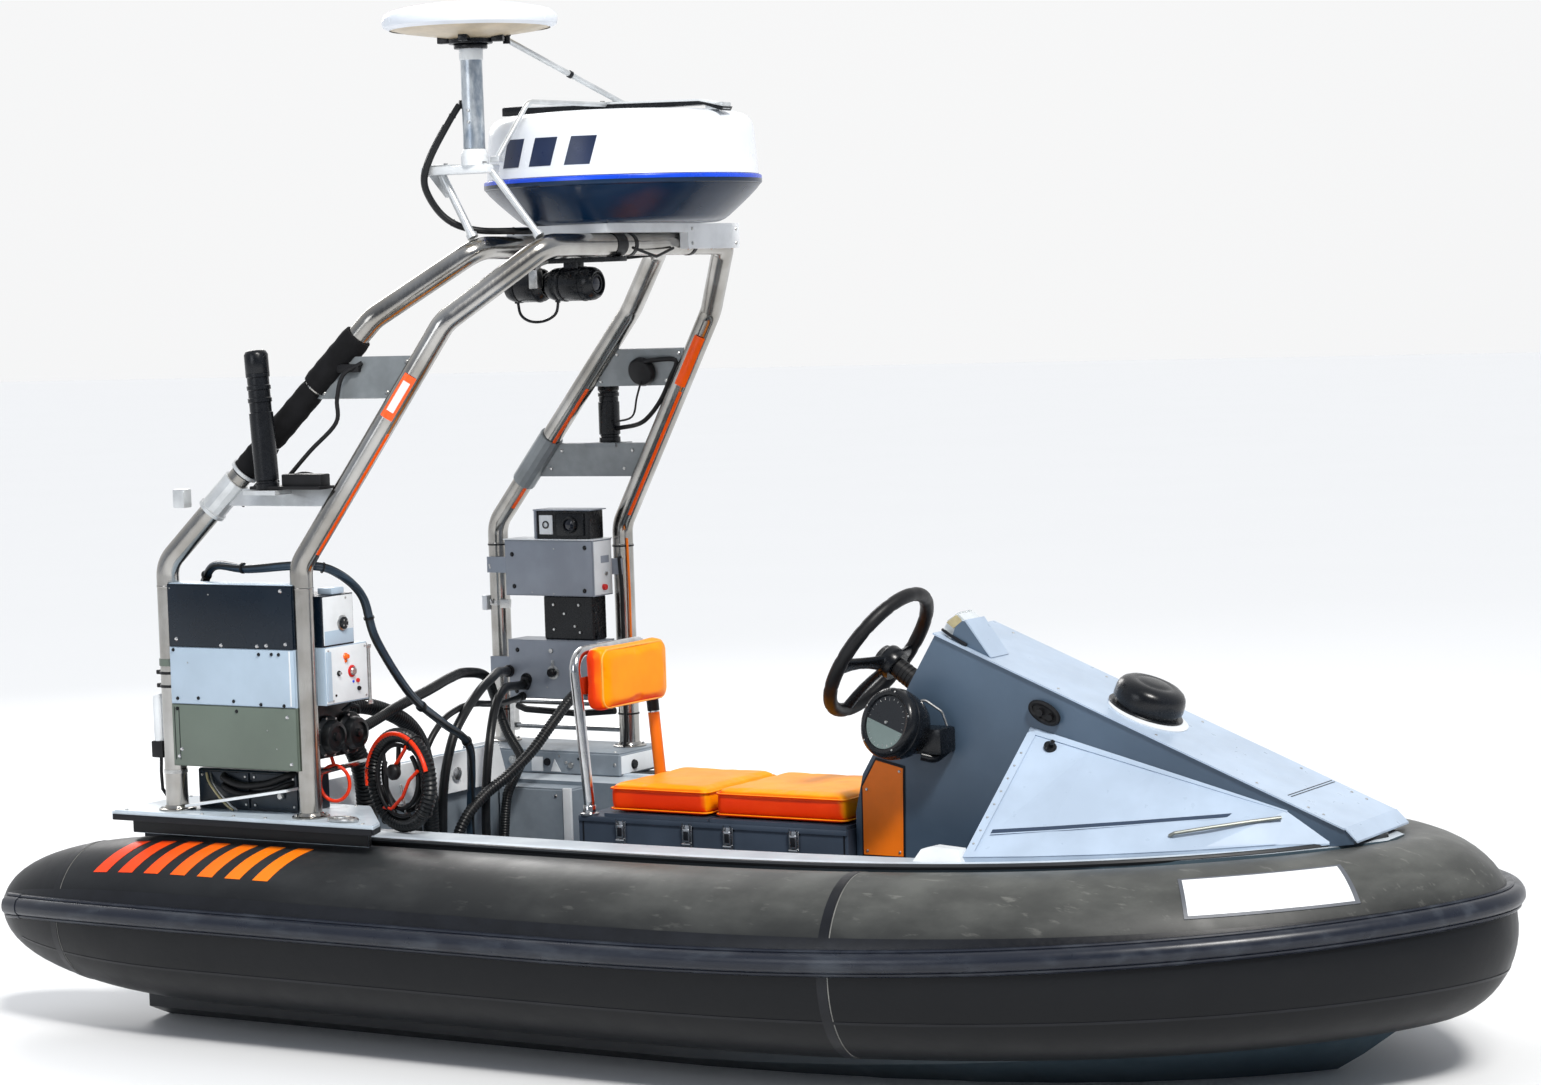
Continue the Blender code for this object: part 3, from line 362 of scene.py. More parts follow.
def collar_path(cone_steps=20, straight_steps=24, bow_steps=48):
    """Centres and radii from the starboard stern tip round the bow to the port stern tip."""
    half = []
    for k in range(cone_steps):
        u = cos(pi / 2 * k / cone_steps) ** 0.9
        x = CONE_START + (STERN_TIP - CONE_START) * u
        half.append((x, COLLAR_Y, COLLAR_R * max(1 - u ** 2.3, 0.0005) ** (1 / 2.3)))
    for k in range(straight_steps):
        half.append((CONE_START + (BOW_START - CONE_START) * k / straight_steps, COLLAR_Y, COLLAR_R))
    for k in range(bow_steps):
        angle = pi / 2 * (k / bow_steps) ** 1.3
        half.append((BOW_START + BOW_REACH * sin(angle) ** 0.7, COLLAR_Y * cos(angle) ** 1.4, COLLAR_R))
    tip = BOW_START + BOW_REACH
    starboard = [(Vector((x, -y, collar_z(x))), r) for x, y, r in half]
    port = [(Vector((x, y, collar_z(x))), r) for x, y, r in reversed(half)]
    return starboard + [(Vector((tip, 0, collar_z(tip))), COLLAR_R)] + port


collar_line = collar_path()
collar_frames = frames_along([point for point, radius in collar_line])


def section_at(station):
    """The collar's centre, radius, side and up at a station of its path."""
    i = min(int(station), len(collar_line) - 2)
    share = station - i
    (start, start_r), (end, end_r) = collar_line[i:i + 2]
    side, up = (collar_frames[i][k].lerp(collar_frames[i + 1][k], share) for k in (1, 2))
    return start.lerp(end, share), start_r + (end_r - start_r) * share, side, up


def on_collar(station, angle, lift=0):
    """The point on the collar's skin at a station of its path and an angle up from its outer side."""
    centre, radius, side, up = section_at(station)
    return centre + (side * cos(angle) + up * sin(angle)).normalized() * (radius + lift)


def station_at(x, port=False):
    """The station of the collar's path at a length along the boat."""
    middle = len(collar_line) // 2
    for i in range(middle):
        first, second = collar_line[i][0].x, collar_line[i + 1][0].x
        if first <= x <= second:
            found = i + (x - first) / (second - first)
            return len(collar_line) - 1 - found if port else found
    return middle


# Painted light on the collar: faces turned up are painted lighter and faces turned down near black as painted
# shade; the top is painted paler towards the bow as a painted sheen, and pale patches on the top near the bow
# are painted glare. Dust clouds break up the lit top.
fabric = Finish("collar_fabric", (0.018, 0.019, 0.021), 0.4, specular=0.24)
fabric_up = fabric.facing()[2]
fabric_x = fabric.axes(fabric.place())[0]
toward_bow = fabric.ramp(fabric_x, -1.3, 1.1)
lit_top_mask = fabric.ramp(fabric_up, 0.1, 0.95)
dust = fabric.cloud(0.35, 0.75, 6, 6, (1, 1, 2.5))
glare_patches = fabric.cloud(0.6, 0.72, 30, 6, (0.6, 2, 2))
top_sheen_tone = fabric.mix(toward_bow, (0.02, 0.022, 0.025), (0.112, 0.116, 0.108))
dusty_lit_fabric = fabric.mix(lit_top_mask * (dust * 0.5 + 0.5), (0.0022, 0.003, 0.0046), top_sheen_tone)
fabric.feed("Base Color", fabric.mix(glare_patches * lit_top_mask * toward_bow * 0.35, dusty_lit_fabric, (0.26, 0.26, 0.24)))
fabric.uneven(0.22, 0.3, 13, 4)
fabric.relief(0.00012, 0.6, 700, 2)
fabric.relief(0.0016, 0.35, 16, 3)

ring_angles = turns(56)
skin([[on_collar(i, angle) for angle in ring_angles] for i in range(len(collar_line))])
piece("collar_skin", fabric, smooth=50, hides=["collar"])


def tape(stations, low, high, lift=0.0012, paint=0, steps=8):
    """A strip on the collar between two angles, along a list of stations; its edges turn down to the skin."""
    rows = []
    for station in stations:
        angles = [low + (high - low) * k / steps for k in range(steps + 1)]
        rows.append([on_collar(station, angles[0], -0.001)]
            + [on_collar(station, angle, lift) for angle in angles]
            + [on_collar(station, angles[-1], -0.001)])
    loops = [[bm.verts.new(point) for point in row] for row in rows]
    for first, second in zip(loops, loops[1:]):
        for i in range(len(first) - 1):
            face = bm.faces.new((first[i], first[i + 1], second[i + 1], second[i]))
            face.material_index = paint
    for loop in (loops[0], loops[-1]):
        bm.faces.new(loop).material_index = paint


def span(first, last, step=0.5):
    """Stations from first to last, about a step apart."""
    count = max(round(abs(last - first) / step), 1)
    return [first + (last - first) * k / count for k in range(count + 1)]


SEAM_X = (-1.455, 0.545)        # the stern cap's seam and the bow section's seam
SEAM_HALF = 0.01
last_station = len(collar_line) - 1
tape_rubber = painted("tape_rubber", (0.006, 0.007, 0.01), 0.34, 0.25, 500, 0.0001, 14, specular=0.3)
glue_line = painted("glue_line", (0.16, 0.16, 0.15), 0.55, 0.25, 500, 0.0001, 14)
for port in (False, True):
    for seam_x in SEAM_X:
        for low, high, lift, paint in ((-SEAM_HALF, SEAM_HALF, 0.0011, 0),
                (SEAM_HALF + 0.0008, SEAM_HALF + 0.003, 0.0005, 1)):
            first, last = station_at(seam_x + low, port), station_at(seam_x + high, port)
            loops = [[on_collar(station, angle, rise) for angle in turns(72)] for station,
                rise in zip((first, first, last, last), (-0.001, lift, lift, -0.001))]
            skin(loops, paint, capped=False)
wear_band = span(station_at(-1.69), station_at(-1.69, True))
tape(wear_band, radians(15), radians(26.5), 0.0014)
tape(span(station_at(-1.6), station_at(-1.6, True)), radians(-28.5), radians(-26.5), 0.0008)
piece("collar_tapes", [tape_rubber, glue_line], smooth=40)

# Generic slanted bars and a blank white plate, where the photograph has lettering.
bar_orange = painted("bar_orange", (0.9, 0.13, 0.01), 0.42, 0.1, 400, 0.00008, specular=0.3)
bar_orange.feed("Base Color", bar_orange.mix(bar_orange.ramp(bar_orange.axes(bar_orange.place())[0], -1.3,
    -0.85), (0.92, 0.055, 0.004), (0.98, 0.21, 0.003)))
BAR_X, BAR_STEP, BAR_WIDTH, BAR_SLANT = -1.325, 0.078, 0.042, 0.055
BAR_LOW, BAR_HIGH = radians(41), radians(76)
for k in range(7):
    rows = []
    for j in range(9):
        share = j / 8
        angle = BAR_LOW + (BAR_HIGH - BAR_LOW) * share
        x = BAR_X + BAR_STEP * k + BAR_SLANT * (share - 0.5)
        stations = (station_at(x), station_at(x + BAR_WIDTH))
        rows.append([on_collar(stations[0], angle, -0.0006), on_collar(stations[0], angle, 0.0008),
            on_collar(stations[1], angle, 0.0008), on_collar(stations[1], angle, -0.0006)])
    skin(rows)
piece("collar_bars", bar_orange, smooth=30)

plate_white = painted("plate_white", (0.8, 0.82, 0.84), 0.35, 0.05, 300, 0.00006)
plate_edge = painted("plate_edge", (0.1, 0.11, 0.13), 0.45, 0.2, 300, 0.00006)
for grow, lift, paint in ((0, 0.0018, 1), (-0.006, 0.0026, 0)):
    rows = []
    for j in range(13):
        share = j / 12
        left, right = 1.16 - grow, 1.395 + grow
        low, high = radians(34) - grow / COLLAR_R, radians(66) + grow / COLLAR_R
        x = left + (right - left) * share
        station = station_at(x)
        angles = [low + (high - low) * k / 6 for k in range(7)]
        rows.append([on_collar(station, low, -0.001)] + [on_collar(station, a, lift) for a in angles]
            + [on_collar(station, high, -0.001)])
    skin(rows, paint)
piece("blank_plate", [plate_white, plate_edge], smooth=30)


# Rub strake: an extruded D-section of dense rubber, glued to the collar a little above its middle, with a
# fine groove above and below its nose and a moulded cap at each stern end.
STRAKE_HALF, STRAKE_DEPTH = 0.027, 0.026
STRAKE_LIFT, STRAKE_LIFT_BOW = 0.03, 0.068
STRAKE_PROFILE = ((-1, -0.12), (-1, 0.22), (-0.93, 0.4), (-0.8, 0.46), (-0.74, 0.42), (-0.66, 0.66),
    (-0.48, 0.9), (-0.24, 1), (0, 1.03), (0.24, 1), (0.48, 0.9), (0.66, 0.66), (0.74, 0.42), (0.8, 0.46),
    (0.93, 0.4), (1, 0.22), (1, -0.12))

strake_rubber = Finish("strake_rubber", (0.004, 0.005, 0.008), 0.24, specular=0.38)
strake_worn = strake_rubber.cloud(0.45, 0.75, 22, 5, (0.35, 1, 1))
strake_rubber.feed("Base Color", strake_rubber.mix(strake_worn, (0.01, 0.013, 0.022),
    (0.035, 0.042, 0.055)))
strake_rubber.uneven(0.22, 0.2, 35, 4)
strake_rubber.relief(0.001, 0.4, 9, 2)


def strake_ring(station, grow=1):
    """The strake's section at a station; grow swells it about its root."""
    centre, radius, side, up = section_at(station)
    side.normalize()
    up.normalize()
    rise = min(max((centre.x - SHEER_START) / SHEER_SPAN, 0), 1) ** 2
    lift = (STRAKE_LIFT + (STRAKE_LIFT_BOW - STRAKE_LIFT) * rise) * radius / COLLAR_R
    tilt = asin(lift / radius)
    out = cos(tilt) * side + sin(tilt) * up
    along = cos(tilt) * up - sin(tilt) * side
    root = centre + out * (radius + 0.0006)
    return [root + along * height * STRAKE_HALF * grow + out * depth * STRAKE_DEPTH * grow for height,
        depth in STRAKE_PROFILE]


stern_end = station_at(-1.637)
skin([strake_ring(station) for station in span(stern_end, last_station - stern_end, 1)])
for first, last in ((stern_end - 0.02, station_at(-1.575)),
        (last_station - stern_end + 0.02, station_at(-1.575, True))):
    skin([strake_ring(station, 1.05) for station in span(first, last, 0.5)])
piece("strake", strake_rubber, smooth=42, hides=["rub_strake"])


# Deck edge: a pale aluminium lip along the collar's inner shoulder, with a black rubber bead below it, from
# the arch's deck plate forward and round the bow.


def tube(path, radius, sides=16, paint=0, closed=False):
    """A round bar along a path; radius is one number or one for each point."""
    path = [Vector(point) for point in path]
    rings = []
    for i, (centre, (tangent, side, up)) in enumerate(zip(path, frames_along(path, closed))):
        reach = radius[i] if isinstance(radius, (list, tuple)) else radius
        rings.append([centre + reach * (cos(a) * side + sin(a) * up) for a in turns(sides)])
    return skin(rings, paint, closed)


lip_metal = painted("lip_metal", (0.55, 0.62, 0.68), 0.38, 0.1, 260, 0.0001, 18)
bead_rubber = painted("bead_rubber", (0.013, 0.015, 0.018), 0.45, 0.2, 300, 0.0001)
LIP_IN = 0.112          # inboard of the tube's centreline


def deck_edge(station, inboard, z_lift):
    centre, radius = collar_line[int(station)]
    side = collar_frames[int(station)][1]
    point = centre - side * inboard
    return Vector((point.x, point.y, collar_z(point.x) + COLLAR_R + z_lift))


lip_stations = range(int(station_at(-0.99)) + 1, int(station_at(-0.99, True)))
skin([[deck_edge(k, LIP_IN - 0.03, 0.0004), deck_edge(k, LIP_IN - 0.03, 0.005), deck_edge(k, LIP_IN, 0.006),
    deck_edge(k, LIP_IN, 0.0004)] for k in lip_stations])
tube([deck_edge(k, LIP_IN - 0.037, 0.002) for k in lip_stations], 0.006, 8, 1)
piece("deck_lip", [lip_metal, bead_rubber], smooth=30)


# Aft decks: the starboard deck plate under the arch's feet, the box under the port feet, the step below it
# and the sloping engine hatch are folded from painted aluminium sheet and screwed down.


def lathe(profile, centre, axis=(0, 0, 1), sides=32, paint=0):
    """A closed solid of revolution; profile is (radius, height) from the axis round to the axis."""
    turn = Vector((0, 0, 1)).rotation_difference(Vector(axis)).to_matrix()
    rings = []
    for radius, height in profile:
        count = 1 if radius == 0 else sides
        rings.append([bm.verts.new(Vector(centre) + turn
            @ Vector((radius * cos(2 * pi * k / sides), radius * sin(2 * pi * k / sides), height)))
            for k in range(count)])
    made = []
    for low, high in zip(rings, rings[1:]):
        for k in range(sides):
            n = (k + 1) % sides
            corners = [low[k % len(low)], low[n % len(low)], high[n % len(high)], high[k % len(high)]]
            made.append(bm.faces.new(dict.fromkeys(corners)))
    for face in made:
        face.material_index = paint
    return made


def drum(profile, *place, **more):
    """A lathe shape that closes flat on the axis at both ends."""
    lathe([(0, profile[0][1]), *profile, (0, profile[-1][1])], *place, **more)


def slab(x, y, z, bevel=0.002, paint=0, turn=None, about=None):
    """A box between pairs of x, y and z with rounded edges; turn is a matrix applied about a point."""
    made = bmesh.ops.create_cube(bm, size=1)["verts"]
    y = sorted(y)
    size = Vector((x[1] - x[0], y[1] - y[0], z[1] - z[0]))
    centre = Vector((x[0] + x[1], y[0] + y[1], z[0] + z[1])) / 2
    bmesh.ops.scale(bm, vec=size, verts=made)
    bmesh.ops.translate(bm, vec=centre, verts=made)
    faces = {face for vert in made for face in vert.link_faces}
    for face in faces:
        face.material_index = paint
    if turn is not None:
        pivot = Vector(about) if about is not None else centre
        bmesh.ops.rotate(bm, cent=pivot, matrix=turn, verts=made)
    if bevel:
        edges = list({edge for vert in made for edge in vert.link_edges})
        bmesh.ops.bevel(bm, geom=edges, offset=bevel, segments=2, profile=0.6, affect="EDGES",
            material=paint)


def extruded(outline, depth, paint=0):
    """A flat outline of points, given thickness by a vector."""
    depth = Vector(depth)
    skin([[Vector(point) for point in outline], [Vector(point) + depth for point in outline]], paint)


def fastener_tree():
    """Geometry Nodes: a domed head at each vertex, square to the vertex's own facing direction."""
    tree = bpy.data.node_groups.new("fastener_heads", "GeometryNodeTree")
    face = tree.interface
    face.new_socket("Geometry", in_out="INPUT", socket_type="NodeSocketGeometry")
    face.new_socket("Head Radius", in_out="INPUT", socket_type="NodeSocketFloat")
    face.new_socket("Head Height", in_out="INPUT", socket_type="NodeSocketFloat")
    face.new_socket("Head Sides", in_out="INPUT", socket_type="NodeSocketInt")
    face.new_socket("Finish", in_out="INPUT", socket_type="NodeSocketMaterial")
    face.new_socket("Geometry", in_out="OUTPUT", socket_type="NodeSocketGeometry")
    add = tree.nodes.new
    enter, leave = add("NodeGroupInput"), add("NodeGroupOutput")
    head, spread, facing = add("GeometryNodeMeshCone"), add("GeometryNodeInstanceOnPoints"), \
        add("GeometryNodeInputNamedAttribute")
    turn, real, paint = add("FunctionNodeAlignRotationToVector"), add("GeometryNodeRealizeInstances"), \
        add("GeometryNodeSetMaterial")
    narrow = add("ShaderNodeMath")
    narrow.operation = "MULTIPLY"
    narrow.inputs[1].default_value = 0.62
    facing.data_type = "FLOAT_VECTOR"
    facing.inputs["Name"].default_value = "facing"
    turn.axis = "Z"
    for source, target in (
            (enter.outputs["Geometry"], spread.inputs["Points"]),
            (enter.outputs["Head Radius"], head.inputs["Radius Bottom"]),
            (enter.outputs["Head Radius"], narrow.inputs[0]),
            (narrow.outputs[0], head.inputs["Radius Top"]),
            (enter.outputs["Head Height"], head.inputs["Depth"]),
            (enter.outputs["Head Sides"], head.inputs["Vertices"]),
            (facing.outputs["Attribute"], turn.inputs["Vector"]),
            (turn.outputs["Rotation"], spread.inputs["Rotation"]),
            (head.outputs["Mesh"], spread.inputs["Instance"]),
            (spread.outputs["Instances"], real.inputs["Geometry"]),
            (real.outputs["Geometry"], paint.inputs["Geometry"]),
            (enter.outputs["Finish"], paint.inputs["Material"]),
            (paint.outputs["Geometry"], leave.inputs["Geometry"])):
        tree.links.new(source, target)
    return tree


def evaluated(made):
    """The object with its modifiers applied."""
    return made.evaluated_get(bpy.context.evaluated_depsgraph_get())


def grown(name, carrier, tree, values, body="boat"):
    """Runs a Geometry Nodes tree on a mesh and keeps the result as a plain piece."""
    seed = added(name + "_seed", carrier)
    step = seed.modifiers.new("grow", "NODES")
    step.node_group = tree
    for item in tree.interface.items_tree:
        if item.in_out == "INPUT" and item.name in values:
            step[item.identifier] = values[item.name]
    result = bpy.data.meshes.new_from_object(evaluated(seed))
    seed.modifiers.clear()
    bpy.data.objects.remove(seed)
    result.name = name
    made = added(name, result)
    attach(made, body)
    return made


FASTENERS = fastener_tree()


def heads(name, spots, finish, radius=0.0045, height=0.0022, sides=10, body="boat"):
    """Screw, bolt or rivet heads at (point, direction) spots."""
    carrier = bpy.data.meshes.new(name + "_spots")
    carrier.from_pydata([Vector(point) for point, direction in spots], [], [])
    attribute = carrier.attributes.new("facing", "FLOAT_VECTOR", "POINT")
    for item, (point, direction) in zip(attribute.data, spots):
        item.vector = Vector(direction).normalized()
    values = {"Head Radius": radius, "Head Height": height, "Head Sides": sides, "Finish": finish.material}
    return grown(name, carrier, FASTENERS, values, body)


deck_paint = painted("deck_paint", (0.5, 0.57, 0.63), 0.36, 0.1, 240, 0.0001, 9)
deck_scratched = deck_paint.cloud(0.6, 0.68, 60, 6, (0.3, 1.6, 1))
deck_paint.feed("Roughness", deck_scratched * 0.2 + 0.32)
box_paint = painted("box_paint", (0.225, 0.265, 0.305), 0.4, 0.12, 260, 0.0001, 12)
white_paint = painted("white_paint", (0.74, 0.77, 0.79), 0.36, 0.06, 260, 0.0001, 12)
steel = painted("screw_steel", (0.5, 0.5, 0.49), 0.3, 0.15, 900, 0.00004, 60, metallic=1)
dark_seam = painted("dark_seam", (0.006, 0.007, 0.01), 0.5, 0.2, 300, 0.00005, specular=0.25)
coat_node("side_deck_starboard", deck_paint)
coat_node("engine_cover", white_paint)
for node in ("foot_box_port", "port_step"):
    coat_node(node, box_paint)

DECK_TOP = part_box("side_deck_starboard")[1][2]
extruded([(-1.335, -0.6975, DECK_TOP), (-0.604, -0.6975, DECK_TOP), (-0.624, -0.651, DECK_TOP),
    (-0.8, -0.451, DECK_TOP), (-1.335, -0.451, DECK_TOP)], (0, 0, 0.0025))
slab((-1.336, -0.602), (-0.7035, -0.7005), (0.486, 0.4995), 0.001, 1)
extruded([(-0.6005, -0.7025, 0.487), (-0.6205, -0.6505, 0.487), (-0.6205, -0.6505, 0.499),
    (-0.6005, -0.7025, 0.499)], (0.002, 0.0008, 0), 1)
slab((-1.33, -0.66), (-0.6425, -0.6404), (0.45, 0.485), 0.0005, 3)
extruded([(-0.6598, -0.64, 0.45), (-0.6698, -0.62, 0.45), (-0.6698, -0.62, 0.485), (-0.6598, -0.64, 0.485)],
    (0.0015, 0.0007, 0), 3)
slab((-1.168, -0.872), (-0.652, -0.606), (DECK_TOP + 0.033, DECK_TOP + 0.039), 0.001, 4,
    Matrix.Rotation(-0.16, 3, "Y"), (-1.02, -0.63, DECK_TOP + 0.033))
fairlead = [Vector((-0.706 + 0.034 * cos(t), -0.668 + 0.017 * sin(t), DECK_TOP + 0.007)) for t in turns(20)]
tube(fairlead, 0.0055, 10, 2, closed=True)
piece("deck_plate", [deck_paint, dark_seam, steel, fabric, white_paint], smooth=30)

foot_low, foot_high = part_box("foot_box_port")
step_low, step_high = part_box("port_step")
slab((foot_low[0] + 0.002, foot_high[0] - 0.002), (foot_low[1] + 0.002, foot_high[1] - 0.002),
    (foot_high[2] - 0.001, foot_high[2] + 0.0025), 0.001)
foot_face = foot_low[1]
slab((-1.024, -0.99), (foot_face - 0.0015, foot_face + 0.001), (0.454, 0.49), 0.0005, 1)
extruded([(-0.966, foot_face + 0.001, 0.455), (-0.936, foot_face + 0.001, 0.455),
    (-0.954, foot_face + 0.001, 0.486)], (0, -0.0025, 0), 1)
for x, z, reach, paint in ((-0.977, 0.478, 0.01, 2), (-0.906, 0.472, 0.008, 3), (-0.882, 0.489, 0.0035, 2),
        (-0.872, 0.489, 0.0035, 2), (-0.94, 0.494, 0.003, 3), (-1.08, 0.48, 0.012, 3)):
    drum([(reach, 0), (reach * 0.85, reach * 0.5)], (x, foot_face, z), (0, -1, 0), 16, paint)
drum([(0.012, 0), (0.01, 0.006)], (foot_high[0] + 0.002, 0.56, 0.474), (1, 0, 0), 18, 2)
slab((foot_high[0] - 0.001, foot_high[0] + 0.002), (foot_low[1] + 0.006, foot_high[1] - 0.01),
    (foot_low[2] + 0.006, foot_high[2] - 0.006), 0.001, 1)
slab((step_low[0] + 0.002, step_high[0] - 0.002), (step_low[1] + 0.001, step_high[1] - 0.001),
    (step_high[2] - 0.001, step_high[2] + 0.0025), 0.001)
slab((step_high[0] - 0.022, step_high[0] + 0.001), (step_low[1] - 0.004, step_low[1] + 0.004),
    (step_low[2] + 0.01, step_high[2] + 0.004), 0.0015, 1)
piece("foot_box_trim", [box_paint, white_paint, dark_seam, steel], smooth=30)

HATCH_TOP = ((-1.352, 0.4725), (-1.034, 0.5362))        # the hatch's slope, as (x, z)
for y in (-0.345, 0.345):
    tube([(HATCH_TOP[0][0] + 0.03, y, HATCH_TOP[0][1] + 0.006),
        (HATCH_TOP[1][0] - 0.02, y, HATCH_TOP[1][1] - 0.002)], 0.004, 8)
for y in (-0.16, 0.16):
    drum([(0.016, 0), (0.016, 0.002), (0.011, 0.004)], (-1.005, y, 0.492), (1, 0, 0), 16, 1)
piece("hatch_trim", [deck_paint, steel], "engine_cover", 30)
heads("hatch_screws", [((x, y, 0.4725 + (x + 1.352) * 0.2003 + 0.0005), (-0.2, 0, 0.98))
    for x in (-1.33, -1.22, -1.11, -1.05) for y in (-0.358, 0.358)], steel,
    body="engine_cover")
deck_screws = [((x, -0.684, DECK_TOP + 0.0025), (0, 0, 1)) for x in (-1.31, -1.09, -1, -0.91, -0.64)]
deck_screws += [((x, -0.462, DECK_TOP + 0.0025), (0, 0, 1)) for x in (-1.31, -1.15, -0.99, -0.83)]
deck_screws += [((x, y, foot_high[2] + 0.0025), (0, 0, 1)) for x in (-1.22, -1, -0.78)
    for y in (0.512, 0.69)]
deck_screws += [((x, foot_low[1], 0.478), (0, -1, 0)) for x in (-1.22, -1.06, -0.92, -0.775)]
deck_screws += [((x, step_low[1], z), (0, -1, 0)) for x in (-0.995, -0.84) for z in (0.235, 0.42)]
heads("deck_screws", deck_screws, steel)


# Console and hood: one welded sheet moulding. Its flanks are slate blue-grey and its sloping top pale blue,
# with an orange panel let into the starboard flank by the seat. The moulding's own coat is pale where faces
# turn up and dark on upright faces: partly its two-tone paint, partly painted light on top and painted shade
# on the flanks.
HOOD_AFT, HOOD_FORE = Vector((0.483, 0, 0.89)), Vector((1.395, 0, 0.522))
HOOD_HALF = 0.135
hood_along = (HOOD_FORE - HOOD_AFT).normalized()
hood_up = Vector((-hood_along.z, 0, hood_along.x))


def on_hood(run, y, lift=0):
    """A point on the hood's sloping top, a run down from its aft edge."""
    return HOOD_AFT + hood_along * run + hood_up * lift + Vector((0, y, 0))


slate = Finish("slate_paint", (0.052, 0.08, 0.118), 0.36)
# partly painted light and shade: faces turning up are painted pale, upright flanks dark slate, and the flanks
# lighter higher up
slate_up = slate.ramp(slate.facing()[2], 0.35, 0.55)
slate_cloud = slate.cloud(0.3, 0.72, 4.5, 5)
slate_high = slate.ramp(slate.axes(slate.place())[2], 0.45, 0.85)
slate_side = slate.mix(slate_cloud * 0.4 + slate_high * 0.6, (0.04, 0.066, 0.102), (0.078, 0.122, 0.18))
slate_top = slate.mix(slate_cloud, (0.42, 0.52, 0.65), (0.53, 0.63, 0.75))
slate.feed("Base Color", slate.mix(slate_up, slate_side, slate_top))
slate.uneven(0.2, 0.28, 30)
slate.relief(0.0001, 0.5, 220)
slate.relief(0.004, 0.25, 3, 2)
coat_node("console_hood", slate)

pale_blue = painted("pale_blue_paint", (0.4, 0.49, 0.61), 0.32, 0.09, 260, 0.0001, 5)
pale_blue.relief(0.005, 0.2, 2.6, 2)
panel_orange = painted("panel_orange", (0.9, 0.185, 0.003), 0.42, 0.08, 260, 0.0001, 9, specular=0.35)
plastic = painted("black_plastic", (0.006, 0.007, 0.009), 0.26, 0.25, 420, 0.0001, 18, specular=0.3)
rubber = painted("rubber_black", (0.007, 0.007, 0.008), 0.45, 0.25, 500, 0.00015, 20, specular=0.28)

run_end = (HOOD_FORE - HOOD_AFT).length
cap = [on_hood(-0.004, -HOOD_HALF - 0.005, 0.0004), on_hood(run_end + 0.012, -HOOD_HALF - 0.005, 0.0004),
    on_hood(run_end + 0.012, HOOD_HALF + 0.005, 0.0004), on_hood(-0.004, HOOD_HALF + 0.005, 0.0004)]
extruded(cap, hood_up * 0.0035)
nose = [on_hood(run_end + 0.012, side * (HOOD_HALF + 0.004), 0.002) for side in (-1, 1)]
extruded([nose[0], nose[1], nose[1] + Vector((0.026, 0, -0.026)), nose[0] + Vector((0.026, 0, -0.026))],
    (0, 0, 0.004))
for run in (0.845, 0.852):
    extruded([on_hood(run, -0.1, 0.0042), on_hood(run + 0.002, -0.1, 0.0042),
        on_hood(run + 0.002, 0.13, 0.0042), on_hood(run, 0.13, 0.0042)], hood_up * 0.0004, 1)
piece("hood_cap", [pale_blue, dark_seam], smooth=30)

FLANK_Y = -HOOD_HALF - 0.0004
orange_panel = [(0.291, 0.404), (0.396, 0.404), (0.401, 0.606), (0.33, 0.622), (0.292, 0.56)]
extruded([(x, FLANK_Y, z) for x, z in orange_panel], (0, -0.0018, 0), 1)
inset = [(0.295, 0.41), (0.392, 0.41), (0.397, 0.601), (0.331, 0.616), (0.296, 0.557)]
extruded([(x, FLANK_Y - 0.0018, z) for x, z in inset], (0, -0.0012, 0))
piece("flank_panel", [panel_orange, dark_seam], smooth=30)
flank_rivets = [((x, FLANK_Y - 0.003, z), (0, -1, 0)) for x,
    z in ((0.304, 0.418), (0.384, 0.418), (0.388, 0.594), (0.306, 0.552))]
flank_rivets += [(on_hood(run, -0.115, 0.004), hood_up) for run in (0.06, 0.3, 0.54, 0.78, 0.9, 0.935)]
flank_rivets += [(on_hood(run, 0.115, 0.004), hood_up) for run in (0.06, 0.3, 0.54, 0.78, 0.9, 0.935)]
heads("console_rivets", flank_rivets, steel, 0.0035, 0.0016)

# Cable entry, latch and the flank's small fittings.
entry = [Vector((0.744 + 0.034 * cos(t) * cos(0.43) + 0.014 * sin(t) * 0.42, FLANK_Y - 0.001,
    0.733 - 0.034 * cos(t) * 0.42 + 0.016 * sin(t))) for t in turns(24)]
extruded(entry, (0, -0.01, 0))
tube([point + Vector((0, -0.009, 0)) for point in entry], 0.006, 8, closed=True)
tube([(0.735, FLANK_Y - 0.005, 0.736), (0.737, FLANK_Y - 0.022, 0.734)], 0.008, 12)
tube([(0.757, FLANK_Y - 0.005, 0.727), (0.759, FLANK_Y - 0.02, 0.724)], 0.007, 12)
piece("cable_entry", rubber, smooth=40)


# Foredeck: two sloping sheet panels from the hood's flanks down to the collar, each with a pressed groove, a
# grab rod and a quarter-turn latch at its top corner. The groove is drawn as a raised strip with a dark blue
# line along it, painted shade.
PANEL_AFT, PANEL_FORE, PANEL_TIP = 0.705, 1.28, 1.4     # the flat panel, and the bow tip
GROOVE_AFT, GROOVE_LONG = 0.737, 0.493
FORE_STATIONS = (PANEL_AFT, 0.85, 1, 1.15, PANEL_FORE)
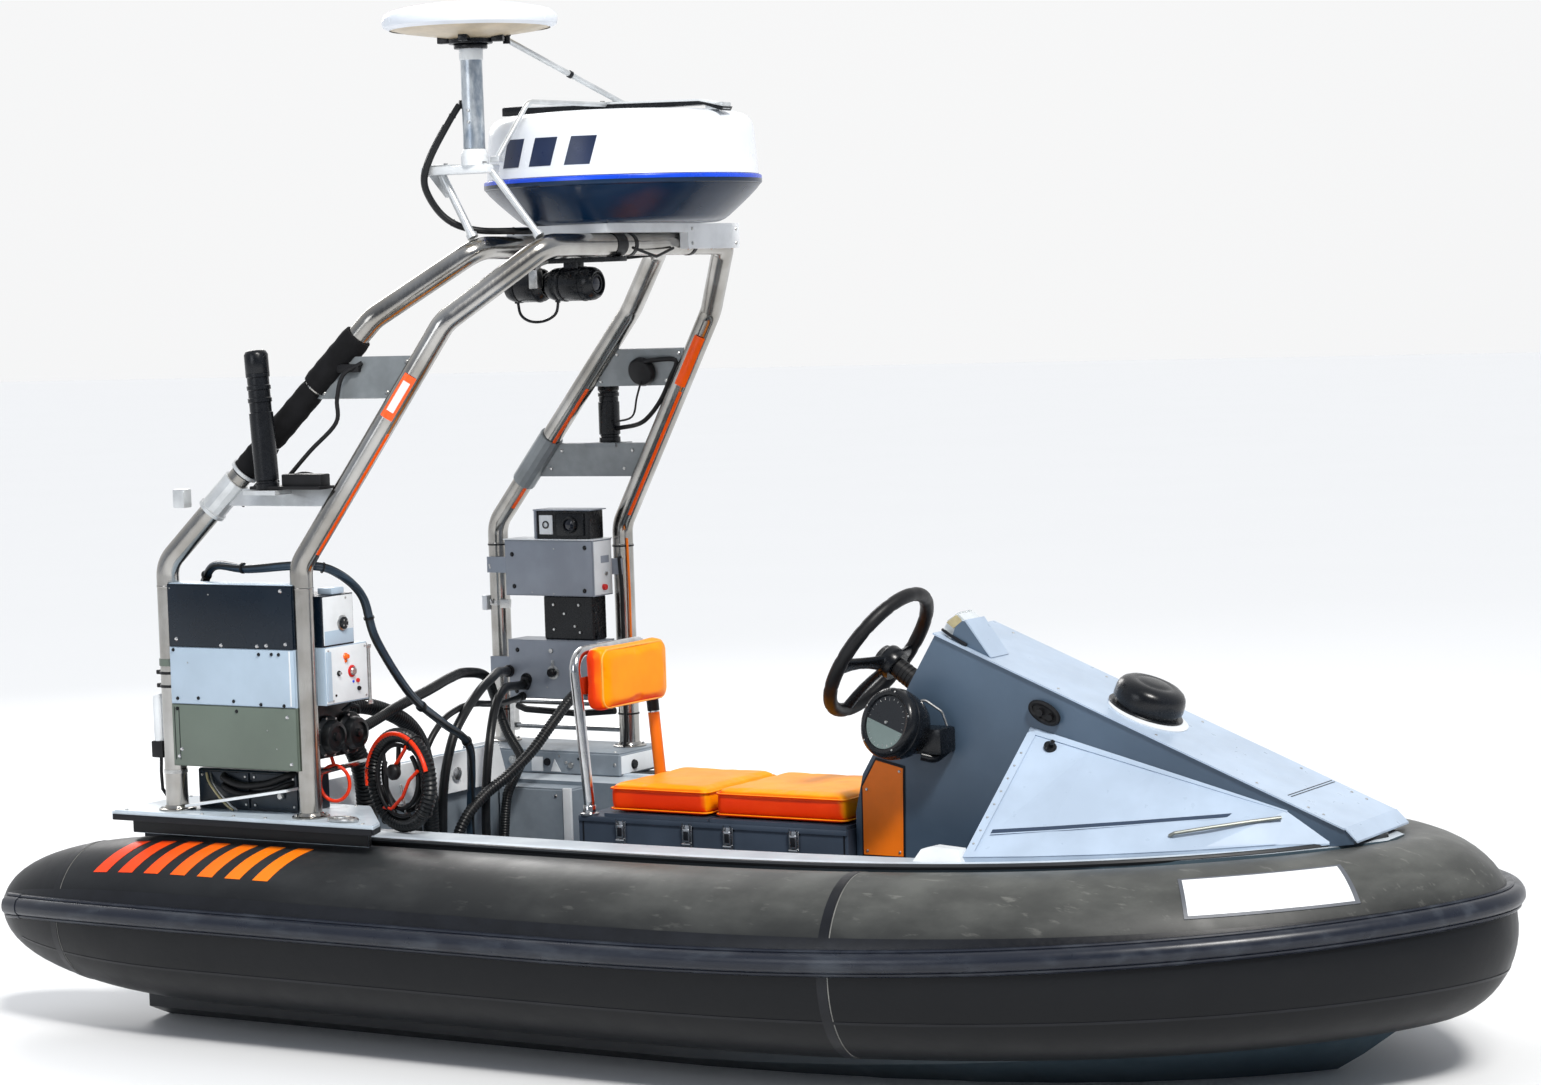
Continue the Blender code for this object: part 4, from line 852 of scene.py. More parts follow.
# painted shade: a dark line that stands for the pressed groove's hollow
groove_shade = painted("groove_shade", (0.02, 0.04, 0.08), 0.42, 0.1, 300, 0.00005)
rod_grey = painted("rod_grey", (0.22, 0.23, 0.21), 0.34, 0.2, 500, 0.00004, metallic=0.6)


def fore_section(x):
    """The panel's lower and upper edges at a station, as (y, z) on the port side."""
    share = (x - PANEL_AFT) / (PANEL_TIP - PANEL_AFT)
    sine = min(max((x - BOW_START) / BOW_REACH, 0), 1) ** (1 / 0.7)
    edge = max(COLLAR_Y * sqrt(1 - sine * sine) ** 1.4 - 0.13, HOOD_HALF + 0.02)
    return (edge, collar_z(x) + COLLAR_R + 0.0123), (HOOD_HALF + 0.0003, 0.7 - share * 0.18)


def on_foredeck(x, rise, side=-1, lift=0):
    """A point on the panel, rise going from 0 at the collar to 1 at the hood; straight between stations."""
    i = max(k for k in range(len(FORE_STATIONS) - 1) if x >= FORE_STATIONS[k] - 1e-6)
    share = (x - FORE_STATIONS[i]) / (FORE_STATIONS[i + 1] - FORE_STATIONS[i])
    points = []
    for station in FORE_STATIONS[i:i + 2]:
        (edge_y, edge_z), (top_y, top_z) = fore_section(station)
        points.append(Vector((station, side * (edge_y + (top_y - edge_y) * rise),
            edge_z + (top_z - edge_z) * rise)))
    (edge_y, edge_z), (top_y, top_z) = fore_section(x)
    normal = Vector((0.25, side * (top_z - edge_z), edge_y - top_y)).normalized()
    return points[0].lerp(points[1], share) + normal * lift


def rise_span(x):
    """The length across the panel at a station."""
    (edge_y, edge_z), (top_y, top_z) = fore_section(x)
    return hypot(edge_y - top_y, top_z - edge_z)


def level_rise(x, z):
    """How far up the panel a height lies at a station."""
    (edge_y, edge_z), (top_y, top_z) = fore_section(x)
    return (z - edge_z) / (top_z - edge_z)


def panel_strip(stations, side, lift, base=0.0002):
    """Rings of a raised strip on the panel; stations holds (x, low rise, high rise)."""
    return [[on_foredeck(x, low, side, base), on_foredeck(x, low, side, lift),
        on_foredeck(x, high, side, lift), on_foredeck(x, high, side, base)] for x, low, high in stations]


coat_node("foredeck_starboard", pale_blue)
coat_node("foredeck_port", pale_blue)
for side, label in ((-1, "starboard"), (1, "port")):
    runs = [PANEL_AFT + (PANEL_FORE - PANEL_AFT) * k / 20 for k in range(21)]
    for low, high, lift, paint in ((0, 0.045, 0.003, 0), (0.955, 1, 0.003, 0)):
        skin(panel_strip([(x, low, high) for x in runs], side, lift), paint)
    rises = [k / 12 for k in range(13)]
    skin([[on_foredeck(PANEL_AFT, rise, side, 0.0002), on_foredeck(PANEL_AFT, rise, side, 0.003),
        on_foredeck(0.723, rise, side, 0.003), on_foredeck(0.723, rise, side, 0.0002)] for rise in rises])
    groove = [(x, level_rise(x, 0.5164 + (0.5468 - 0.5164) * (x - GROOVE_AFT) / GROOVE_LONG))
        for x in (GROOVE_AFT + GROOVE_LONG * k / 24 for k in range(25))]
    for spread, lift, paint in ((0.0088, 0.0012, 0), (0.0056, 0.0018, 6)):
        skin(panel_strip([(x, rise - spread / rise_span(x), rise + spread / rise_span(x)) for x,
            rise in groove], side, lift), paint)
    rod = [on_foredeck(x, level_rise(x, 0.5094 + (0.5376 - 0.5094) * (x - 1.085) / 0.187), side, lift)
        for x, lift in ((1.085, 0.003), (1.089, 0.013), (1.15, 0.015), (1.21, 0.015), (1.266, 0.013),
        (1.27, 0.003))]
    tube(rod, 0.004, 10, 7)
    tip = [[(1.279, 0.1353, fore_section(1.279)[0][1] - 0.012),
        (1.279, fore_section(1.279)[0][0], fore_section(1.279)[0][1] - 0.012),
        (1.279, fore_section(1.279)[0][0], fore_section(1.279)[0][1]),
        (1.279, 0.1353, fore_section(1.279)[1][1])], [(1.372, 0.1353, 0.4865), (1.372, 0.1385, 0.4865),
        (1.372, 0.1385, 0.4895), (1.372, 0.1353, 0.4925)]]
    skin([[Vector((x, side * y, z)) for x, y, z in ring] for ring in tip])
    latch = on_foredeck(0.765, 0.9, side, 0)
    latch_axis = (on_foredeck(0.765, 0.9, side, 0.01) - latch)
    drum([(0.014, 0), (0.014, 0.005), (0.011, 0.008)], latch, latch_axis, 18, 3)
    tube([latch + latch_axis * 0.6, latch + latch_axis * 2.2], 0.005, 10, 3)
    ledge = [(0.56, 0.47, 0.461), (0.694, 0.47, 0.461), (0.694, 0.4, 0.508), (0.64, 0.4, 0.514),
        (0.596, 0.42, 0.498)]
    extruded([(x, side * 0.1358, z) for x, y, z in ledge], (0, side * 0.02, 0), 5)
    corner = [(0.6, -0.47, 0.4615), (0.712, -0.47, 0.4615), (0.7, -0.455, 0.488), (0.64, -0.455, 0.492),
        (0.615, -0.46, 0.486)]
    extruded([(x, -side * y, z) for x, y, z in corner], (0, -side * 0.03, 0), 4)
    piece("foredeck_fittings_" + label, [pale_blue, dark_seam, steel, plastic, white_paint, slate,
        groove_shade, rod_grey], smooth=35)
fore_rivets = [(on_foredeck(0.714, rise, side, 0.003),
    on_foredeck(0.714, rise, side, 1) - on_foredeck(0.714, rise, side)) for side in (-1, 1)
    for rise in (0.1, 0.2, 0.3, 0.4, 0.5, 0.6, 0.7, 0.8)]
heads("foredeck_rivets", fore_rivets, steel, 0.003, 0.0014)


# Hood fittings: a mushroom ventilator of black moulded plastic on a white pad, and a wedge lamp with a clear
# front at the hood's aft starboard corner.
VENT_RUN = 0.455
pad_centre = on_hood(VENT_RUN, 0)
drum([(0.088, 0.004), (0.088, 0.007), (0.084, 0.009)], on_hood(VENT_RUN + 0.012, -0.008), hood_up, 48, 1)
lathe([(0, 0.008), (0.081, 0.008), (0.082, 0.011), (0.08, 0.013), (0.07, 0.014), (0.07, 0.022),
    (0.076, 0.024), (0.0765, 0.03), (0.076, 0.044), (0.073, 0.055), (0.067, 0.063), (0.057, 0.069),
    (0.045, 0.0715), (0.04, 0.0705), (0.036, 0.0705), (0.03, 0.073), (0.015, 0.0745), (0, 0.075)],
    pad_centre, hood_up, 56)
piece("ventilator", [plastic, white_paint], smooth=38, hides=["vent_cowl"])

lens_clear = Finish("lens_clear", (0.86, 0.9, 0.9), 0.08, Transmission_Weight=0.85, IOR=1.45)
lens_clear.uneven(0.08, 0.04, 40)
lens_amber = painted("lens_amber", (0.42, 0.36, 0.2), 0.12, 0.15, 300, 0.0001, 60, 0.05)
lamp_white = painted("lamp_white", (0.62, 0.66, 0.68), 0.3, 0.08, 300, 0.0001, 20)
LAMP_Y = (-0.125, -0.045)
LAMP_LAYERS = (         # inset from the lamp's sides, paint, outline as (run, lift)
    (0, 3, [(0.034, 0.0042), (0.134, 0.0042), (0.052, 0.053), (0.036, 0.048)]),
    (-0.001, 5, [(0.05, 0.0545), (0.134, 0.0045), (0.137, 0.0055), (0.054, 0.0575)]),
    (0.006, 0, [(0.006, 0.0042), (0.036, 0.0042), (0.05, 0.053), (0.03, 0.06), (0.01, 0.03)]),
    (0.012, 1, [(0.0105, 0.031), (0.0295, 0.0592), (0.026, 0.062), (0.007, 0.034)]),
)
for inset, paint, outline in LAMP_LAYERS:
    extruded([on_hood(run, LAMP_Y[0] + inset, lift) for run, lift in outline],
        (0, LAMP_Y[1] - LAMP_Y[0] - 2 * inset, 0), paint)
extruded([point + Vector((0, LAMP_Y[0] - 0.0005, 0)) for point in (on_hood(0.012, 0, 0.0335),
    on_hood(0.0275, 0, 0.057), on_hood(0.045, 0, 0.05), on_hood(0.032, 0, 0.028))], (0, 0.004, 0), 4)
tube([on_hood(0.004, LAMP_Y[0] + 0.01, 0.012), on_hood(0.03, LAMP_Y[0] - 0.003, 0.012),
    on_hood(0.075, LAMP_Y[0] - 0.004, 0.008)], 0.0035, 10, 2)
piece("wedge_lamp", [lamp_white, lens_clear, dark_seam, slate, lens_amber, pale_blue],
    smooth=30, hides=["bow_lamp"])


# Seat: a sheet-metal locker with two lids, four over-centre latches on each side, two vinyl cushions, and a
# backrest pad on a bent chromed tube. The pads are blown up as cloth from slightly smaller shapes.
slate_box = painted("slate_box", (0.045, 0.062, 0.09), 0.42, 0.15, 240, 0.0001, 7, 0.1, specular=0.35)
coat_node("seat_locker", slate_box)
coat_node("seat_lid_aft", slate_box)
coat_node("seat_lid_fore", slate_box)
locker_low, locker_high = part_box("seat_locker")
for side in (-1, 1):
    face_y = side * (locker_high[1] + 0.0004)
    for x in (-0.418, -0.127, 0.262):
        slab((x - 0.0018, x + 0.0018), (face_y, face_y + side * 0.0008), (0.205, 0.458), 0, 1)
    slab((locker_low[0] + 0.001, 0.27), (face_y, face_y + side * 0.003), (0.452, 0.4635), 0.001)
piece("locker_seams", [slate_box, dark_seam], smooth=30)

LATCH_X = {"seat_lid_aft": (-0.314, -0.138), "seat_lid_fore": (-0.031, 0.138)}
chrome = painted("chrome", (0.62, 0.62, 0.62), 0.16, 0.12, 700, 0.00003, 40, 0.06, metallic=1)
for places in LATCH_X.values():
    for x in places:
        for side in (-1, 1):
            y = side * (locker_high[1] + 0.0035)
            slab((x - 0.013, x + 0.013), (y, y + side * 0.002), (0.408, 0.456), 0.0006)
            slab((x - 0.009, x + 0.009), (y + side * 0.002, y + side * 0.007), (0.418, 0.448), 0.0015)
            slab((x - 0.0055, x + 0.0055), (y + side * 0.007, y + side * 0.0085), (0.423, 0.443), 0.0005, 1)
            for offset in (-0.0105, 0.0105):
                tube([(x + offset, y + side * 0.005, 0.441), (x + offset * 0.85, y + side * 0.006, 0.461)],
                    0.0016, 8)
            tube([(x - 0.011, y + side * 0.005, 0.414), (x + 0.011, y + side * 0.005, 0.414)], 0.0028, 10)
piece("latches", [chrome, dark_seam], smooth=35)

vinyl = Finish("orange_vinyl", (0.9, 0.165, 0.004), 0.42, specular=0.16)
vinyl_facing = vinyl.facing()
vinyl_sun = vinyl.ramp(vinyl_facing[2] * 0.9 + vinyl_facing[0] * 0.9, 0.05, 0.85)
vinyl_cloud = vinyl.cloud(0.3, 0.75, 9, 4)
vinyl_soil = vinyl.cloud(0.66, 0.8, 16, 6)
vinyl_tone = vinyl.mix(vinyl_cloud, (0.84, 0.034, 0.0005), (0.92, 0.052, 0.001))
vinyl_top = vinyl.mix(vinyl_sun, vinyl_tone, vinyl.mix(vinyl_cloud, (0.98, 0.315, 0.001),
    (1, 0.37, 0.0015)))
vinyl.feed("Base Color", vinyl.mix(vinyl_soil * 0.35, vinyl_top, (0.5, 0.11, 0.01)))
vinyl.uneven(0.18, 0.3, 24)
vinyl.bump(vinyl.node("ShaderNodeTexVoronoi", {"feature": "F1"}, Vector=vinyl.place(), Scale=620), 0.00012,
    0.5)
vinyl.relief(0.0012, 0.4, 20, 3)


def rounded(points, radius, steps):
    """A path through points with each corner turned by an arc of the given radius."""
    points = [Vector(point) for point in points]
    path = [points[0]]
    for before, corner, after in zip(points, points[1:], points[2:]):
        inward = (before - corner).normalized()
        outward = (after - corner).normalized()
        half = inward.angle(outward) / 2
        reach = radius / tan(half)
        start, end = corner + inward * reach, corner + outward * reach
        centre = corner + (inward + outward).normalized() * radius / sin(half)
        for k in range(steps + 1):
            path.append(centre + (start.lerp(end, k / steps) - centre).normalized() * radius)
    path.append(points[-1])
    return path


def pad_mesh(low, high, corner):
    """A box with rounded corners seen from its broad face, as the start of a stuffed pad."""
    slab((low[0], high[0]), (low[1], high[1]), (low[2], high[2]), corner)
    mesh = bpy.data.meshes.new("pad")
    bm.to_mesh(mesh)
    bm.clear()
    return mesh


def stuffed(name, low, high, body, hides, corner=0.017, shrink=0.003, limit=0.0034, voxel=0.0055,
        pressure=4):
    """A padded piece inside a box: remeshed, blown up as cloth, capped in its movement and smoothed once."""
    low = [value + shrink for value in low]
    high = [value - shrink for value in high]
    mesh = pad_mesh(low, high, corner)
    made = added(name, mesh)
    remesh = made.modifiers.new("remesh", "REMESH")
    remesh.mode = "VOXEL"
    remesh.voxel_size = voxel
    made.data = bpy.data.meshes.new_from_object(evaluated(made))
    made.modifiers.clear()
    before = [vert.co.copy() for vert in made.data.vertices]
    cloth = made.modifiers.new("cloth", "CLOTH")
    cloth.settings.use_pressure = True
    cloth.settings.uniform_pressure_force = pressure
    cloth.settings.effector_weights.gravity = 0
    cloth.settings.tension_stiffness = 12
    scene = bpy.context.scene
    for step in range(1, 21):
        scene.frame_set(step)
        blown = evaluated(made)
        if step == 20:
            after = [vert.co.copy() for vert in blown.data.vertices]
    made.modifiers.clear()
    scene.frame_set(1)
    for vert, start, end in zip(made.data.vertices, before, after):
        move = end - start
        vert.co = start + move * min(0.5, limit / max(move.length, 1e-6))
    bounds_low = [value - shrink for value in low]
    bounds_high = [value + shrink for value in high]
    for vert in made.data.vertices:
        vert.co = Vector([min(max(vert.co[i], bounds_low[i]), bounds_high[i]) for i in range(3)])
    made.data.materials.clear()
    made.data.materials.append(vinyl.material)
    finer = made.modifiers.new("smooth", "SUBSURF")
    finer.levels = finer.render_levels = 1
    made.data.shade_smooth()
    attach(made, body)
    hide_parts(*hides)
    return made


def piping(name, low, high, radius, z, body, bead=0.0022):
    """The sewn bead round a pad, at one height, with rounded corners."""
    corners = ((low[0], low[1], 1, 1), (high[0], low[1], -1, 1), (high[0], high[1], -1, -1),
        (low[0], high[1], 1, -1))
    path = []
    for k, (x, y, sx, sy) in enumerate(corners):
        start = pi + k * pi / 2
        for step in range(6):
            angle = start + step * pi / 10
            path.append((x + sx * radius + radius * cos(angle), y + sy * radius + radius * sin(angle), z))
    tube(path, bead, 8, closed=True)
    return piece(name, vinyl, body, 60)


for place, body in (("aft", "aft_seat"), ("fore", "fore_seat")):
    pad_low, pad_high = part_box("seat_cushion_" + place)
    stuffed("cushion_" + place, pad_low, pad_high, body, ["seat_cushion_" + place])
    for label, level in (("upper", pad_high[2] - 0.013), ("lower", pad_low[2] + 0.009)):
        piping(f"piping_{place}_{label}", (pad_low[0] + 0.0035, pad_low[1] + 0.0035),
            (pad_high[0] - 0.0035, pad_high[1] - 0.0035), 0.018, level, body)
back_low, back_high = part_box("backrest_cushion")
stuffed("backrest_pad", back_low, back_high, "boat", ["backrest_cushion"], corner=0.024)
# The backrest's piping bead is painted paler than the vinyl: a painted highlight along the pad's front edge.
bead_highlight = painted("bead_highlight", (0.95, 0.42, 0.06), 0.45, 0.1, 400, 0.00005, 30)
bead_x, BEAD_IN = back_high[0] - 0.0092, 0.0112
bead_low, bead_high = back_low[2] + BEAD_IN, back_high[2] - BEAD_IN
bead_side = back_high[1] - BEAD_IN
bead_path = rounded([(bead_x, 0, bead_low), (bead_x, -bead_side, bead_low), (bead_x, -bead_side, bead_high),
    (bead_x, bead_side, bead_high), (bead_x, bead_side, bead_low), (bead_x, 0.001, bead_low)], 0.024, 6)
tube(bead_path, 0.0022, 10)
piece("backrest_bead", bead_highlight, smooth=60)

FRAME_X, FRAME_Y, FRAME_TOP = -0.44, 0.15, 0.83
for side in (-1, 1):
    drum([(0.022, 0), (0.022, 0.004), (0.015, 0.006), (0.015, 0.02), (0.0135, 0.022)],
        (FRAME_X + 0.03, side * FRAME_Y, locker_high[2] + 0.0004), sides=24)
    slab((FRAME_X + 0.012, FRAME_X + 0.018), (side * 0.118, side * 0.15), (0.735, 0.775), 0.001)
frame_half = [(FRAME_X + 0.03, locker_high[2] + 0.0004), (FRAME_X + 0.03, locker_high[2] + 0.0304),
    (FRAME_X, FRAME_TOP)]
frame_path = [(x, -FRAME_Y, z) for x, z in frame_half] + [(x, FRAME_Y, z) for x, z in reversed(frame_half)]
tube(rounded(frame_path, 0.045, 12), 0.0125, 24)
sleeve = [Vector(frame_path[-2]).lerp(Vector(frame_path[-3]), share)
    for share in (0.04, 0.3, 0.5, 0.51, 0.6, 0.61)]
tube(sleeve[:3], 0.0136, 24, 1)
tube(sleeve[3:5], 0.0142, 24, 2)
piece("backrest_tube", [chrome, panel_orange, rubber], smooth=45, hides=["backrest_frame"])


# Helm: a three-spoke wheel with a soft rim on a raked column, and a bracket compass on the console's
# starboard flank, its dial half dark and half pale with 24 ticks.
WHEEL_CENTRE = Vector((0.268, 0, 0.834))
WHEEL_RAKE = radians(34.5)
WHEEL_R = 0.156
wheel_axis = Vector((-cos(WHEEL_RAKE), 0, sin(WHEEL_RAKE)))
wheel_up = Vector((sin(WHEEL_RAKE), 0, cos(WHEEL_RAKE)))
wheel_across = Vector((0, 1, 0))


def round_wheel(angle):
    return cos(angle) * wheel_across + sin(angle) * wheel_up


rim_path = [WHEEL_CENTRE + round_wheel(t) * WHEEL_R for t in turns(96)]
rim_radius = [0.0155 - 0.0011 * (1 if k % 8 == 0 else 0) for k in range(96)]
tube(rim_path, rim_radius, 20, closed=True)
hub_foot = WHEEL_CENTRE - wheel_axis * 0.055
lathe([(0, 0), (0.034, 0), (0.036, 0.004), (0.036, 0.03), (0.033, 0.036), (0.027, 0.04), (0.025, 0.047),
    (0.02, 0.05), (0, 0.051)], hub_foot, wheel_axis, 36, 1)
for spoke_angle in (radians(188), radians(270), radians(352)):
    radial = round_wheel(spoke_angle)
    sideways = wheel_axis.cross(radial)
    stations = []
    for share in (0, 0.12, 0.3, 0.5, 0.7, 0.88, 1):
        centre = (hub_foot + wheel_axis * 0.022 + radial * 0.018).lerp(WHEEL_CENTRE + radial
            * (WHEEL_R - 0.002), share)
        centre += wheel_axis * 0.006 * sin(pi * share)
        width = 0.023 - 0.02 * share * (1 - share) * 2 + 0.002 * share
        thick = 0.0085 + 0.002 * share
        stations.append([centre + sideways * width * cos(t) + wheel_axis * thick * sin(t)
            for t in turns(16)])
    skin(stations, 1)
piece("helm_wheel", [rubber, plastic], "steering_wheel", 45, ["steering_wheel"])

column_foot = hub_foot - wheel_axis * 0.105
tube([column_foot, hub_foot - wheel_axis * 0.0006], 0.0215, 28)
for k in range(5):
    at = hub_foot - wheel_axis * (0.012 + 0.01 * k)
    tube([at, at - wheel_axis * 0.005], 0.0235, 28)
drum([(0.052, 0), (0.05, 0.01), (0.034, 0.022), (0.024, 0.026)], hub_foot - wheel_axis * 0.083, wheel_axis,
    32)
piece("helm_column", rubber, smooth=40, hides=["steering_column"])

COMPASS = Vector((0.43, -0.215, 0.705))
compass_axis = Vector((-0.25, -0.93, 0.27)).normalized()
compass_foot = COMPASS - compass_axis * 0.045
dial_dark = painted("dial_dark", (0.006, 0.008, 0.011), 0.25, 0.2, 300, 0.00004)
dial_pale = painted("dial_pale", (0.16, 0.21, 0.2), 0.22, 0.15, 300, 0.00004)
drum([(0.049, 0), (0.06, 0.006), (0.067, 0.018), (0.073, 0.036), (0.0755, 0.06), (0.0755, 0.074),
    (0.0725, 0.081), (0.066, 0.085), (0.0595, 0.083), (0.0575, 0.078)], compass_foot, compass_axis, 56)
lathe([(0.0745, 0.05), (0.0768, 0.052), (0.0768, 0.058), (0.0745, 0.06)], compass_foot, compass_axis, 56)
card_axis = (Vector((0, 0, 1)) - compass_axis * compass_axis.z).normalized()
card_side = compass_axis.cross(card_axis).normalized()
dial = compass_foot + compass_axis * 0.0784
dial_points = [dial + (card_side * cos(t) + card_axis * sin(t)) * 0.057 for t in turns(48)]
lower = [point for point in dial_points if (point - dial).dot(card_axis) < -0.006
    + (point - dial).dot(card_side) * 0.3]
extruded(dial_points, compass_axis * 0.0006, 1)
extruded(lower, compass_axis * 0.0012, 2)
lathe([(0, 0), (0.004, 0), (0.003, 0.003), (0, 0.004)], dial + compass_axis * 0.001, compass_axis, 14, 3)
for k in range(24):
    way = card_side * cos(2 * pi * k / 24) + card_axis * sin(2 * pi * k / 24)
    tube([dial + way * (0.049 if k % 6 else 0.046) + compass_axis * 0.0014,
        dial + way * 0.053 + compass_axis * 0.0014], 0.0006, 6, 3)
slab((0.452, 0.528), (-0.205, -HOOD_HALF - 0.0006), (0.642, 0.698), 0.008)
tube(rounded([(0.48, -0.2, 0.7), (0.462, -0.212, 0.742), (0.446, -0.205, 0.768)], 0.02, 6), 0.007, 12)
tube(rounded([(0.515, -0.15, 0.65), (0.505, -0.19, 0.632), (0.48, -0.205, 0.64)], 0.02, 6), 0.01, 12)
tube(rounded([(0.452, -0.19, 0.735), (0.475, -0.178, 0.758), (0.512, -0.165, 0.73), (0.52, -0.16, 0.7)],
    0.012, 4), 0.0028, 8, 3)
piece("compass", [plastic, dial_dark, dial_pale, steel], smooth=38,
    hides=["bracket_compass"])
heads("compass_screws", [(compass_foot + compass_axis * 0.084 + (card_side * cos(t) + card_axis * sin(t))
    * 0.067, compass_axis) for t in (0.5, 1.8, 2.9, 4.2, 5.6)], steel, 0.0026, 0.0015)


# Sensor arch: two hoops of polished stainless tube that lean forward, on round feet, with weld rings at the
# shoulders, foam sleeves and small orange reflectors.
TUBE_R, LEG_Y, SHOULDER_Z, CROWN_Y, CROWN_Z = 0.0254, 0.637, 1.063, 0.365, 1.745
AFT_HOOP, FORE_HOOP = "arch_hoop_aft", "arch_hoop_fore"
HOOPS = {               # foot x, elbow (x, y, z), crown x
    AFT_HOOP: (-1.2, (-0.6875, 0.514, 1.598), -0.506),
    FORE_HOOP: (-0.819, (-0.477, 0.54, 1.586), -0.324),
}
FOOT_Z = DECK_TOP + 0.0003

tube_steel = Finish("tube_steel", (0.42, 0.4, 0.37), 0.17, 1)
tube_shade = tube_steel.cloud(0.3, 0.75, 7, 4)
tube_steel.feed("Base Color", tube_steel.mix(tube_shade, (0.3, 0.285, 0.26), (0.5, 0.49, 0.47)))
tube_steel.uneven(0.14, 0.13, 160, 3, (1, 1, 0.12))
tube_steel.relief(0.00003, 0.5, 420, 2, (1, 1, 0.05))


def hoop_path(name, steps=14):
    foot_x, (ex, ey, ez), crown_x = HOOPS[name]
    half = [(foot_x, LEG_Y, FOOT_Z), (foot_x, LEG_Y, SHOULDER_Z), (ex, ey, ez), (crown_x, CROWN_Y, CROWN_Z)]
    return rounded([(x, -y, z) for x, y, z in half] + list(reversed(half)), 0.07, steps)


def slant(name, side, z):
    """The point of a hoop's slanting leg at a height."""
    foot_x, (ex, ey, ez), crown_x = HOOPS[name]
    share = (z - SHOULDER_Z) / (ez - SHOULDER_Z)
    return Vector((foot_x + (ex - foot_x) * share, side * (LEG_Y + (ey - LEG_Y) * share), z))


for name in HOOPS:
    foot_x = HOOPS[name][0]
    tube(hoop_path(name), TUBE_R, 40)
    for side in (-1, 1):
        drum([(0.04, 0), (0.042, 0.0015), (0.042, 0.005), (0.04, 0.0065), (0.03, 0.007), (0.0275, 0.012),
            (0.0255, 0.014)], (foot_x, side * LEG_Y, FOOT_Z), sides=40)
        ring = Vector((foot_x, side * LEG_Y, SHOULDER_Z - 0.052))
        drum([(0.0258, 0), (0.0263, 0.002), (0.0258, 0.004)], ring, sides=40)
    piece(name + "_tube", tube_steel, smooth=40, hides=[name])
heads("foot_bolts", [((foot_x + 0.034 * cos(t), side * LEG_Y + 0.034 * sin(t), FOOT_Z + 0.0065), (0, 0, 1))
    for foot_x in (hoop[0] for hoop in HOOPS.values()) for side in (-1, 1) for t in (0.8, 2.37, 3.94, 5.5)],
    steel, 0.0042, 0.004, 6)

foam = painted("foam_sleeve", (0.006, 0.006, 0.007), 0.85, 0.3, 260, 0.0008, 20, 0.05, specular=0.2)
reflector_orange = painted("reflector_orange", (0.95, 0.1, 0.005), 0.2, 0.08, 900, 0.0001, 20, 0.05)
reflector_white = painted("reflector_white", (0.78, 0.78, 0.76), 0.22, 0.05, 900, 0.0001, 20, 0.05)
for low, high, reach in ((1.452, 1.56, 0.0335), (1.335, 1.448, 0.029), (1.262, 1.33, 0.03)):
    path = [slant(AFT_HOOP, -1, low + (high - low) * k / 10) for k in range(11)]
    radii = [reach - 0.002 if k in (0, 10) else reach + 0.0008 * sin(k * 2.4) for k in range(11)]
    tube(path, radii, 28)
piece("foam_sleeves", foam, smooth=50)


def leg_strip(name, side, low, high, angle, width, lift=0.0012, paint=0):
    """A strip stuck along a slanting leg, at an angle round the tube from its outboard side."""
    path = [slant(name, side, low + (high - low) * k / 6) for k in range(7)]
    rows = []
    for centre, (tangent, across, up) in zip(path, frames_along(path)):
        rows.append([centre + (TUBE_R + lift) * (cos(a) * across + sin(a) * up)
            for a in (angle + (k / 4 - 0.5) * width / TUBE_R for k in range(5))])
    inner = [[centre + (point - centre) * 0.93 for point in row] for centre, row in zip(path, rows)]
    skin([row + under[::-1] for row, under in zip(rows, inner)], paint)


leg_strip(FORE_HOOP, -1, 1.1, 1.36, radians(-65), 0.007)
leg_strip(FORE_HOOP, -1, 1.385, 1.475, radians(-10), 0.026, 0.004)
leg_strip(FORE_HOOP, -1, 1.4, 1.462, radians(-10), 0.014, 0.0052, 1)
leg_strip(FORE_HOOP, 1, 1.418, 1.535, radians(-40), 0.024, 0.004)
leg_strip(FORE_HOOP, 1, 1.1, 1.405, radians(-58), 0.008)
leg_strip(AFT_HOOP, 1, 1.12, 1.42, radians(-66), 0.008)
piece("leg_reflectors", [reflector_orange, reflector_white], smooth=40)


# Arch plates: sheet panels clipped between the hoops on each side, a lower bracket on each side with a split
# clamp round the aft leg, and the two rod antennas that stand on them.


def smooth_bend(points, parts=6):
    """A smooth curve through points."""
    points = [Vector(point) for point in points]
    ends = [points[0] * 2 - points[1]] + points + [points[-1] * 2 - points[-2]]
    path = []
    for i in range(len(points) - 1):
        before, start, end, after = ends[i:i + 4]
        for k in range(parts):
            t = k / parts
            path.append(0.5 * (2 * start + (end - before) * t + (2 * before - 5 * start + 4 * end - after)
                * t * t + (3 * start - before - 3 * end + after) * t * t * t))
    path.append(points[-1])
    return path


plate_paint = painted("plate_paint", (0.21, 0.23, 0.24), 0.38, 0.14, 260, 0.0001, 14, metallic=0.25)
bracket_metal = painted("bracket_metal", (0.6, 0.62, 0.63), 0.36, 0.12, 320, 0.0001, 20, metallic=0.55)
for node in ("arch_plate_starboard", "arch_plate_port"):
    coat_node(node, plate_paint)
coat_node("arch_bracket_starboard", bracket_metal)
coat_node("arch_bracket_port", plate_paint)


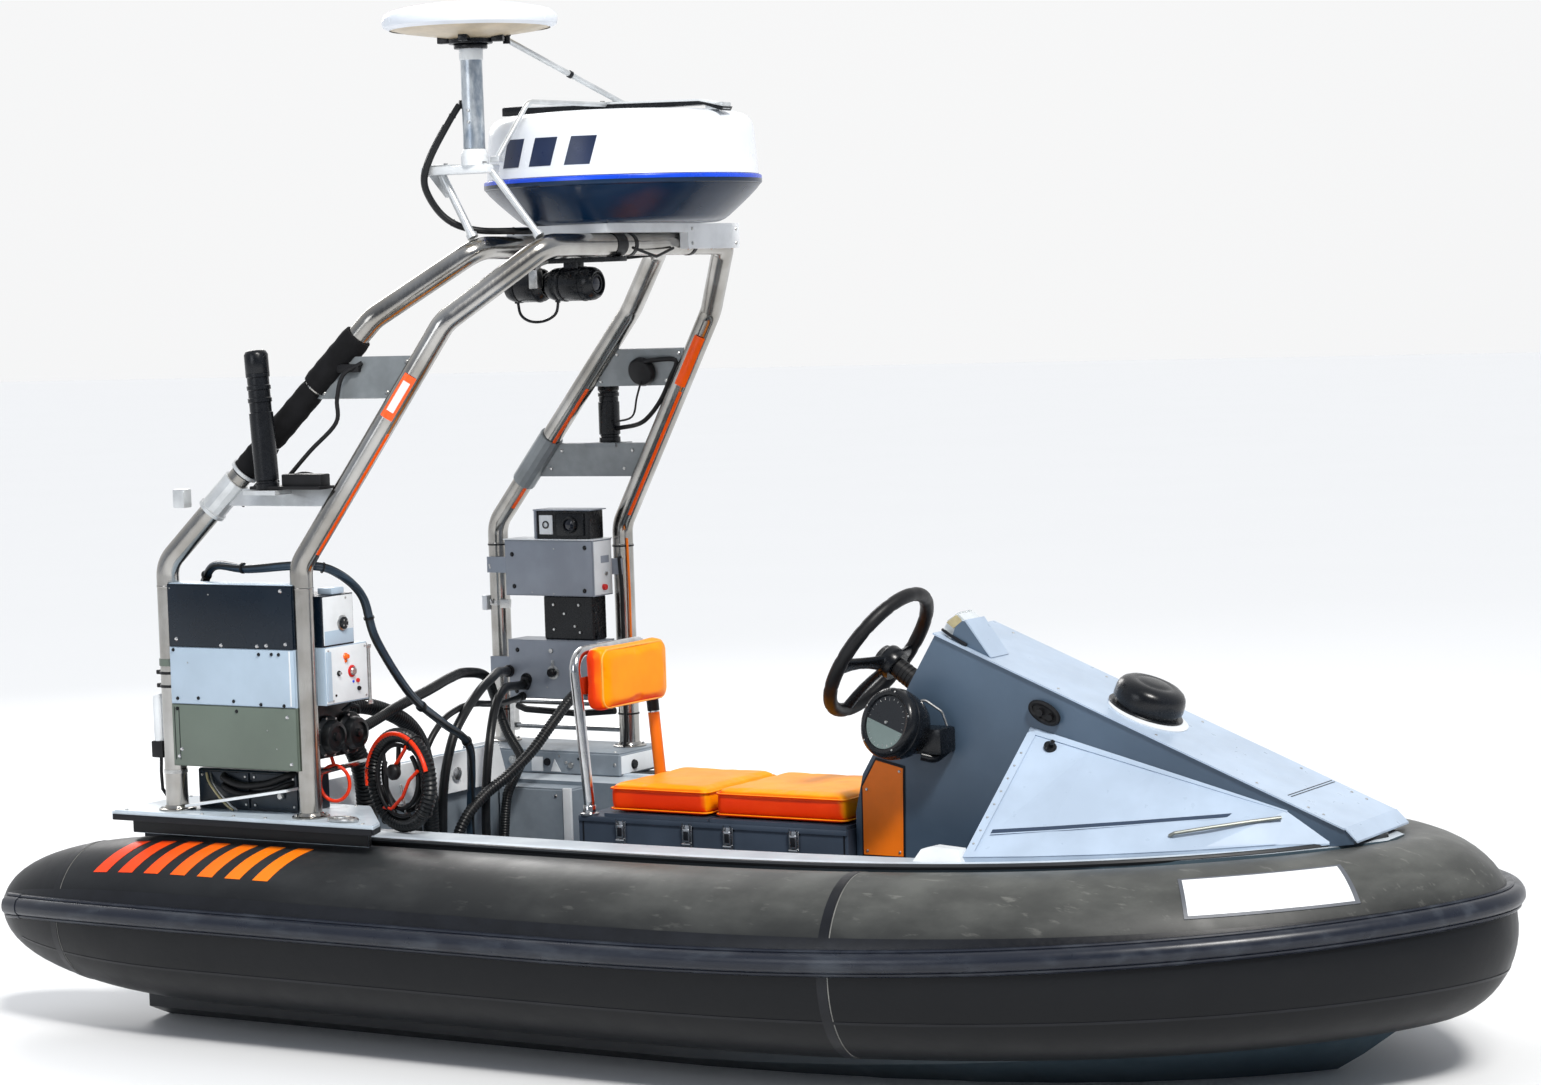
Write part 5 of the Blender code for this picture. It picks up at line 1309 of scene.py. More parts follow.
def between_legs(side, z, share, lift=0):
    """A point in the plane of the two slanting legs on one side, share going from the aft to the fore leg."""
    aft, fore = slant(AFT_HOOP, side, z), slant(FORE_HOOP, side, z)
    normal = (fore - aft).cross(slant(AFT_HOOP, side, z + 0.1) - aft).normalized()
    if normal.y * side < 0:
        normal = -normal
    return aft.lerp(fore, share) + normal * lift


PLATE_Z = {-1: (1.425, 1.515), 1: (1.41, 1.5)}
plate_spots = []
for side, (low, high) in PLATE_Z.items():
    face = between_legs(side, low, 0.5, 1) - between_legs(side, low, 0.5)
    for z in (low + 0.012, high - 0.012):
        for share in (0.16, 0.84):
            for way in (-1, 1):
                plate_spots.append((between_legs(side, z, share, way * 0.0032), face * way))
for share in (0.18, 0.82):
    for way in (-1, 1):
        face = between_legs(1, 1.22, 0.5, 1) - between_legs(1, 1.22, 0.5)
        plate_spots += [(between_legs(1, z, share, way * 0.0032), face * way) for z in (1.205, 1.25)]
heads("plate_screws", plate_spots, steel, 0.005, 0.0024)

round_device = between_legs(1, 1.447, 0.55, -0.004)
inboard = between_legs(1, 1.447, 0.55, -0.02) - round_device
drum([(0.034, 0), (0.036, 0.004), (0.036, 0.012), (0.03, 0.02), (0.014, 0.023)], round_device, inboard, 32)
device_lead = [round_device + inboard * 0.9 + Vector((0.008, 0, 0.024)),
    round_device + inboard * 1.2 + Vector((0.03, 0, 0.03))]
device_lead += [slant(FORE_HOOP, 1, z) + Vector((gap, -0.006, 0)) for z,
    gap in ((1.47, -0.04), (1.425, -0.034), (1.38, -0.034), (1.34, -0.046), (1.315, -0.07))]
tube(smooth_bend(device_lead + [Vector((-0.822, 0.632, 1.302))]), 0.0058, 12)
tube(smooth_bend([round_device + inboard * 0.9 + Vector((0, 0, -0.022)),
    round_device + inboard * 1.1 + Vector((-0.012, 0, -0.06)),
    round_device + inboard * 0.5 + Vector((-0.034, 0, -0.11)), Vector((-0.83, 0.62, 1.318))]), 0.0026, 8)
tube(smooth_bend([between_legs(-1, 1.5, 0.35, 0.008), between_legs(-1, 1.47, 0.3, 0.022),
    between_legs(-1, 1.42, 0.42, 0.02), between_legs(-1, 1.37, 0.55, 0.01),
    between_legs(-1, 1.31, 0.5, 0.012), between_legs(-1, 1.25, 0.48, 0.016)]), 0.0048, 12)
slab((-0.76, -0.7), (-0.56, -0.547), (1.482, 1.5), 0.003)
piece("plate_devices", rubber, smooth=40)

BEACONS = (             # side, x, foot z, top z, lean aft in degrees
    (-1, -0.905, 1.229, 1.536, 3.5),
    (1, -0.845, 1.268, 1.45, 0),
)
BEACON_Y, BEACON_R = 0.634, 0.0265
for side, x, low, top, lean in BEACONS:
    tilt = radians(lean)
    foot = (x, side * BEACON_Y, low + 0.0003 + BEACON_R * sin(tilt))
    tall = top - low - 0.0003
    profile = [(0, 0), (BEACON_R, 0), (BEACON_R, 0.012), (BEACON_R - 0.003, 0.014),
        (BEACON_R - 0.003, 0.018), (BEACON_R, 0.02), (BEACON_R, tall * 0.55),
        (BEACON_R - 0.0022, tall * 0.555)]
    for k in range(3):
        level = tall * (0.62 + 0.09 * k)
        profile += [(BEACON_R - 0.0022, level), (BEACON_R, level + 0.002), (BEACON_R, level + 0.01),
            (BEACON_R - 0.0022, level + 0.012)]
    profile += [(BEACON_R - 0.0022, tall - 0.055), (BEACON_R, tall - 0.052), (BEACON_R, tall - 0.01),
        (BEACON_R - 0.004, tall - 0.003), (BEACON_R - 0.01, tall), (0, tall)]
    lathe(profile, foot, (-sin(tilt), 0, cos(tilt)), 36)
    label = "starboard" if side < 0 else "port"
    piece("rod_antenna_" + label, plastic, smooth=38, hides=["beacon_" + label])

slab((-0.94, -0.745), (-0.655, -0.6), (1.2305, 1.238), 0.002)
slab((-0.862, -0.752), (-0.64, -0.606), (1.23, 1.264), 0.004)
tube(smooth_bend([(-0.87, -0.625, 1.245), (-0.835, -0.6, 1.262), (-0.8, -0.585, 1.25),
    (-0.78, -0.59, 1.215)]), 0.0055, 12)
tube(smooth_bend([(-0.905, -0.6, 1.245), (-0.94, -0.575, 1.262), (-0.985, -0.575, 1.235),
    (-1.02, -0.585, 1.19)]), 0.005, 12)
for z in (1.183, 1.268):
    at = slant(AFT_HOOP, -1, z)
    along = (slant(AFT_HOOP, -1, z + 0.1) - at).normalized()
    tube([at - along * 0.004, at + along * 0.004], 0.0335, 32, 1)
slab((-1.15, -1.118), (-0.668, -0.64), (1.19, 1.232), 0.003, 1)
piece("bracket_fittings", [rubber, bracket_metal], smooth=38)


# Camera pair: two sealed black housings in line on a bar under both crowns, each with a ringed lens at its
# fore end, held by saddles and wrapped bands.
lens_dark = painted("lens_dark", (0.006, 0.008, 0.016), 0.06, 0.2, 60, 0.00002, 20, 0.03)
CAMERA_Y, CAMERA_Z = -0.1, 1.66
bar_low = CROWN_Z - TUBE_R - 0.0123
slab((-0.56, -0.3), (CAMERA_Y - 0.015, CAMERA_Y + 0.015), (bar_low, bar_low + 0.0115), 0.002)
for aft, fore in ((-0.612, -0.508), (-0.5, -0.37)):
    long = fore - aft
    shell = [(0, 0), (0.024, 0), (0.033, 0.005), (0.037, 0.016), (0.038, 0.03), (0.037, 0.032),
        (0.038, 0.034), (0.038, long - 0.022), (0.037, long - 0.012), (0.033, long - 0.004), (0.028, long),
        (0.0255, long - 0.001), (0.025, long - 0.007), (0.0215, long - 0.007), (0.0205, long - 0.003),
        (0.0175, long - 0.003)]
    lathe(shell + [(0.017, long - 0.006), (0, long - 0.006)], (aft, CAMERA_Y, CAMERA_Z), (1, 0, 0), 40)
    lathe([(0.017, long - 0.0062), (0.015, long - 0.0045), (0.008, long - 0.0032), (0, long - 0.0028)],
        (aft, CAMERA_Y, CAMERA_Z), (1, 0, 0), 32, 1)
    middle = (aft + fore) / 2
    slab((max(middle - 0.02, -0.56), middle + 0.02), (CAMERA_Y - 0.013, CAMERA_Y + 0.013),
        (CAMERA_Z + 0.02, bar_low + 0.004), 0.003)
    for x in (middle - 0.026, middle + 0.026):
        lathe([(0.0375, 0), (0.0392, 0.0005), (0.0392, 0.0055), (0.0375, 0.006)], (x, CAMERA_Y, CAMERA_Z),
            (1, 0, 0), 40)
    tube([(aft + 0.02, CAMERA_Y, CAMERA_Z - 0.03), (aft + 0.018, CAMERA_Y, CAMERA_Z - 0.04)], 0.006, 12)
slab((-0.524, -0.5), (CAMERA_Y - 0.052, CAMERA_Y - 0.03), (1.652, 1.694), 0.003, 2)
tube([(-0.512, CAMERA_Y - 0.036, 1.693), (-0.505, CAMERA_Y - 0.03, 1.706),
    (-0.495, CAMERA_Y - 0.012, 1.712)], 0.004, 10, 2)
tube(smooth_bend([(-0.592, CAMERA_Y, 1.626), (-0.586, CAMERA_Y, 1.597), (-0.565, CAMERA_Y - 0.004, 1.582),
    (-0.537, CAMERA_Y - 0.006, 1.577), (-0.508, CAMERA_Y - 0.004, 1.582), (-0.487, CAMERA_Y, 1.597),
    (-0.48, CAMERA_Y, 1.626)]), 0.0034, 10)
piece("cameras", [plastic, lens_dark, steel], smooth=38, hides=["camera_pair"])

for crown_x in (hoop[2] for hoop in HOOPS.values()):
    for y, wide in ((CAMERA_Y, 0.02), (-0.045, 0.006), (0.205, 0.006)):
        tube([(crown_x, y - wide, CROWN_Z), (crown_x, y + wide, CROWN_Z)], TUBE_R + 0.0014, 36)
tube(rounded([(-0.3, -0.06, 1.737), (-0.29, 0.02, 1.716), (-0.296, 0.1, 1.735)], 0.02, 5), 0.0035, 8)
tube(rounded([(-0.48, -0.07, 1.735), (-0.45, 0.03, 1.712), (-0.36, 0.12, 1.722), (-0.34, 0.18, 1.738)],
    0.02, 5), 0.004, 8)
piece("crown_bands", rubber, smooth=45)


# Radome: a moulded white cap on a dark tray, closed with a bright blue band, on a white plate across both
# crowns; a strap with a white back holds it down.
gelcoat = Finish("gelcoat_white", (0.8, 0.83, 0.87), 0.24)
gelcoat_tone = gelcoat.cloud(0.3, 0.75, 3, 4)
gelcoat.feed("Base Color", gelcoat.mix(gelcoat_tone, (0.72, 0.77, 0.85), (0.86, 0.88, 0.9)))
gelcoat.uneven(0.14, 0.18, 26)
gelcoat.relief(0.00005, 0.5, 340)
gelcoat.relief(0.004, 0.15, 2.2, 2)
tray_navy = painted("tray_navy", (0.002, 0.016, 0.046), 0.24, 0.25, 320, 0.00006, 5, 0.08, specular=0.35)
band_blue = painted("band_blue", (0.004, 0.06, 0.62), 0.26, 0.12, 320, 0.00006, 8, 0.08)
band_navy = painted("band_navy", (0.006, 0.016, 0.055), 0.3, 0.15, 320, 0.00005, 8, 0.08)
RADOME_LOW, RADOME_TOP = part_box("radome")[0][2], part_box("radome")[1][2]
RADOME_AT = (-0.36, 0, RADOME_LOW)
tray = [(0, 0), (0.21, 0), (0.216, 0.001), (0.228, 0.006), (0.238, 0.013), (0.262, 0.034), (0.284, 0.054),
    (0.302, 0.072), (0.31, 0.082)]
rim = [(0.3105, 0.0825), (0.3135, 0.085), (0.314, 0.088), (0.314, 0.0935)]
band = [(0.314, 0.0936), (0.314, 0.099), (0.313, 0.102), (0.3085, 0.1035)]
cap = [(0.3075, 0.1045), (0.3062, 0.11), (0.3045, 0.14), (0.3025, 0.17), (0.3, 0.2), (0.2975, 0.214),
    (0.293, 0.226), (0.286, 0.2345), (0.276, 0.24), (0.255, 0.2465), (0.2, 0.251), (0.1, 0.2545),
    (0, 0.255)]
lathe(tray + [(0, 0.0825)], RADOME_AT, sides=96)
lathe([(0, 0.0826)] + rim + [(0, 0.0935)], RADOME_AT, sides=96)
lathe([(0, 0.0936)] + band + [(0, 0.1036)], RADOME_AT, sides=96, paint=1)
lathe([(0, 0.1037)] + cap, RADOME_AT, sides=96, paint=2)
piece("radome_shell", [tray_navy, band_blue, gelcoat], smooth=32, hides=["radome"])


def round_radome(angle, level, reach=0):
    """A point on the cap's side wall; the angle runs from ahead toward port."""
    wall = [(0.3062, 0.11), (0.3045, 0.14), (0.3025, 0.17), (0.3, 0.2)]
    i = max(k for k in range(3) if level >= wall[k][1] - 1e-6)
    share = (level - wall[i][1]) / (wall[i + 1][1] - wall[i][1])
    radius = wall[i][0] + (wall[i + 1][0] - wall[i][0]) * share + reach
    return Vector((RADOME_AT[0] + radius * cos(angle), radius * sin(angle), RADOME_LOW + level))


for start, count in ((radians(-109), 3), (radians(71), 3)):
    for k in range(count):
        centre_angle = start + k * radians(17.5)
        rows = []
        for step in range(7):
            level = 0.128 + 0.062 * step / 6
            lean = radians(3.4) * (step / 6 - 0.5)
            edges = [centre_angle + lean + radians(5.6) * (j / 5 - 0.5) * 2 for j in range(6)]
            rows.append([round_radome(a, level, 0.0008) for a in edges]
                + [round_radome(a, level, -0.0006) for a in edges[::-1]])
        skin(rows)
piece("radome_marks", band_navy, smooth=30)

coat_node("radome_plate", painted("mount_white", (0.74, 0.76, 0.78), 0.34, 0.08, 260, 0.0001, 12))
heads("plate_bolts", [((x, y, 1.733 - 0.0003), (0, 0, -1)) for x in (-0.287,) for y in (0.15, 0.25, 0.34)]
    + [((-0.275, y, z), (1, 0, 0)) for y in (0.15, 0.34) for z in (1.745, 1.778)], steel)

top = RADOME_TOP
under = [(-0.655, top + 0.002), (-0.36, top + 0.0003), (-0.11, top + 0.0003), (-0.065, top - 0.015)]
over = [(-0.06, top - 0.006), (-0.125, top + 0.0085), (-0.36, top + 0.014), (-0.655, top + 0.019)]
extruded([(x, -0.045, z) for x, z in under + over], (0, 0.04, 0))
back = [(-0.065, top - 0.004), (-0.125, top + 0.0088), (-0.36, top + 0.0143), (-0.6, top + 0.0185)]
extruded([(x, -0.043, z) for x, z in back] + [(x, -0.043, z + 0.0045) for x, z in back[::-1]],
    (0, 0.036, 0), 1)
slab((-0.655, -0.585), (-0.047, -0.003), (top + 0.0035, top + 0.0225), 0.005)
slab((-0.108, -0.062), (-0.043, -0.007), (top - 0.012, top + 0.004), 0.003, 2)
STRUT_TOP, STRUT_FOOT = (-0.452, -0.305, 2.199), (-0.342, -0.01, 2.06)
strut = rounded([(-0.448, -0.363, 1.938), (-0.41, -0.29, 2.062), (-0.37, -0.03, 2.06)], 0.03, 10)
tube(strut, 0.0055, 16, 2)
tube([STRUT_TOP, STRUT_FOOT], 0.0065, 16, 2)
middle = Vector(STRUT_TOP).lerp(Vector(STRUT_FOOT), 0.52)
tube([middle, middle.lerp(Vector(STRUT_FOOT), 0.05)], 0.0085, 16)
tube([(-0.452, -0.305, 2.19), (-0.452, -0.305, 2.2062)], 0.008, 20)
slab((-0.462, -0.436), (-0.372, -0.352), (1.9303, 1.944), 0.003, 2)
slab((-0.398, -0.352), (-0.04, -0.01), (2.054, 2.066), 0.003, 2)
for x in (-0.392, -0.358):
    lathe([(0, 0), (0.006, 0), (0.0055, 0.004), (0, 0.0045)], (x, -0.025, 2.0655), sides=12, paint=3)
piece("radome_strap", [plastic, white_paint, bracket_metal, steel], smooth=38,
    hides=["radome_brace"])


# Satellite antenna: a shallow white disc with a cream underside, bolted through a black flange to an
# aluminium post that stands on a flat arm and two thin legs.
post_metal = Finish("post_metal", (0.42, 0.46, 0.5), 0.32, 0.7)
post_tone = post_metal.cloud(0.35, 0.68, 40, 5, (1, 1, 0.5))
post_metal.feed("Base Color", post_metal.mix(post_tone, (0.26, 0.31, 0.37), (0.62, 0.66, 0.69)))
post_metal.uneven(0.25, 0.22, 90)
post_metal.relief(0.00008, 0.5, 160)
cream = painted("cream_plastic", (0.52, 0.43, 0.3), 0.38, 0.12, 260, 0.00008, 14)
MAST_X, MAST_Y = -0.506, -0.365
drum([(0.024, 1.926), (0.024, 2.172)], (MAST_X, MAST_Y, 0), sides=40)
drum([(0.0305, 1.9255), (0.0305, 1.944), (0.0295, 1.951), (0.027, 1.957), (0.024, 1.961), (0.024, 1.963)],
    (MAST_X, MAST_Y, 0), sides=40, paint=1)
drum([(0.0255, 2.155), (0.0262, 2.158), (0.0262, 2.178), (0.0255, 2.18)], (MAST_X, MAST_Y, 0), sides=40,
    paint=1)
drum([(0.036, 2.1795), (0.037, 2.182), (0.037, 2.188), (0.036, 2.19)], (MAST_X, MAST_Y, 0), sides=40,
    paint=2)
slab((-0.637, -0.457), (MAST_Y - 0.025, MAST_Y + 0.025), (1.908, 1.9265), 0.004, 1)
slab((-0.632, -0.56), (MAST_Y - 0.02, MAST_Y + 0.02), (1.9262, 1.93), 0.0015, 3)
extruded([(x, MAST_Y - 0.006, z) for x, z in ((-0.63, 1.91), (-0.59, 1.91), (-0.572, 1.862),
    (-0.585, 1.858))], (0, 0.012, 0), 3)
ARM_LEGS = ((Vector((-0.598, MAST_Y, 1.912)), Vector((MAST_X, MAST_Y, CROWN_Z)), 0.009),
    (Vector((-0.466, MAST_Y, 1.916)), Vector((-0.324, MAST_Y, CROWN_Z)), 0.008))
for head, crown, radius in ARM_LEGS:
    along = (crown - head).normalized()
    end = crown - along * (TUBE_R + 0.0006)
    tube([head, end], radius, 20, 3)
    tube([end - along * 0.01, end], radius + 0.0035, 20, 3)
for x in (-0.622, -0.575, -0.47):
    lathe([(0, 0), (0.0055, 0), (0.005, 0.0035), (0, 0.004)], (x, MAST_Y - 0.014, 1.9295), sides=6, paint=4)
lathe([(0, 0), (0.004, 0), (0.0035, 0.003), (0, 0.0035)], (MAST_X + 0.004, MAST_Y - 0.0238, 2.045),
    (0.1, -1, 0), 10, 4)
lathe([(0, 0), (0.004, 0), (0.0035, 0.003), (0, 0.0035)], (MAST_X + 0.004, MAST_Y - 0.0238, 2.02),
    (0.1, -1, 0), 10, 4)
piece("antenna_post", [post_metal, white_paint, plastic, bracket_metal, steel], smooth=36,
    hides=["antenna_mast"])

DISC_AT = (MAST_X, MAST_Y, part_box("antenna_disc")[0][2])
lathe([(0, 0), (0.04, 0), (0.043, 0.002), (0.045, 0.011), (0.05, 0.0135), (0.1, 0.0205), (0.15, 0.0278),
    (0.176, 0.0345), (0.186, 0.039)], DISC_AT, sides=80, paint=1)
lathe([(0.186, 0.0388), (0.1905, 0.042), (0.192, 0.046), (0.192, 0.054), (0.1905, 0.059), (0.186, 0.065),
    (0.178, 0.0705), (0.16, 0.0755), (0.13, 0.0815), (0.098, 0.0862), (0.05, 0.089), (0, 0.0899)], DISC_AT,
    sides=80)
lathe([(0.176, 0.032), (0.1895, 0.0385), (0.191, 0.042), (0.186, 0.043)], DISC_AT, sides=80)
drum([(0.0475, 0), (0.049, 0.002), (0.049, 0.0095), (0.047, 0.0105)], DISC_AT, sides=48, paint=2)
for angle in (0.35, 1.9, 3.4, 5.1):
    tab = Vector(DISC_AT) + Vector((cos(angle), sin(angle), 0)) * 0.062 + Vector((0, 0, 0.006))
    slab((tab.x - 0.013, tab.x + 0.013), (tab.y - 0.01, tab.y + 0.01), (tab.z - 0.003, tab.z + 0.012),
        0.002, 2, Matrix.Rotation(angle, 3, "Z"))
tube([(-0.452, -0.305, 2.2065), (-0.452, -0.305, 2.211)], 0.01, 20, 2)
piece("antenna_shell", [gelcoat, cream, plastic], smooth=32, hides=["antenna_disc"])


# Equipment racks: sheet-metal housings between the legs. On the starboard side their cover panels are bolted
# across the outside of both legs; on the port side the boxes hang from straps.
panel_navy = painted("panel_navy", (0.004, 0.01, 0.019), 0.28, 0.2, 420, 0.00005, 4, 0.12, specular=0.3)
panel_pale = painted("panel_pale", (0.4, 0.5, 0.6), 0.38, 0.06, 420, 0.00005, 6)
panel_olive = painted("panel_olive", (0.115, 0.145, 0.118), 0.44, 0.08, 420, 0.00005, 6)
rack_grey = painted("rack_grey", (0.26, 0.29, 0.34), 0.4, 0.1, 300, 0.00006, 8)
for node, finish in (("starboard_rack_upper", panel_navy), ("starboard_rack_middle", panel_pale),
                     ("starboard_rack_lower", panel_olive), ("port_rack_upper", rack_grey),
                     ("port_rack_lower", rack_grey), ("port_rack_relay", plastic),
                     ("port_rack_camera", plastic), ("port_rails", steel), ("coil_rod", chrome)):
    coat_node(node, finish)

PANEL_Y = -0.668
for low, high, paint in ((0.8815, 1.0185, 0), (0.753, 0.8785, 1), (0.6135, 0.75, 2)):
    slab((-1.1755, -0.8235), (PANEL_Y - 0.0022, PANEL_Y - 0.0002), (low, high), 0.0018, paint)
for x in (-1.169, -1.156):
    slab((x - 0.0008, x + 0.0008), (PANEL_Y - 0.0028, PANEL_Y - 0.002), (0.626, 0.745), 0, 3)
slab((-0.837, -0.833), (PANEL_Y - 0.003, PANEL_Y - 0.002), (0.755, 0.877), 0.0004, 4)
slab((-1.174, -0.825), (-0.666, -0.6125), (1.0201, 1.0222), 0.0006, 1)
piece("panel_skins", [panel_navy, panel_pale, panel_olive, dark_seam, white_paint], smooth=30)

FACE = (0, -1, 0)
bright = [(-0.854, 1.009), (-1.155, 0.8975), (-1.027, 0.886), (-0.925, 0.886), (-0.899, 0.888),
    (-0.845, 0.892), (-0.848, 0.731), (-0.841, 0.627), (-1.16, 0.634), (-1.152, 0.65)]
heads("panel_screws", [((x, PANEL_Y - 0.0022, z), FACE) for x, z in bright], chrome, 0.0048,
    0.0024)
small = [(-1.058, 0.998), (-1.169, 1.011), (-0.905, 0.7), (-1.125, 0.845), (-0.88, 0.66)]
heads("panel_pips", [((x, PANEL_Y - 0.0022, z), FACE) for x, z in small], steel, 0.0018,
    0.0012)
dark = [(-1.165, 0.873), (-0.921, 0.868), (-0.885, 0.869), (-0.865, 0.869), (-1.098, 0.766), (-0.92, 0.757),
    (-0.855, 0.756), (-1.158, 0.764), (-0.997, 0.762), (-1.161, 0.741), (-0.99, 0.74)]
heads("panel_studs", [((x, PANEL_Y - 0.0022, z), FACE) for x, z in dark], plastic, 0.0044,
    0.003)

# Face plates at the fore ends of the starboard cases, with their connectors, lamps and knobs.
lamp_orange = painted("lamp_orange", (0.95, 0.13, 0.003), 0.18, 0.1, 200, 0.00004, 30, 0.05)
knob_red = painted("knob_red", (0.62, 0.012, 0.01), 0.28, 0.1, 300, 0.00004, 30)
slab((-0.7885, -0.7855), (-0.607, -0.503), (0.8835, 0.9905), 0.0015)
slab((-0.7862, -0.785), (-0.606, -0.504), (0.884, 0.915), 0.0005, 5)
slab((-0.7855, -0.7825), (-0.608, -0.463), (0.7545, 0.8775), 0.0015)
slab((-0.785, -0.7795), (-0.608, -0.592), (0.76, 0.87), 0.002, 5)
slab((-0.83, -0.79), (-0.57, -0.525), (0.9935, 1.008), 0.003, 5)


def round_fitting(x, y, z, radius, depth, paint, cap=None, cap_paint=0):
    """A turned fitting on a fore face, with a cap of another paint."""
    drum([(radius, 0), (radius, depth * 0.7), (radius * 0.88, depth)], (x, y, z), (1, 0, 0), 24, paint)
    if cap:
        drum([(cap, 0), (cap, 0.004), (cap * 0.8, 0.006)], (x + depth - 0.0005, y, z), (1, 0, 0), 20,
            cap_paint)


round_fitting(-0.7856, -0.543, 0.929, 0.0175, 0.004, 3, 0.0135, 1)
for angle in (0.6, 2.2, 3.8, 5.4):
    drum([(0.0024, 0), (0.002, 0.002)], (-0.777, -0.543 + 0.008 * cos(angle), 0.929 + 0.008 * sin(angle)),
        (1, 0, 0), 8, 3)
round_fitting(-0.7826, -0.54, 0.8545, 0.0075, 0.004, 2, 0.0055, 2)
round_fitting(-0.7826, -0.54, 0.844, 0.0035, 0.003, 2)
round_fitting(-0.7826, -0.519, 0.8196, 0.0135, 0.003, 4, 0.0095, 3)
round_fitting(-0.7826, -0.566, 0.819, 0.0062, 0.003, 1, 0.003, 3)
round_fitting(-0.7826, -0.5, 0.797, 0.005, 0.004, 4)
round_fitting(-0.7826, -0.497, 0.779, 0.005, 0.005, 1)
round_fitting(-0.7826, -0.578, 0.771, 0.0028, 0.002, 1)
round_fitting(-0.7826, -0.515, 0.796, 0.003, 0.002, 6)
for y, z in ((-0.6, 0.871), (-0.47, 0.871), (-0.47, 0.761), (-0.588, 0.76), (-0.528, 0.984)):
    round_fitting(-0.7826 if z < 0.88 else -0.7856, y, z, 0.0026, 0.0016, 3)
slab((-0.801, -0.787), (-0.4598, -0.454), (0.755, 0.877), 0.002, 3)
tube([(-0.79, -0.448, 0.738), (-0.79, -0.448, 0.872)], 0.0045, 12, 3)
for z in (0.742, 0.868):
    slab((-0.7955, -0.7845), (-0.4598, -0.443), (z - 0.004, z + 0.004), 0.001, 3)
piece("face_plates", [white_paint, plastic, lamp_orange, steel, knob_red, panel_pale, band_blue],
    smooth=34)

# Fittings on the starboard aft leg: strap, cable ties, a small white lamp on a black foot.
leg_at = (-1.2, -LEG_Y)
for z, wide, reach, paint in ((0.842, 0.008, 0.002, 0), (0.818, 0.003, 0.0022, 1),
        (0.788, 0.003, 0.0022, 1), (0.595, 0.004, 0.0015, 2)):
    tube([(*leg_at, z - wide), (*leg_at, z + wide)], TUBE_R + reach, 36, paint)
for z in (0.818, 0.788):
    slab((-1.24, -1.224), (-0.645, -0.629), (z - 0.005, z + 0.005), 0.002, 1)
lathe([(0, 0.662), (0.0135, 0.662), (0.014, 0.664), (0.014, 0.756), (0.0125, 0.764), (0.008, 0.768),
    (0, 0.769)], (-1.2415, -0.637, 0), sides=28, paint=3)
slab((-1.258, -1.225), (-0.652, -0.622), (0.624, 0.6625), 0.004, 1)
tube([(-1.242, -0.637, 0.626), (-1.245, -0.636, 0.59), (-1.25, -0.628, 0.55), (-1.246, -0.6, 0.512)], 0.004,
    10, 1)
piece("aft_leg_fittings", [panel_olive, rubber, steel, white_paint], smooth=36)

# Pump unit: a black casting with two drums and bolted end rings.
cast_black = painted("cast_black", (0.006, 0.007, 0.008), 0.34, 0.35, 180, 0.0004, 22, specular=0.35)
slab((-0.955, -0.84), (-0.6, -0.4555), (0.625, 0.7505), 0.006)
for y in (-0.55, -0.47):
    lathe([(0, 0), (0.0425, 0), (0.0425, 0.04), (0.047, 0.042), (0.047, 0.056), (0.043, 0.06),
        (0.038, 0.062), (0.036, 0.074), (0.033, 0.08), (0.025, 0.082), (0.024, 0.076), (0.01, 0.076),
        (0.009, 0.083), (0, 0.084)], (-0.885, y, 0.675), (1, 0, 0), 40)
    for k in range(8):
        angle = 2 * pi * k / 8 + 0.3
        drum([(0.0028, 0), (0.0024, 0.003)], (-0.8265, y + 0.0435 * cos(angle),
            0.675 + 0.0435 * sin(angle)), (1, 0, 0), 8, 1)
slab((-0.905, -0.845), (-0.525, -0.495), (0.736, 0.7502), 0.003, 1)
tube([(-0.82, -0.51, 0.728), (-0.805, -0.5, 0.742), (-0.8, -0.48, 0.735), (-0.812, -0.462, 0.72)], 0.005,
    10)
piece("pump_casting", [cast_black, steel], smooth=36, hides=["pump_unit"])

# Port boxes: faces turned inboard and forward, with knobs, a sight glass, a small window and cable glands.
# The fore faces are skinned white over the grey boxes: painted light on the faces that turn to the key lamp.
PORT_FACE = 0.5232      # the inboard faces of the port boxes
for low, high in ((0.633, 0.78), (0.891, 1.03)):
    slab((-1.098, -0.837), (PORT_FACE, 0.5252), (low + 0.002, high - 0.002), 0.0015)
    slab((-0.8352, -0.833), (0.527, 0.605), (low + 0.003, high - 0.003), 0.0015, 1)
slab((-1.103, -0.832), (0.5215, 0.609), (1.03, 1.0325), 0.001, 1)
inboard = (0, -1, 0)
drum([(0.0165, 0), (0.0165, 0.002), (0.015, 0.003)], (-1.047, PORT_FACE, 0.68), inboard, 28, 2)
drum([(0.0175, 0), (0.0175, 0.0015), (0.014, 0.0025)], (-0.965, PORT_FACE, 0.7), inboard, 28, 3)
slab((-0.969, -0.961), (0.5195, PORT_FACE), (0.7, 0.731), 0.002, 3)
drum([(0.0115, 0), (0.0105, 0.012), (0.0085, 0.014)], (-0.965, 0.5212, 0.7), inboard, 24, 2)
drum([(0.006, 0), (0.0055, 0.004)], (-0.969, PORT_FACE, 0.754), inboard, 16, 3)
slab((-1.016, -0.844), (0.531, 0.604), (1.103, 1.1062), 0.001)
slab((-1.013, -1.006), (0.53, 0.603), (1.033, 1.105), 0.002)
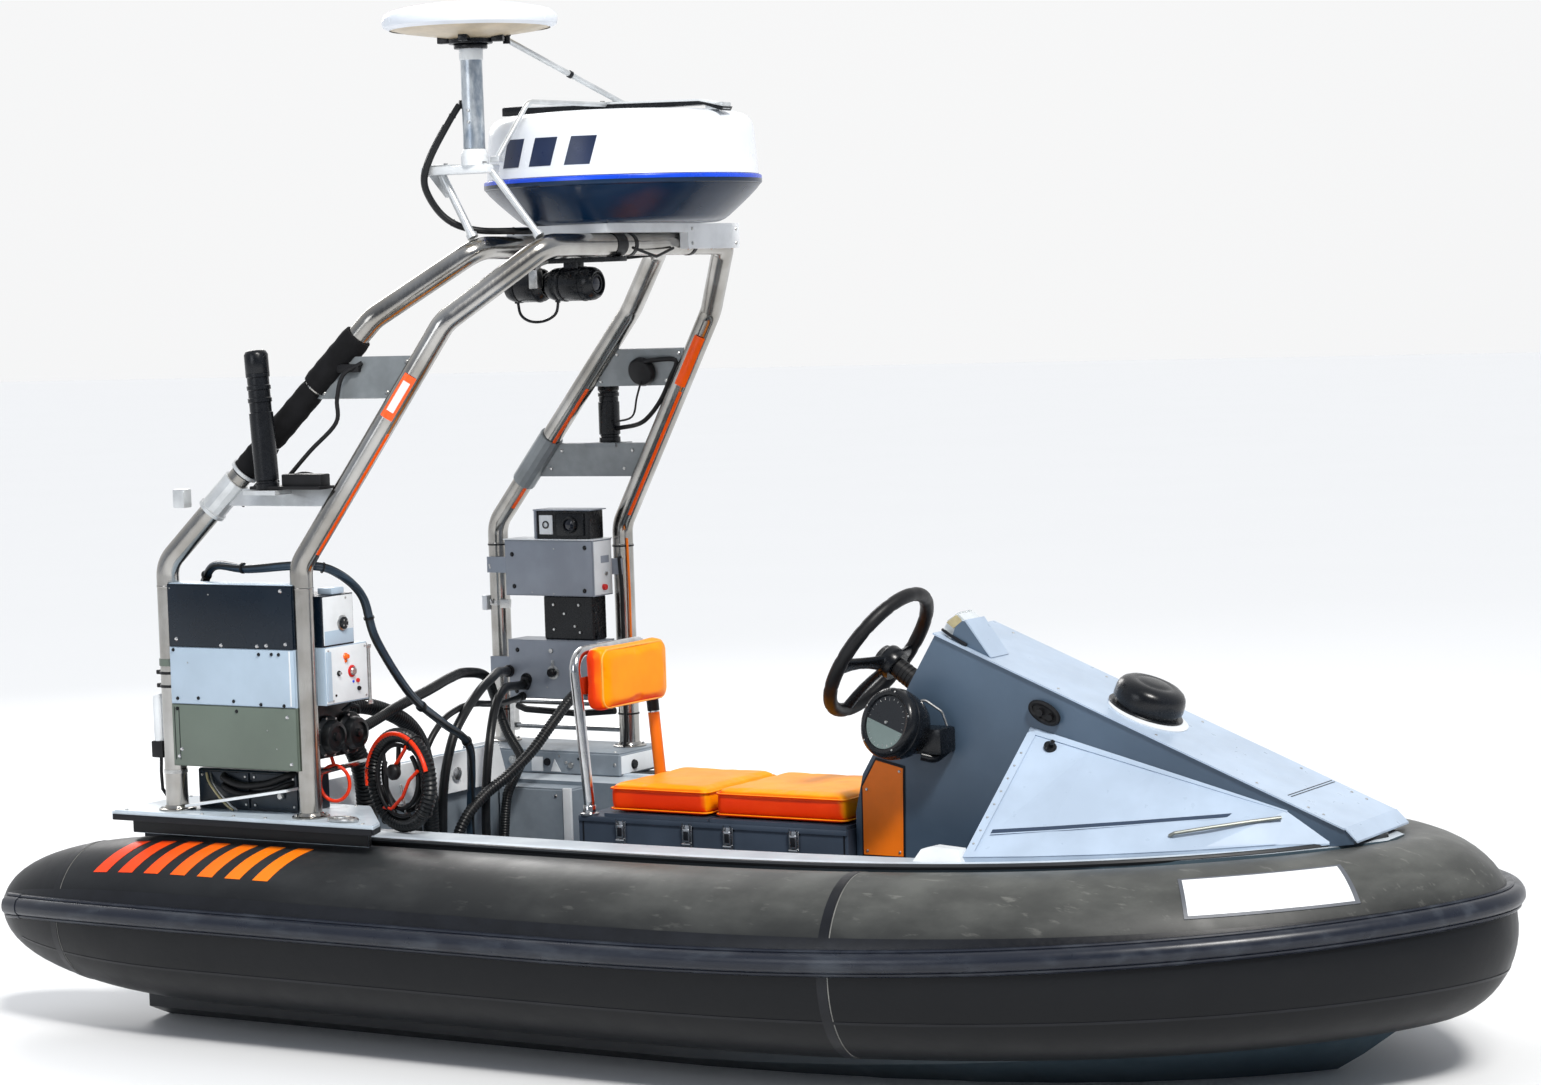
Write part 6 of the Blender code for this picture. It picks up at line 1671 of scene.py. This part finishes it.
slab((-0.998, -0.958), (0.5318, 0.5352), (1.044, 1.092), 0.002, 1)
lathe([(0.006, 0), (0.01, 0), (0.0098, 0.0015), (0.0062, 0.0015)], (-0.978, 0.532, 1.068), inboard, 20, 2)
slab((-0.948, -0.864), (0.532, 0.5352), (1.04, 1.097), 0.003, 2)
drum([(0.021, 0), (0.021, 0.006), (0.0185, 0.009), (0.015, 0.009), (0.014, 0.005)], (-0.905, 0.5325, 1.068),
    inboard, 32, 2)
lathe([(0.0138, 0.0052), (0.008, 0.0075), (0, 0.0082)], (-0.905, 0.5325, 1.068), inboard, 28, 4)
for x, z in ((-0.968, 0.868), (-0.936, 0.846), (-0.968, 0.806), (-0.905, 0.815), (-0.892, 0.868),
        (-0.89, 0.8)):
    drum([(0.004, 0), (0.0032, 0.0035)], (x, 0.54, z), inboard, 10, 3)
tube(rounded([(-0.86, 0.548, 0.87), (-0.842, 0.54, 0.85), (-0.838, 0.545, 0.8), (-0.85, 0.552, 0.786)],
    0.006, 4), 0.003, 8, 2)
drum([(0.008, 0), (0.007, 0.008)], (-0.8332, 0.566, 0.912), (1, 0, 0), 18, 5)
drum([(0.005, 0), (0.0045, 0.004)], (-0.8332, 0.576, 0.945), (1, 0, 0), 14, 3)
slab((-0.8334, -0.8326), (0.556, 0.592), (0.972, 0.99), 0.0002)
piece("port_faces", [rack_grey, white_paint, plastic, steel, lens_dark, knob_red], smooth=34)
port_screws = [(-1.078, 0.994), (-1.074, 0.914), (-0.858, 1.012), (-0.862, 0.905), (-1.072, 0.754),
    (-1.078, 0.65), (-0.862, 0.762), (-0.866, 0.65)]
heads("port_screws", [((x, PORT_FACE, z), inboard) for x, z in port_screws], plastic,
    0.0062, 0.003)
port_pips = [(-0.951, 1.009), (-1.02, 0.9), (-0.985, 0.662), (-0.915, 0.64), (-0.955, 0.897)]
heads("port_pips", [((x, PORT_FACE, z), inboard) for x, z in port_pips], steel, 0.002, 0.0012)

aft_leg, fore_leg = (-1.2, LEG_Y), (-0.819, LEG_Y)
for z in (0.952, 0.862):
    tube([(*aft_leg, z - 0.006), (*aft_leg, z + 0.006)], TUBE_R + 0.0022, 36)
    for y in (LEG_Y - 0.03, LEG_Y + 0.03):
        drum([(0.0035, 0), (0.003, 0.012)], (-1.205, y, z - 0.002), (-0.3, 0, 1), 10)
slab((-1.244, -1.228), (LEG_Y - 0.02, LEG_Y + 0.016), (0.842, 0.88), 0.003, 1)
slab((-1.176, -1.148), (LEG_Y - 0.036, LEG_Y - 0.026), (0.85, 0.872), 0.002)
for z in (1.01, 0.7, 0.59):
    tube([(*aft_leg, z - 0.002), (*aft_leg, z + 0.002)], TUBE_R + 0.0016, 36, 2)
    tube([(*fore_leg, z - 0.002), (*fore_leg, z + 0.002)], TUBE_R + 0.0016, 36, 2)
tube([(-0.812, 0.606, 0.985), (-0.805, 0.603, 0.9), (-0.806, 0.604, 0.78), (-0.808, 0.603, 0.64),
    (-0.806, 0.602, 0.56), (-0.81, 0.6, 0.508)], 0.0045, 10, 2)
tube([(-0.794, 0.618, 1.03), (-0.79, 0.616, 0.9), (-0.7915, 0.617, 0.77), (-0.79, 0.618, 0.64)], 0.003, 8,
    3)
tube(rounded([(-1.15, LEG_Y - 0.01, 0.6), (-1.12, LEG_Y - 0.018, 0.592), (-0.96, LEG_Y - 0.018, 0.586),
    (-0.85, LEG_Y - 0.015, 0.596)], 0.02, 4), 0.0085, 12, 2)
piece("port_leg_fittings", [steel, white_paint, rubber, panel_orange], smooth=36)

# Junction box: a dark painted steel box on the deck below the starboard rack, with bolted covers, a gland,
# two looped hoses and a thin wire pair.
junction_dark = painted("junction_dark", (0.006, 0.014, 0.024), 0.32, 0.2, 300, 0.00008, 10)
coat_node("junction_box", junction_dark)
box_low, box_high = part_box("junction_box")
face = box_low[1]
slab((box_low[0] + 0.01, box_low[0] + 0.15), (face - 0.004, face + 0.001),
    (box_low[2] + 0.008, box_high[2] - 0.006), 0.001)
slab((box_low[0] + 0.16, box_high[0] - 0.008), (face - 0.004, face + 0.001),
    (box_low[2] + 0.008, box_high[2] - 0.006), 0.001)
for x in (box_low[0] + 0.018, box_low[0] + 0.142, box_low[0] + 0.168, box_high[0] - 0.016):
    for z in (box_low[2] + 0.016, box_high[2] - 0.014):
        drum([(0.0032, 0), (0.0026, 0.0022)], (x, face - 0.004, z), (0, -1, 0), 8, 3)
for lift, reach in ((0, 0.0085), (0.02, 0.007)):
    tube(smooth_bend([(-1.09, face + 0.004, 0.585 - lift), (-1.08, face - 0.014, 0.58 - lift),
        (-1.03, face - 0.016, 0.566 - lift), (-0.96, face - 0.015, 0.572 - lift),
        (-0.905, face - 0.012, 0.59 - lift), (-0.89, face + 0.004, 0.596 - lift)]), reach, 12, 1)
for start, reach, paint in ((-1.14, 0.0028, 2), (-1.128, 0.0022, 3)):
    tube(smooth_bend([(start, face - 0.004, 0.588), (start + 0.012, face - 0.012, 0.57),
        (start + 0.04, face - 0.02, 0.545), (start + 0.07, face - 0.022, 0.52),
        (start + 0.085, face - 0.018, 0.509)]), reach, 8, paint)
drum([(0.009, 0), (0.009, 0.006), (0.006, 0.01)], (-0.925, face - 0.004, 0.545), (0, -1, 0), 16, 3)
piece("junction_fittings", [junction_dark, rubber, lens_amber, steel], smooth=38)


# Hoses and cables: corrugated and smooth black runs from the racks and pump to the bay, the mast cables, and
# a standing coil of ribbed hose with a red air line tied round its top.
HOSES = {
    "rack_harness": (0.011, ((-1.15, -0.57, 0.9936), (-1.149, -0.571, 1.02), (-1.1, -0.592, 1.056),
            (-1, -0.6, 1.052), (-0.87, -0.58, 1.058), (-0.815, -0.53, 1.042),
            (-0.788, -0.465, 0.985), (-0.785, -0.425, 0.88), (-0.79, -0.3, 0.742),
            (-0.835, -0.12, 0.655), (-0.885, 0.04, 0.59), (-0.94, 0.13, 0.5), (-0.962, 0.15, 0.38),
            (-0.964, 0.15, 0.28), (-0.964, 0.15, 0.2006))),
    "hose_arch": (0.0125, ((-0.85, -0.4222, 0.675), (-0.85, -0.385, 0.68), (-0.852, -0.25, 0.712),
            (-0.885, -0.1, 0.728), (-0.935, 0.05, 0.738), (-1, 0.2, 0.733), (-1.055, 0.36, 0.705),
            (-1.078, 0.43, 0.64), (-1.045, 0.428, 0.56), (-0.985, 0.4, 0.502), (-0.962, 0.345, 0.47),
            (-0.958, 0.298, 0.42), (-0.955, 0.275, 0.32), (-0.955, 0.272, 0.26), (-0.955, 0.272, 0.2006))),
    "hose_port": (0.011, ((-1.05, 0.5244, 0.668), (-1.05, 0.49, 0.668), (-1.02, 0.39, 0.672),
            (-0.985, 0.3, 0.64),
            (-0.96, 0.235, 0.56), (-0.958, 0.21, 0.44), (-0.962, 0.21, 0.32), (-0.962, 0.21, 0.26),
            (-0.962, 0.21, 0.2006))),
    "pump_duct": (0.025, ((-0.927, -0.4542, 0.672), (-0.927, -0.41, 0.672), (-0.925, -0.345, 0.625),
            (-0.93, -0.3, 0.54), (-0.95, -0.268, 0.42), (-0.964, -0.262, 0.32),
            (-0.964, -0.262, 0.26), (-0.964, -0.262, 0.2006))),
    "mast_cables": (0.0075, ((-0.537, -0.372, 2.06), (-0.56, -0.385, 2.02), (-0.6, -0.402, 1.945),
            (-0.617, -0.403, 1.89), (-0.6, -0.385, 1.835), (-0.57, -0.36, 1.8),
            (-0.53, -0.32, 1.784), (-0.49, -0.26, 1.7815), (-0.48, -0.225, 1.781),
            (-0.48, -0.2006, 1.781))),
}


def ribbed(path, radius, pitch, depth):
    """Ring centres and radii for a hose with rounded ribs at a pitch."""
    dense, radii, travelled = [], [], 0
    for first, second in zip(path, path[1:]):
        length = (second - first).length
        count = max(1, round(length / (pitch / 4)))
        for k in range(count):
            at = travelled + length * k / count
            dense.append(first.lerp(second, k / count))
            radii.append(radius - depth * (0.5 - 0.5 * cos(2 * pi * at / pitch)))
        travelled += length
    dense.append(path[-1])
    radii.append(radius)
    return dense, radii


hose_rubber = Finish("hose_rubber", (0.01, 0.011, 0.012), 0.36, specular=0.35)
hose_dust = hose_rubber.cloud(0.55, 0.78, 24, 6)
hose_rubber.feed("Base Color", hose_rubber.mix(hose_dust, (0.005, 0.006, 0.007), (0.02, 0.02, 0.02)))
hose_rubber.uneven(0.25, 0.25, 60)
hose_rubber.relief(0.00008, 0.5, 520)
harness_blue = painted("harness_blue", (0.012, 0.03, 0.052), 0.34, 0.25, 420, 0.0001, 30)
tie_orange = painted("tie_orange", (0.8, 0.035, 0.004), 0.3, 0.12, 420, 0.00006, 30, specular=0.3)

for name, finish, rib in (("rack_harness", harness_blue, None),
        ("hose_arch", hose_rubber, (0.0065, 0.0014)), ("hose_port", hose_rubber, None),
        ("pump_duct", hose_rubber, (0.01, 0.0032)), ("mast_cables", hose_rubber, None)):
    radius, route = HOSES[name]
    path = smooth_bend(route, 9)
    if rib:
        path, radii = ribbed(path, radius, *rib)
        tube(path, radii, 20)
    elif name == "rack_harness":
        tube(path, radius * 0.78, 14)
        frames = frames_along(path)
        for offset, thin, twist in ((0, 0.42, 9), (2.1, 0.36, 9), (4.2, 0.4, 9)):
            side_path = []
            for k, (centre, (tangent, across, up)) in enumerate(zip(path, frames)):
                angle = offset + twist * k / len(path)
                side_path.append(centre + (cos(angle) * across + sin(angle) * up) * radius * 0.6)
            tube(side_path[1:-1], radius * thin, 10, 1 if offset else 0)
    else:
        tube(path, radius, 16)
    piece(name + "_run", [finish, hose_rubber], smooth=50, hides=[name])

harness = smooth_bend(HOSES["rack_harness"][1], 9)
for share in (0.1, 0.21, 0.34, 0.47, 0.6, 0.72):
    k = int(share * (len(harness) - 1))
    tube([harness[k].lerp(harness[k + 1], -0.15), harness[k].lerp(harness[k + 1], 0.2)], 0.0125, 20)
mast_run = smooth_bend(HOSES["mast_cables"][1], 9)
for share in (0.08, 0.3, 0.55, 0.8):
    k = int(share * (len(mast_run) - 1))
    tube([mast_run[k].lerp(mast_run[k + 1], -0.15), mast_run[k].lerp(mast_run[k + 1], 0.2)], 0.0088, 16)
frames = frames_along(mast_run)
second_cable = [centre + across * 0.0078 + up * 0.0052 for centre,
    (tangent, across, up) in zip(mast_run, frames)]
tube(second_cable[10:-2], 0.0048, 12)
tube([(-0.5305, MAST_Y, 2.06), (-0.537, -0.372, 2.06)], 0.0095, 16)
for end, direction, radius in (((-0.964, 0.15, 0.2004), (0, 0, 1), 0.018),
        ((-0.955, 0.272, 0.2004), (0, 0, 1), 0.02), ((-0.962, 0.21, 0.2004), (0, 0, 1), 0.018),
        ((-0.964, -0.262, 0.2004), (0, 0, 1), 0.034)):
    drum([(radius, 0), (radius, 0.01), (radius * 0.86, 0.018)], end, direction, 24, 1)
for end, direction, radius in (((-0.85, -0.4225, 0.675), (0, 1, 0), 0.017),
        ((-1.05, 0.525, 0.668), (0, -1, 0), 0.016), ((-0.927, -0.4545, 0.672), (0, 1, 0), 0.03),
        ((-1.15, -0.57, 0.9932), (0, 0, 1), 0.016)):
    drum([(radius, 0), (radius, 0.008), (radius * 0.9, 0.014)], end, direction, 6 if radius < 0.02 else 24,
        1)
piece("hose_ends", [rubber, cast_black], smooth=34)

# Loose hoses in the bay behind the seat, from the pump and the port rack down to sockets in the well's floor.
LOOSE = {
    "bay_hose_thick": (0.0195, True, ((-0.9, -0.4545, 0.722), (-0.9, -0.4, 0.724), (-0.896, -0.33, 0.716),
            (-0.89, -0.26, 0.695), (-0.89, -0.19, 0.663), (-0.9, -0.13, 0.618),
            (-0.92, -0.08, 0.56), (-0.942, -0.04, 0.49), (-0.958, -0.015, 0.41),
            (-0.966, -0.003, 0.32), (-0.968, 0, 0.2006))),
    "bay_hose_port": (0.014, True, ((-0.865, 0.5244, 0.665), (-0.864, 0.49, 0.661), (-0.865, 0.44, 0.64),
            (-0.876, 0.38, 0.59), (-0.896, 0.32, 0.53), (-0.918, 0.25, 0.48),
            (-0.94, 0.18, 0.44), (-0.956, 0.12, 0.39), (-0.965, 0.085, 0.32),
            (-0.966, 0.075, 0.2006))),
    "bay_hose_high": (0.0115, False, ((-0.968, 0.04, 0.2006), (-0.968, 0.042, 0.35), (-0.966, 0.052, 0.48),
            (-0.96, 0.085, 0.585), (-0.96, 0.14, 0.645), (-0.972, 0.22, 0.688),
            (-1, 0.31, 0.708), (-1.04, 0.39, 0.712), (-1.078, 0.46, 0.706),
            (-1.1, 0.5244, 0.7))),
    "bay_hose_thin": (0.008, False, ((-0.976, -0.04, 0.2006), (-0.976, -0.041, 0.35), (-0.974, -0.035, 0.47),
            (-0.968, -0.01, 0.57), (-0.964, 0.05, 0.632), (-0.972, 0.13, 0.654),
            (-0.992, 0.22, 0.655), (-1.018, 0.31, 0.644), (-1.04, 0.4, 0.634),
            (-1.055, 0.47, 0.634), (-1.06, 0.5244, 0.638))),
}
for name, (radius, rib, route) in LOOSE.items():
    path = smooth_bend(route, 9)
    if rib:
        path, radii = ribbed(path, radius, 0.0085, 0.0018)
        tube(path, radii, 18)
    else:
        tube(path, radius, 14)
    for end, ahead in ((path[0], path[1]), (path[-1], path[-2])):
        way = (ahead - end).normalized()
        drum([(radius * 1.35, 0), (radius * 1.35, 0.01), (radius * 1.15, 0.018)], end, way, 20, 1)
    piece(name, [hose_rubber, rubber], smooth=50)

COIL = Vector((-0.724, -0.43, 0.5665))
COIL_YAW = radians(15)
coil_ahead = Vector((cos(COIL_YAW), -sin(COIL_YAW), 0))
coil_across = Vector((sin(COIL_YAW), cos(COIL_YAW), 0))


def on_coil(turn, reach, side=0):
    return COIL + (coil_ahead * cos(turn) + Vector((0, 0, sin(turn)))) * reach + coil_across * side


count = 260
ring_path = [on_coil(t, 0.101) for t in turns(count)]
ring_radius = [0.017 - 0.0034 * (0.5 - 0.5 * cos(2 * pi * k * 65 / count)) for k in range(count)]
tube(ring_path, ring_radius, 20, closed=True)
for reach, side, radius, start, end in ((0.079, 0.01, 0.0062, -3.6, 1.4),
        (0.072, -0.004, 0.0055, -2.9, 0.9), (0.083, -0.011, 0.0048, 1.2, 5.2)):
    arc = [on_coil(start + (end - start) * k / 40, reach - 0.01 * sin(pi * k / 40), side)
        for k in range(41)]
    tube(arc, radius, 12, 1)
red_arc = [on_coil(radians(190 - 175 * k / 40), 0.1095 - 0.004 * sin(pi * k / 40), -0.0135)
    for k in range(41)]
tube(red_arc, 0.0052, 14, 2)
for turn in (radians(168), radians(60), radians(-40), radians(-120)):
    centre = on_coil(turn, 0.0995)
    wrap = [centre + (on_coil(turn, 1) - on_coil(turn, 0)) * 0.0195 * cos(t) + coil_across * 0.0195 * sin(t)
        for t in turns(24)]
    tube(wrap, 0.0016, 8, 1, closed=True)
tube([on_coil(radians(62), 0.09, -0.016), on_coil(radians(75), 0.052, -0.014),
    on_coil(radians(120), 0.03, -0.012)], 0.0042, 12, 2)
tube(rounded([on_coil(radians(20), 0.08, -0.012), on_coil(radians(5), 0.045, -0.014),
    on_coil(radians(-60), 0.04, -0.014), on_coil(radians(-110), 0.07, -0.012),
    on_coil(radians(-130), 0.085, -0.01)], 0.01, 5), 0.004, 12, 2)
tube(rounded([on_coil(radians(130), 0.078, -0.01), on_coil(radians(170), 0.04, -0.012),
    on_coil(radians(-150), 0.045, -0.012), on_coil(radians(-100), 0.082, -0.01)], 0.012, 5), 0.0046, 12, 1)
knot = on_coil(radians(100), 0.02, -0.008)
drum([(0.013, 0), (0.018, 0.006), (0.018, 0.016), (0.012, 0.022)], knot, -coil_across, 20, 1)
tube([on_coil(radians(90), 0.083, -0.004), on_coil(radians(95), 0.02, -0.008)], 0.0055, 12, 1)
tube([on_coil(radians(-85), 0.083, 0.004), on_coil(radians(-80), 0.01, -0.004)], 0.0032, 10, 3)
piece("hose_coil_run", [hose_rubber, rubber, tie_orange, steel], smooth=50,
    hides=["hose_coil"])

loop = [Vector((-0.842 + 0.034 * cos(t), -0.52 + 0.01 * cos(t), 0.566 + 0.04 * sin(t))) for t in turns(36)]
tube(loop, 0.0042, 10, closed=True)
tube([loop[9], loop[9] + Vector((-0.006, -0.004, 0.028)), (-0.862, -0.53, 0.64)], 0.0042, 10)
piece("air_line", tie_orange, smooth=50)


# Engine: a painted cast block with a finned head, a filter canister, two belt wheels and bearer rails. It
# stands under the hinged hatch and shows only with the hatch open.
engine_paint = painted("engine_paint", (0.03, 0.038, 0.048), 0.42, 0.25, 180, 0.0004, 16)
slab((-1.295, -1.09), (-0.15, 0.15), (-0.039, 0.215), 0.01)
slab((-1.27, -1.115), (-0.11, 0.11), (0.215, 0.31), 0.01)
for k in range(9):
    y = -0.1 + 0.025 * k
    slab((-1.262, -1.123), (y - 0.004, y + 0.004), (0.308, 0.372), 0.0015, 1)
slab((-1.25, -1.135), (-0.112, 0.112), (0.372, 0.398), 0.006)
lathe([(0, 0), (0.034, 0), (0.036, 0.004), (0.036, 0.085), (0.03, 0.096), (0, 0.098)], (-1.19, 0.15, 0.12),
    (0, 0.36, 0), 30, 2)
for z, radius in ((0.06, 0.048), (0.18, 0.034)):
    drum([(radius, 0), (radius, 0.006), (radius - 0.006, 0.009), (radius, 0.012), (radius, 0.018)],
        (-1.22, -0.15, z), (0, -1, 0), 32, 1)
slab((-1.3, -1.085), (-0.188, -0.172), (-0.036, 0.02), 0.004, 1)
slab((-1.3, -1.085), (0.172, 0.188), (-0.036, 0.02), 0.004, 1)
piece("engine", [engine_paint, steel, white_paint], smooth=34, hides=["engine_block"])


# Jet drive: a cast housing bolted to the transom, a nozzle that swings in its arms and a curved bucket that
# swings down behind it.
cast_metal = Finish("cast_metal", (0.34, 0.35, 0.36), 0.42, 0.85)
cast_wet = cast_metal.cloud(0.45, 0.75, 12, 5)
cast_metal.feed("Base Color", cast_metal.mix(cast_wet, (0.38, 0.39, 0.4), (0.17, 0.18, 0.18)))
cast_metal.uneven(0.3, 0.28, 60)
cast_metal.relief(0.0003, 0.6, 260)
for node in ("jet_housing", "steering_nozzle", "reverse_bucket"):
    coat_node(node, cast_metal)
JET_Z = -0.02
TRANSOM_X = -1.3803
ring_bolts = [((TRANSOM_X - 0.012, 0.095 * cos(t), JET_Z + 0.095 * sin(t)), (-1, 0, 0))
    for t in (2 * pi * k / 10 + 0.3 for k in range(10))]
heads("jet_bolts", ring_bolts, steel, 0.0065, 0.005, 6)
heads("bucket_bolts", [((-1.545, side * 0.08, JET_Z), (0, side, 0)) for side in (-1, 1)], steel,
    0.009, 0.004, 6, "reverse_bucket")


# Transom: turned steel drain plugs, bent tow eyes on round feet and two flat metal plates on the hull's
# stern, above the waterline.
for side in (-1, 1):
    drum([(0.02, 0), (0.02, 0.003), (0.014, 0.006)], (TRANSOM_X, side * 0.2, 0.055), (-1, 0, 0), 24)
    drum([(0.024, 0), (0.024, 0.004)], (TRANSOM_X, side * 0.3, 0.2), (-1, 0, 0), 24)
    eye = [Vector((-1.384 - 0.03 * sin(t), side * 0.3 + 0.018 * cos(t), 0.2))
        for t in (pi * k / 12 for k in range(13))]
    tube(eye, 0.0055, 12)
    slab((-1.387, TRANSOM_X), (side * 0.36, side * 0.46), (0.085, 0.125), 0.003, 1)
piece("transom_fittings", [steel, bracket_metal], smooth=36)
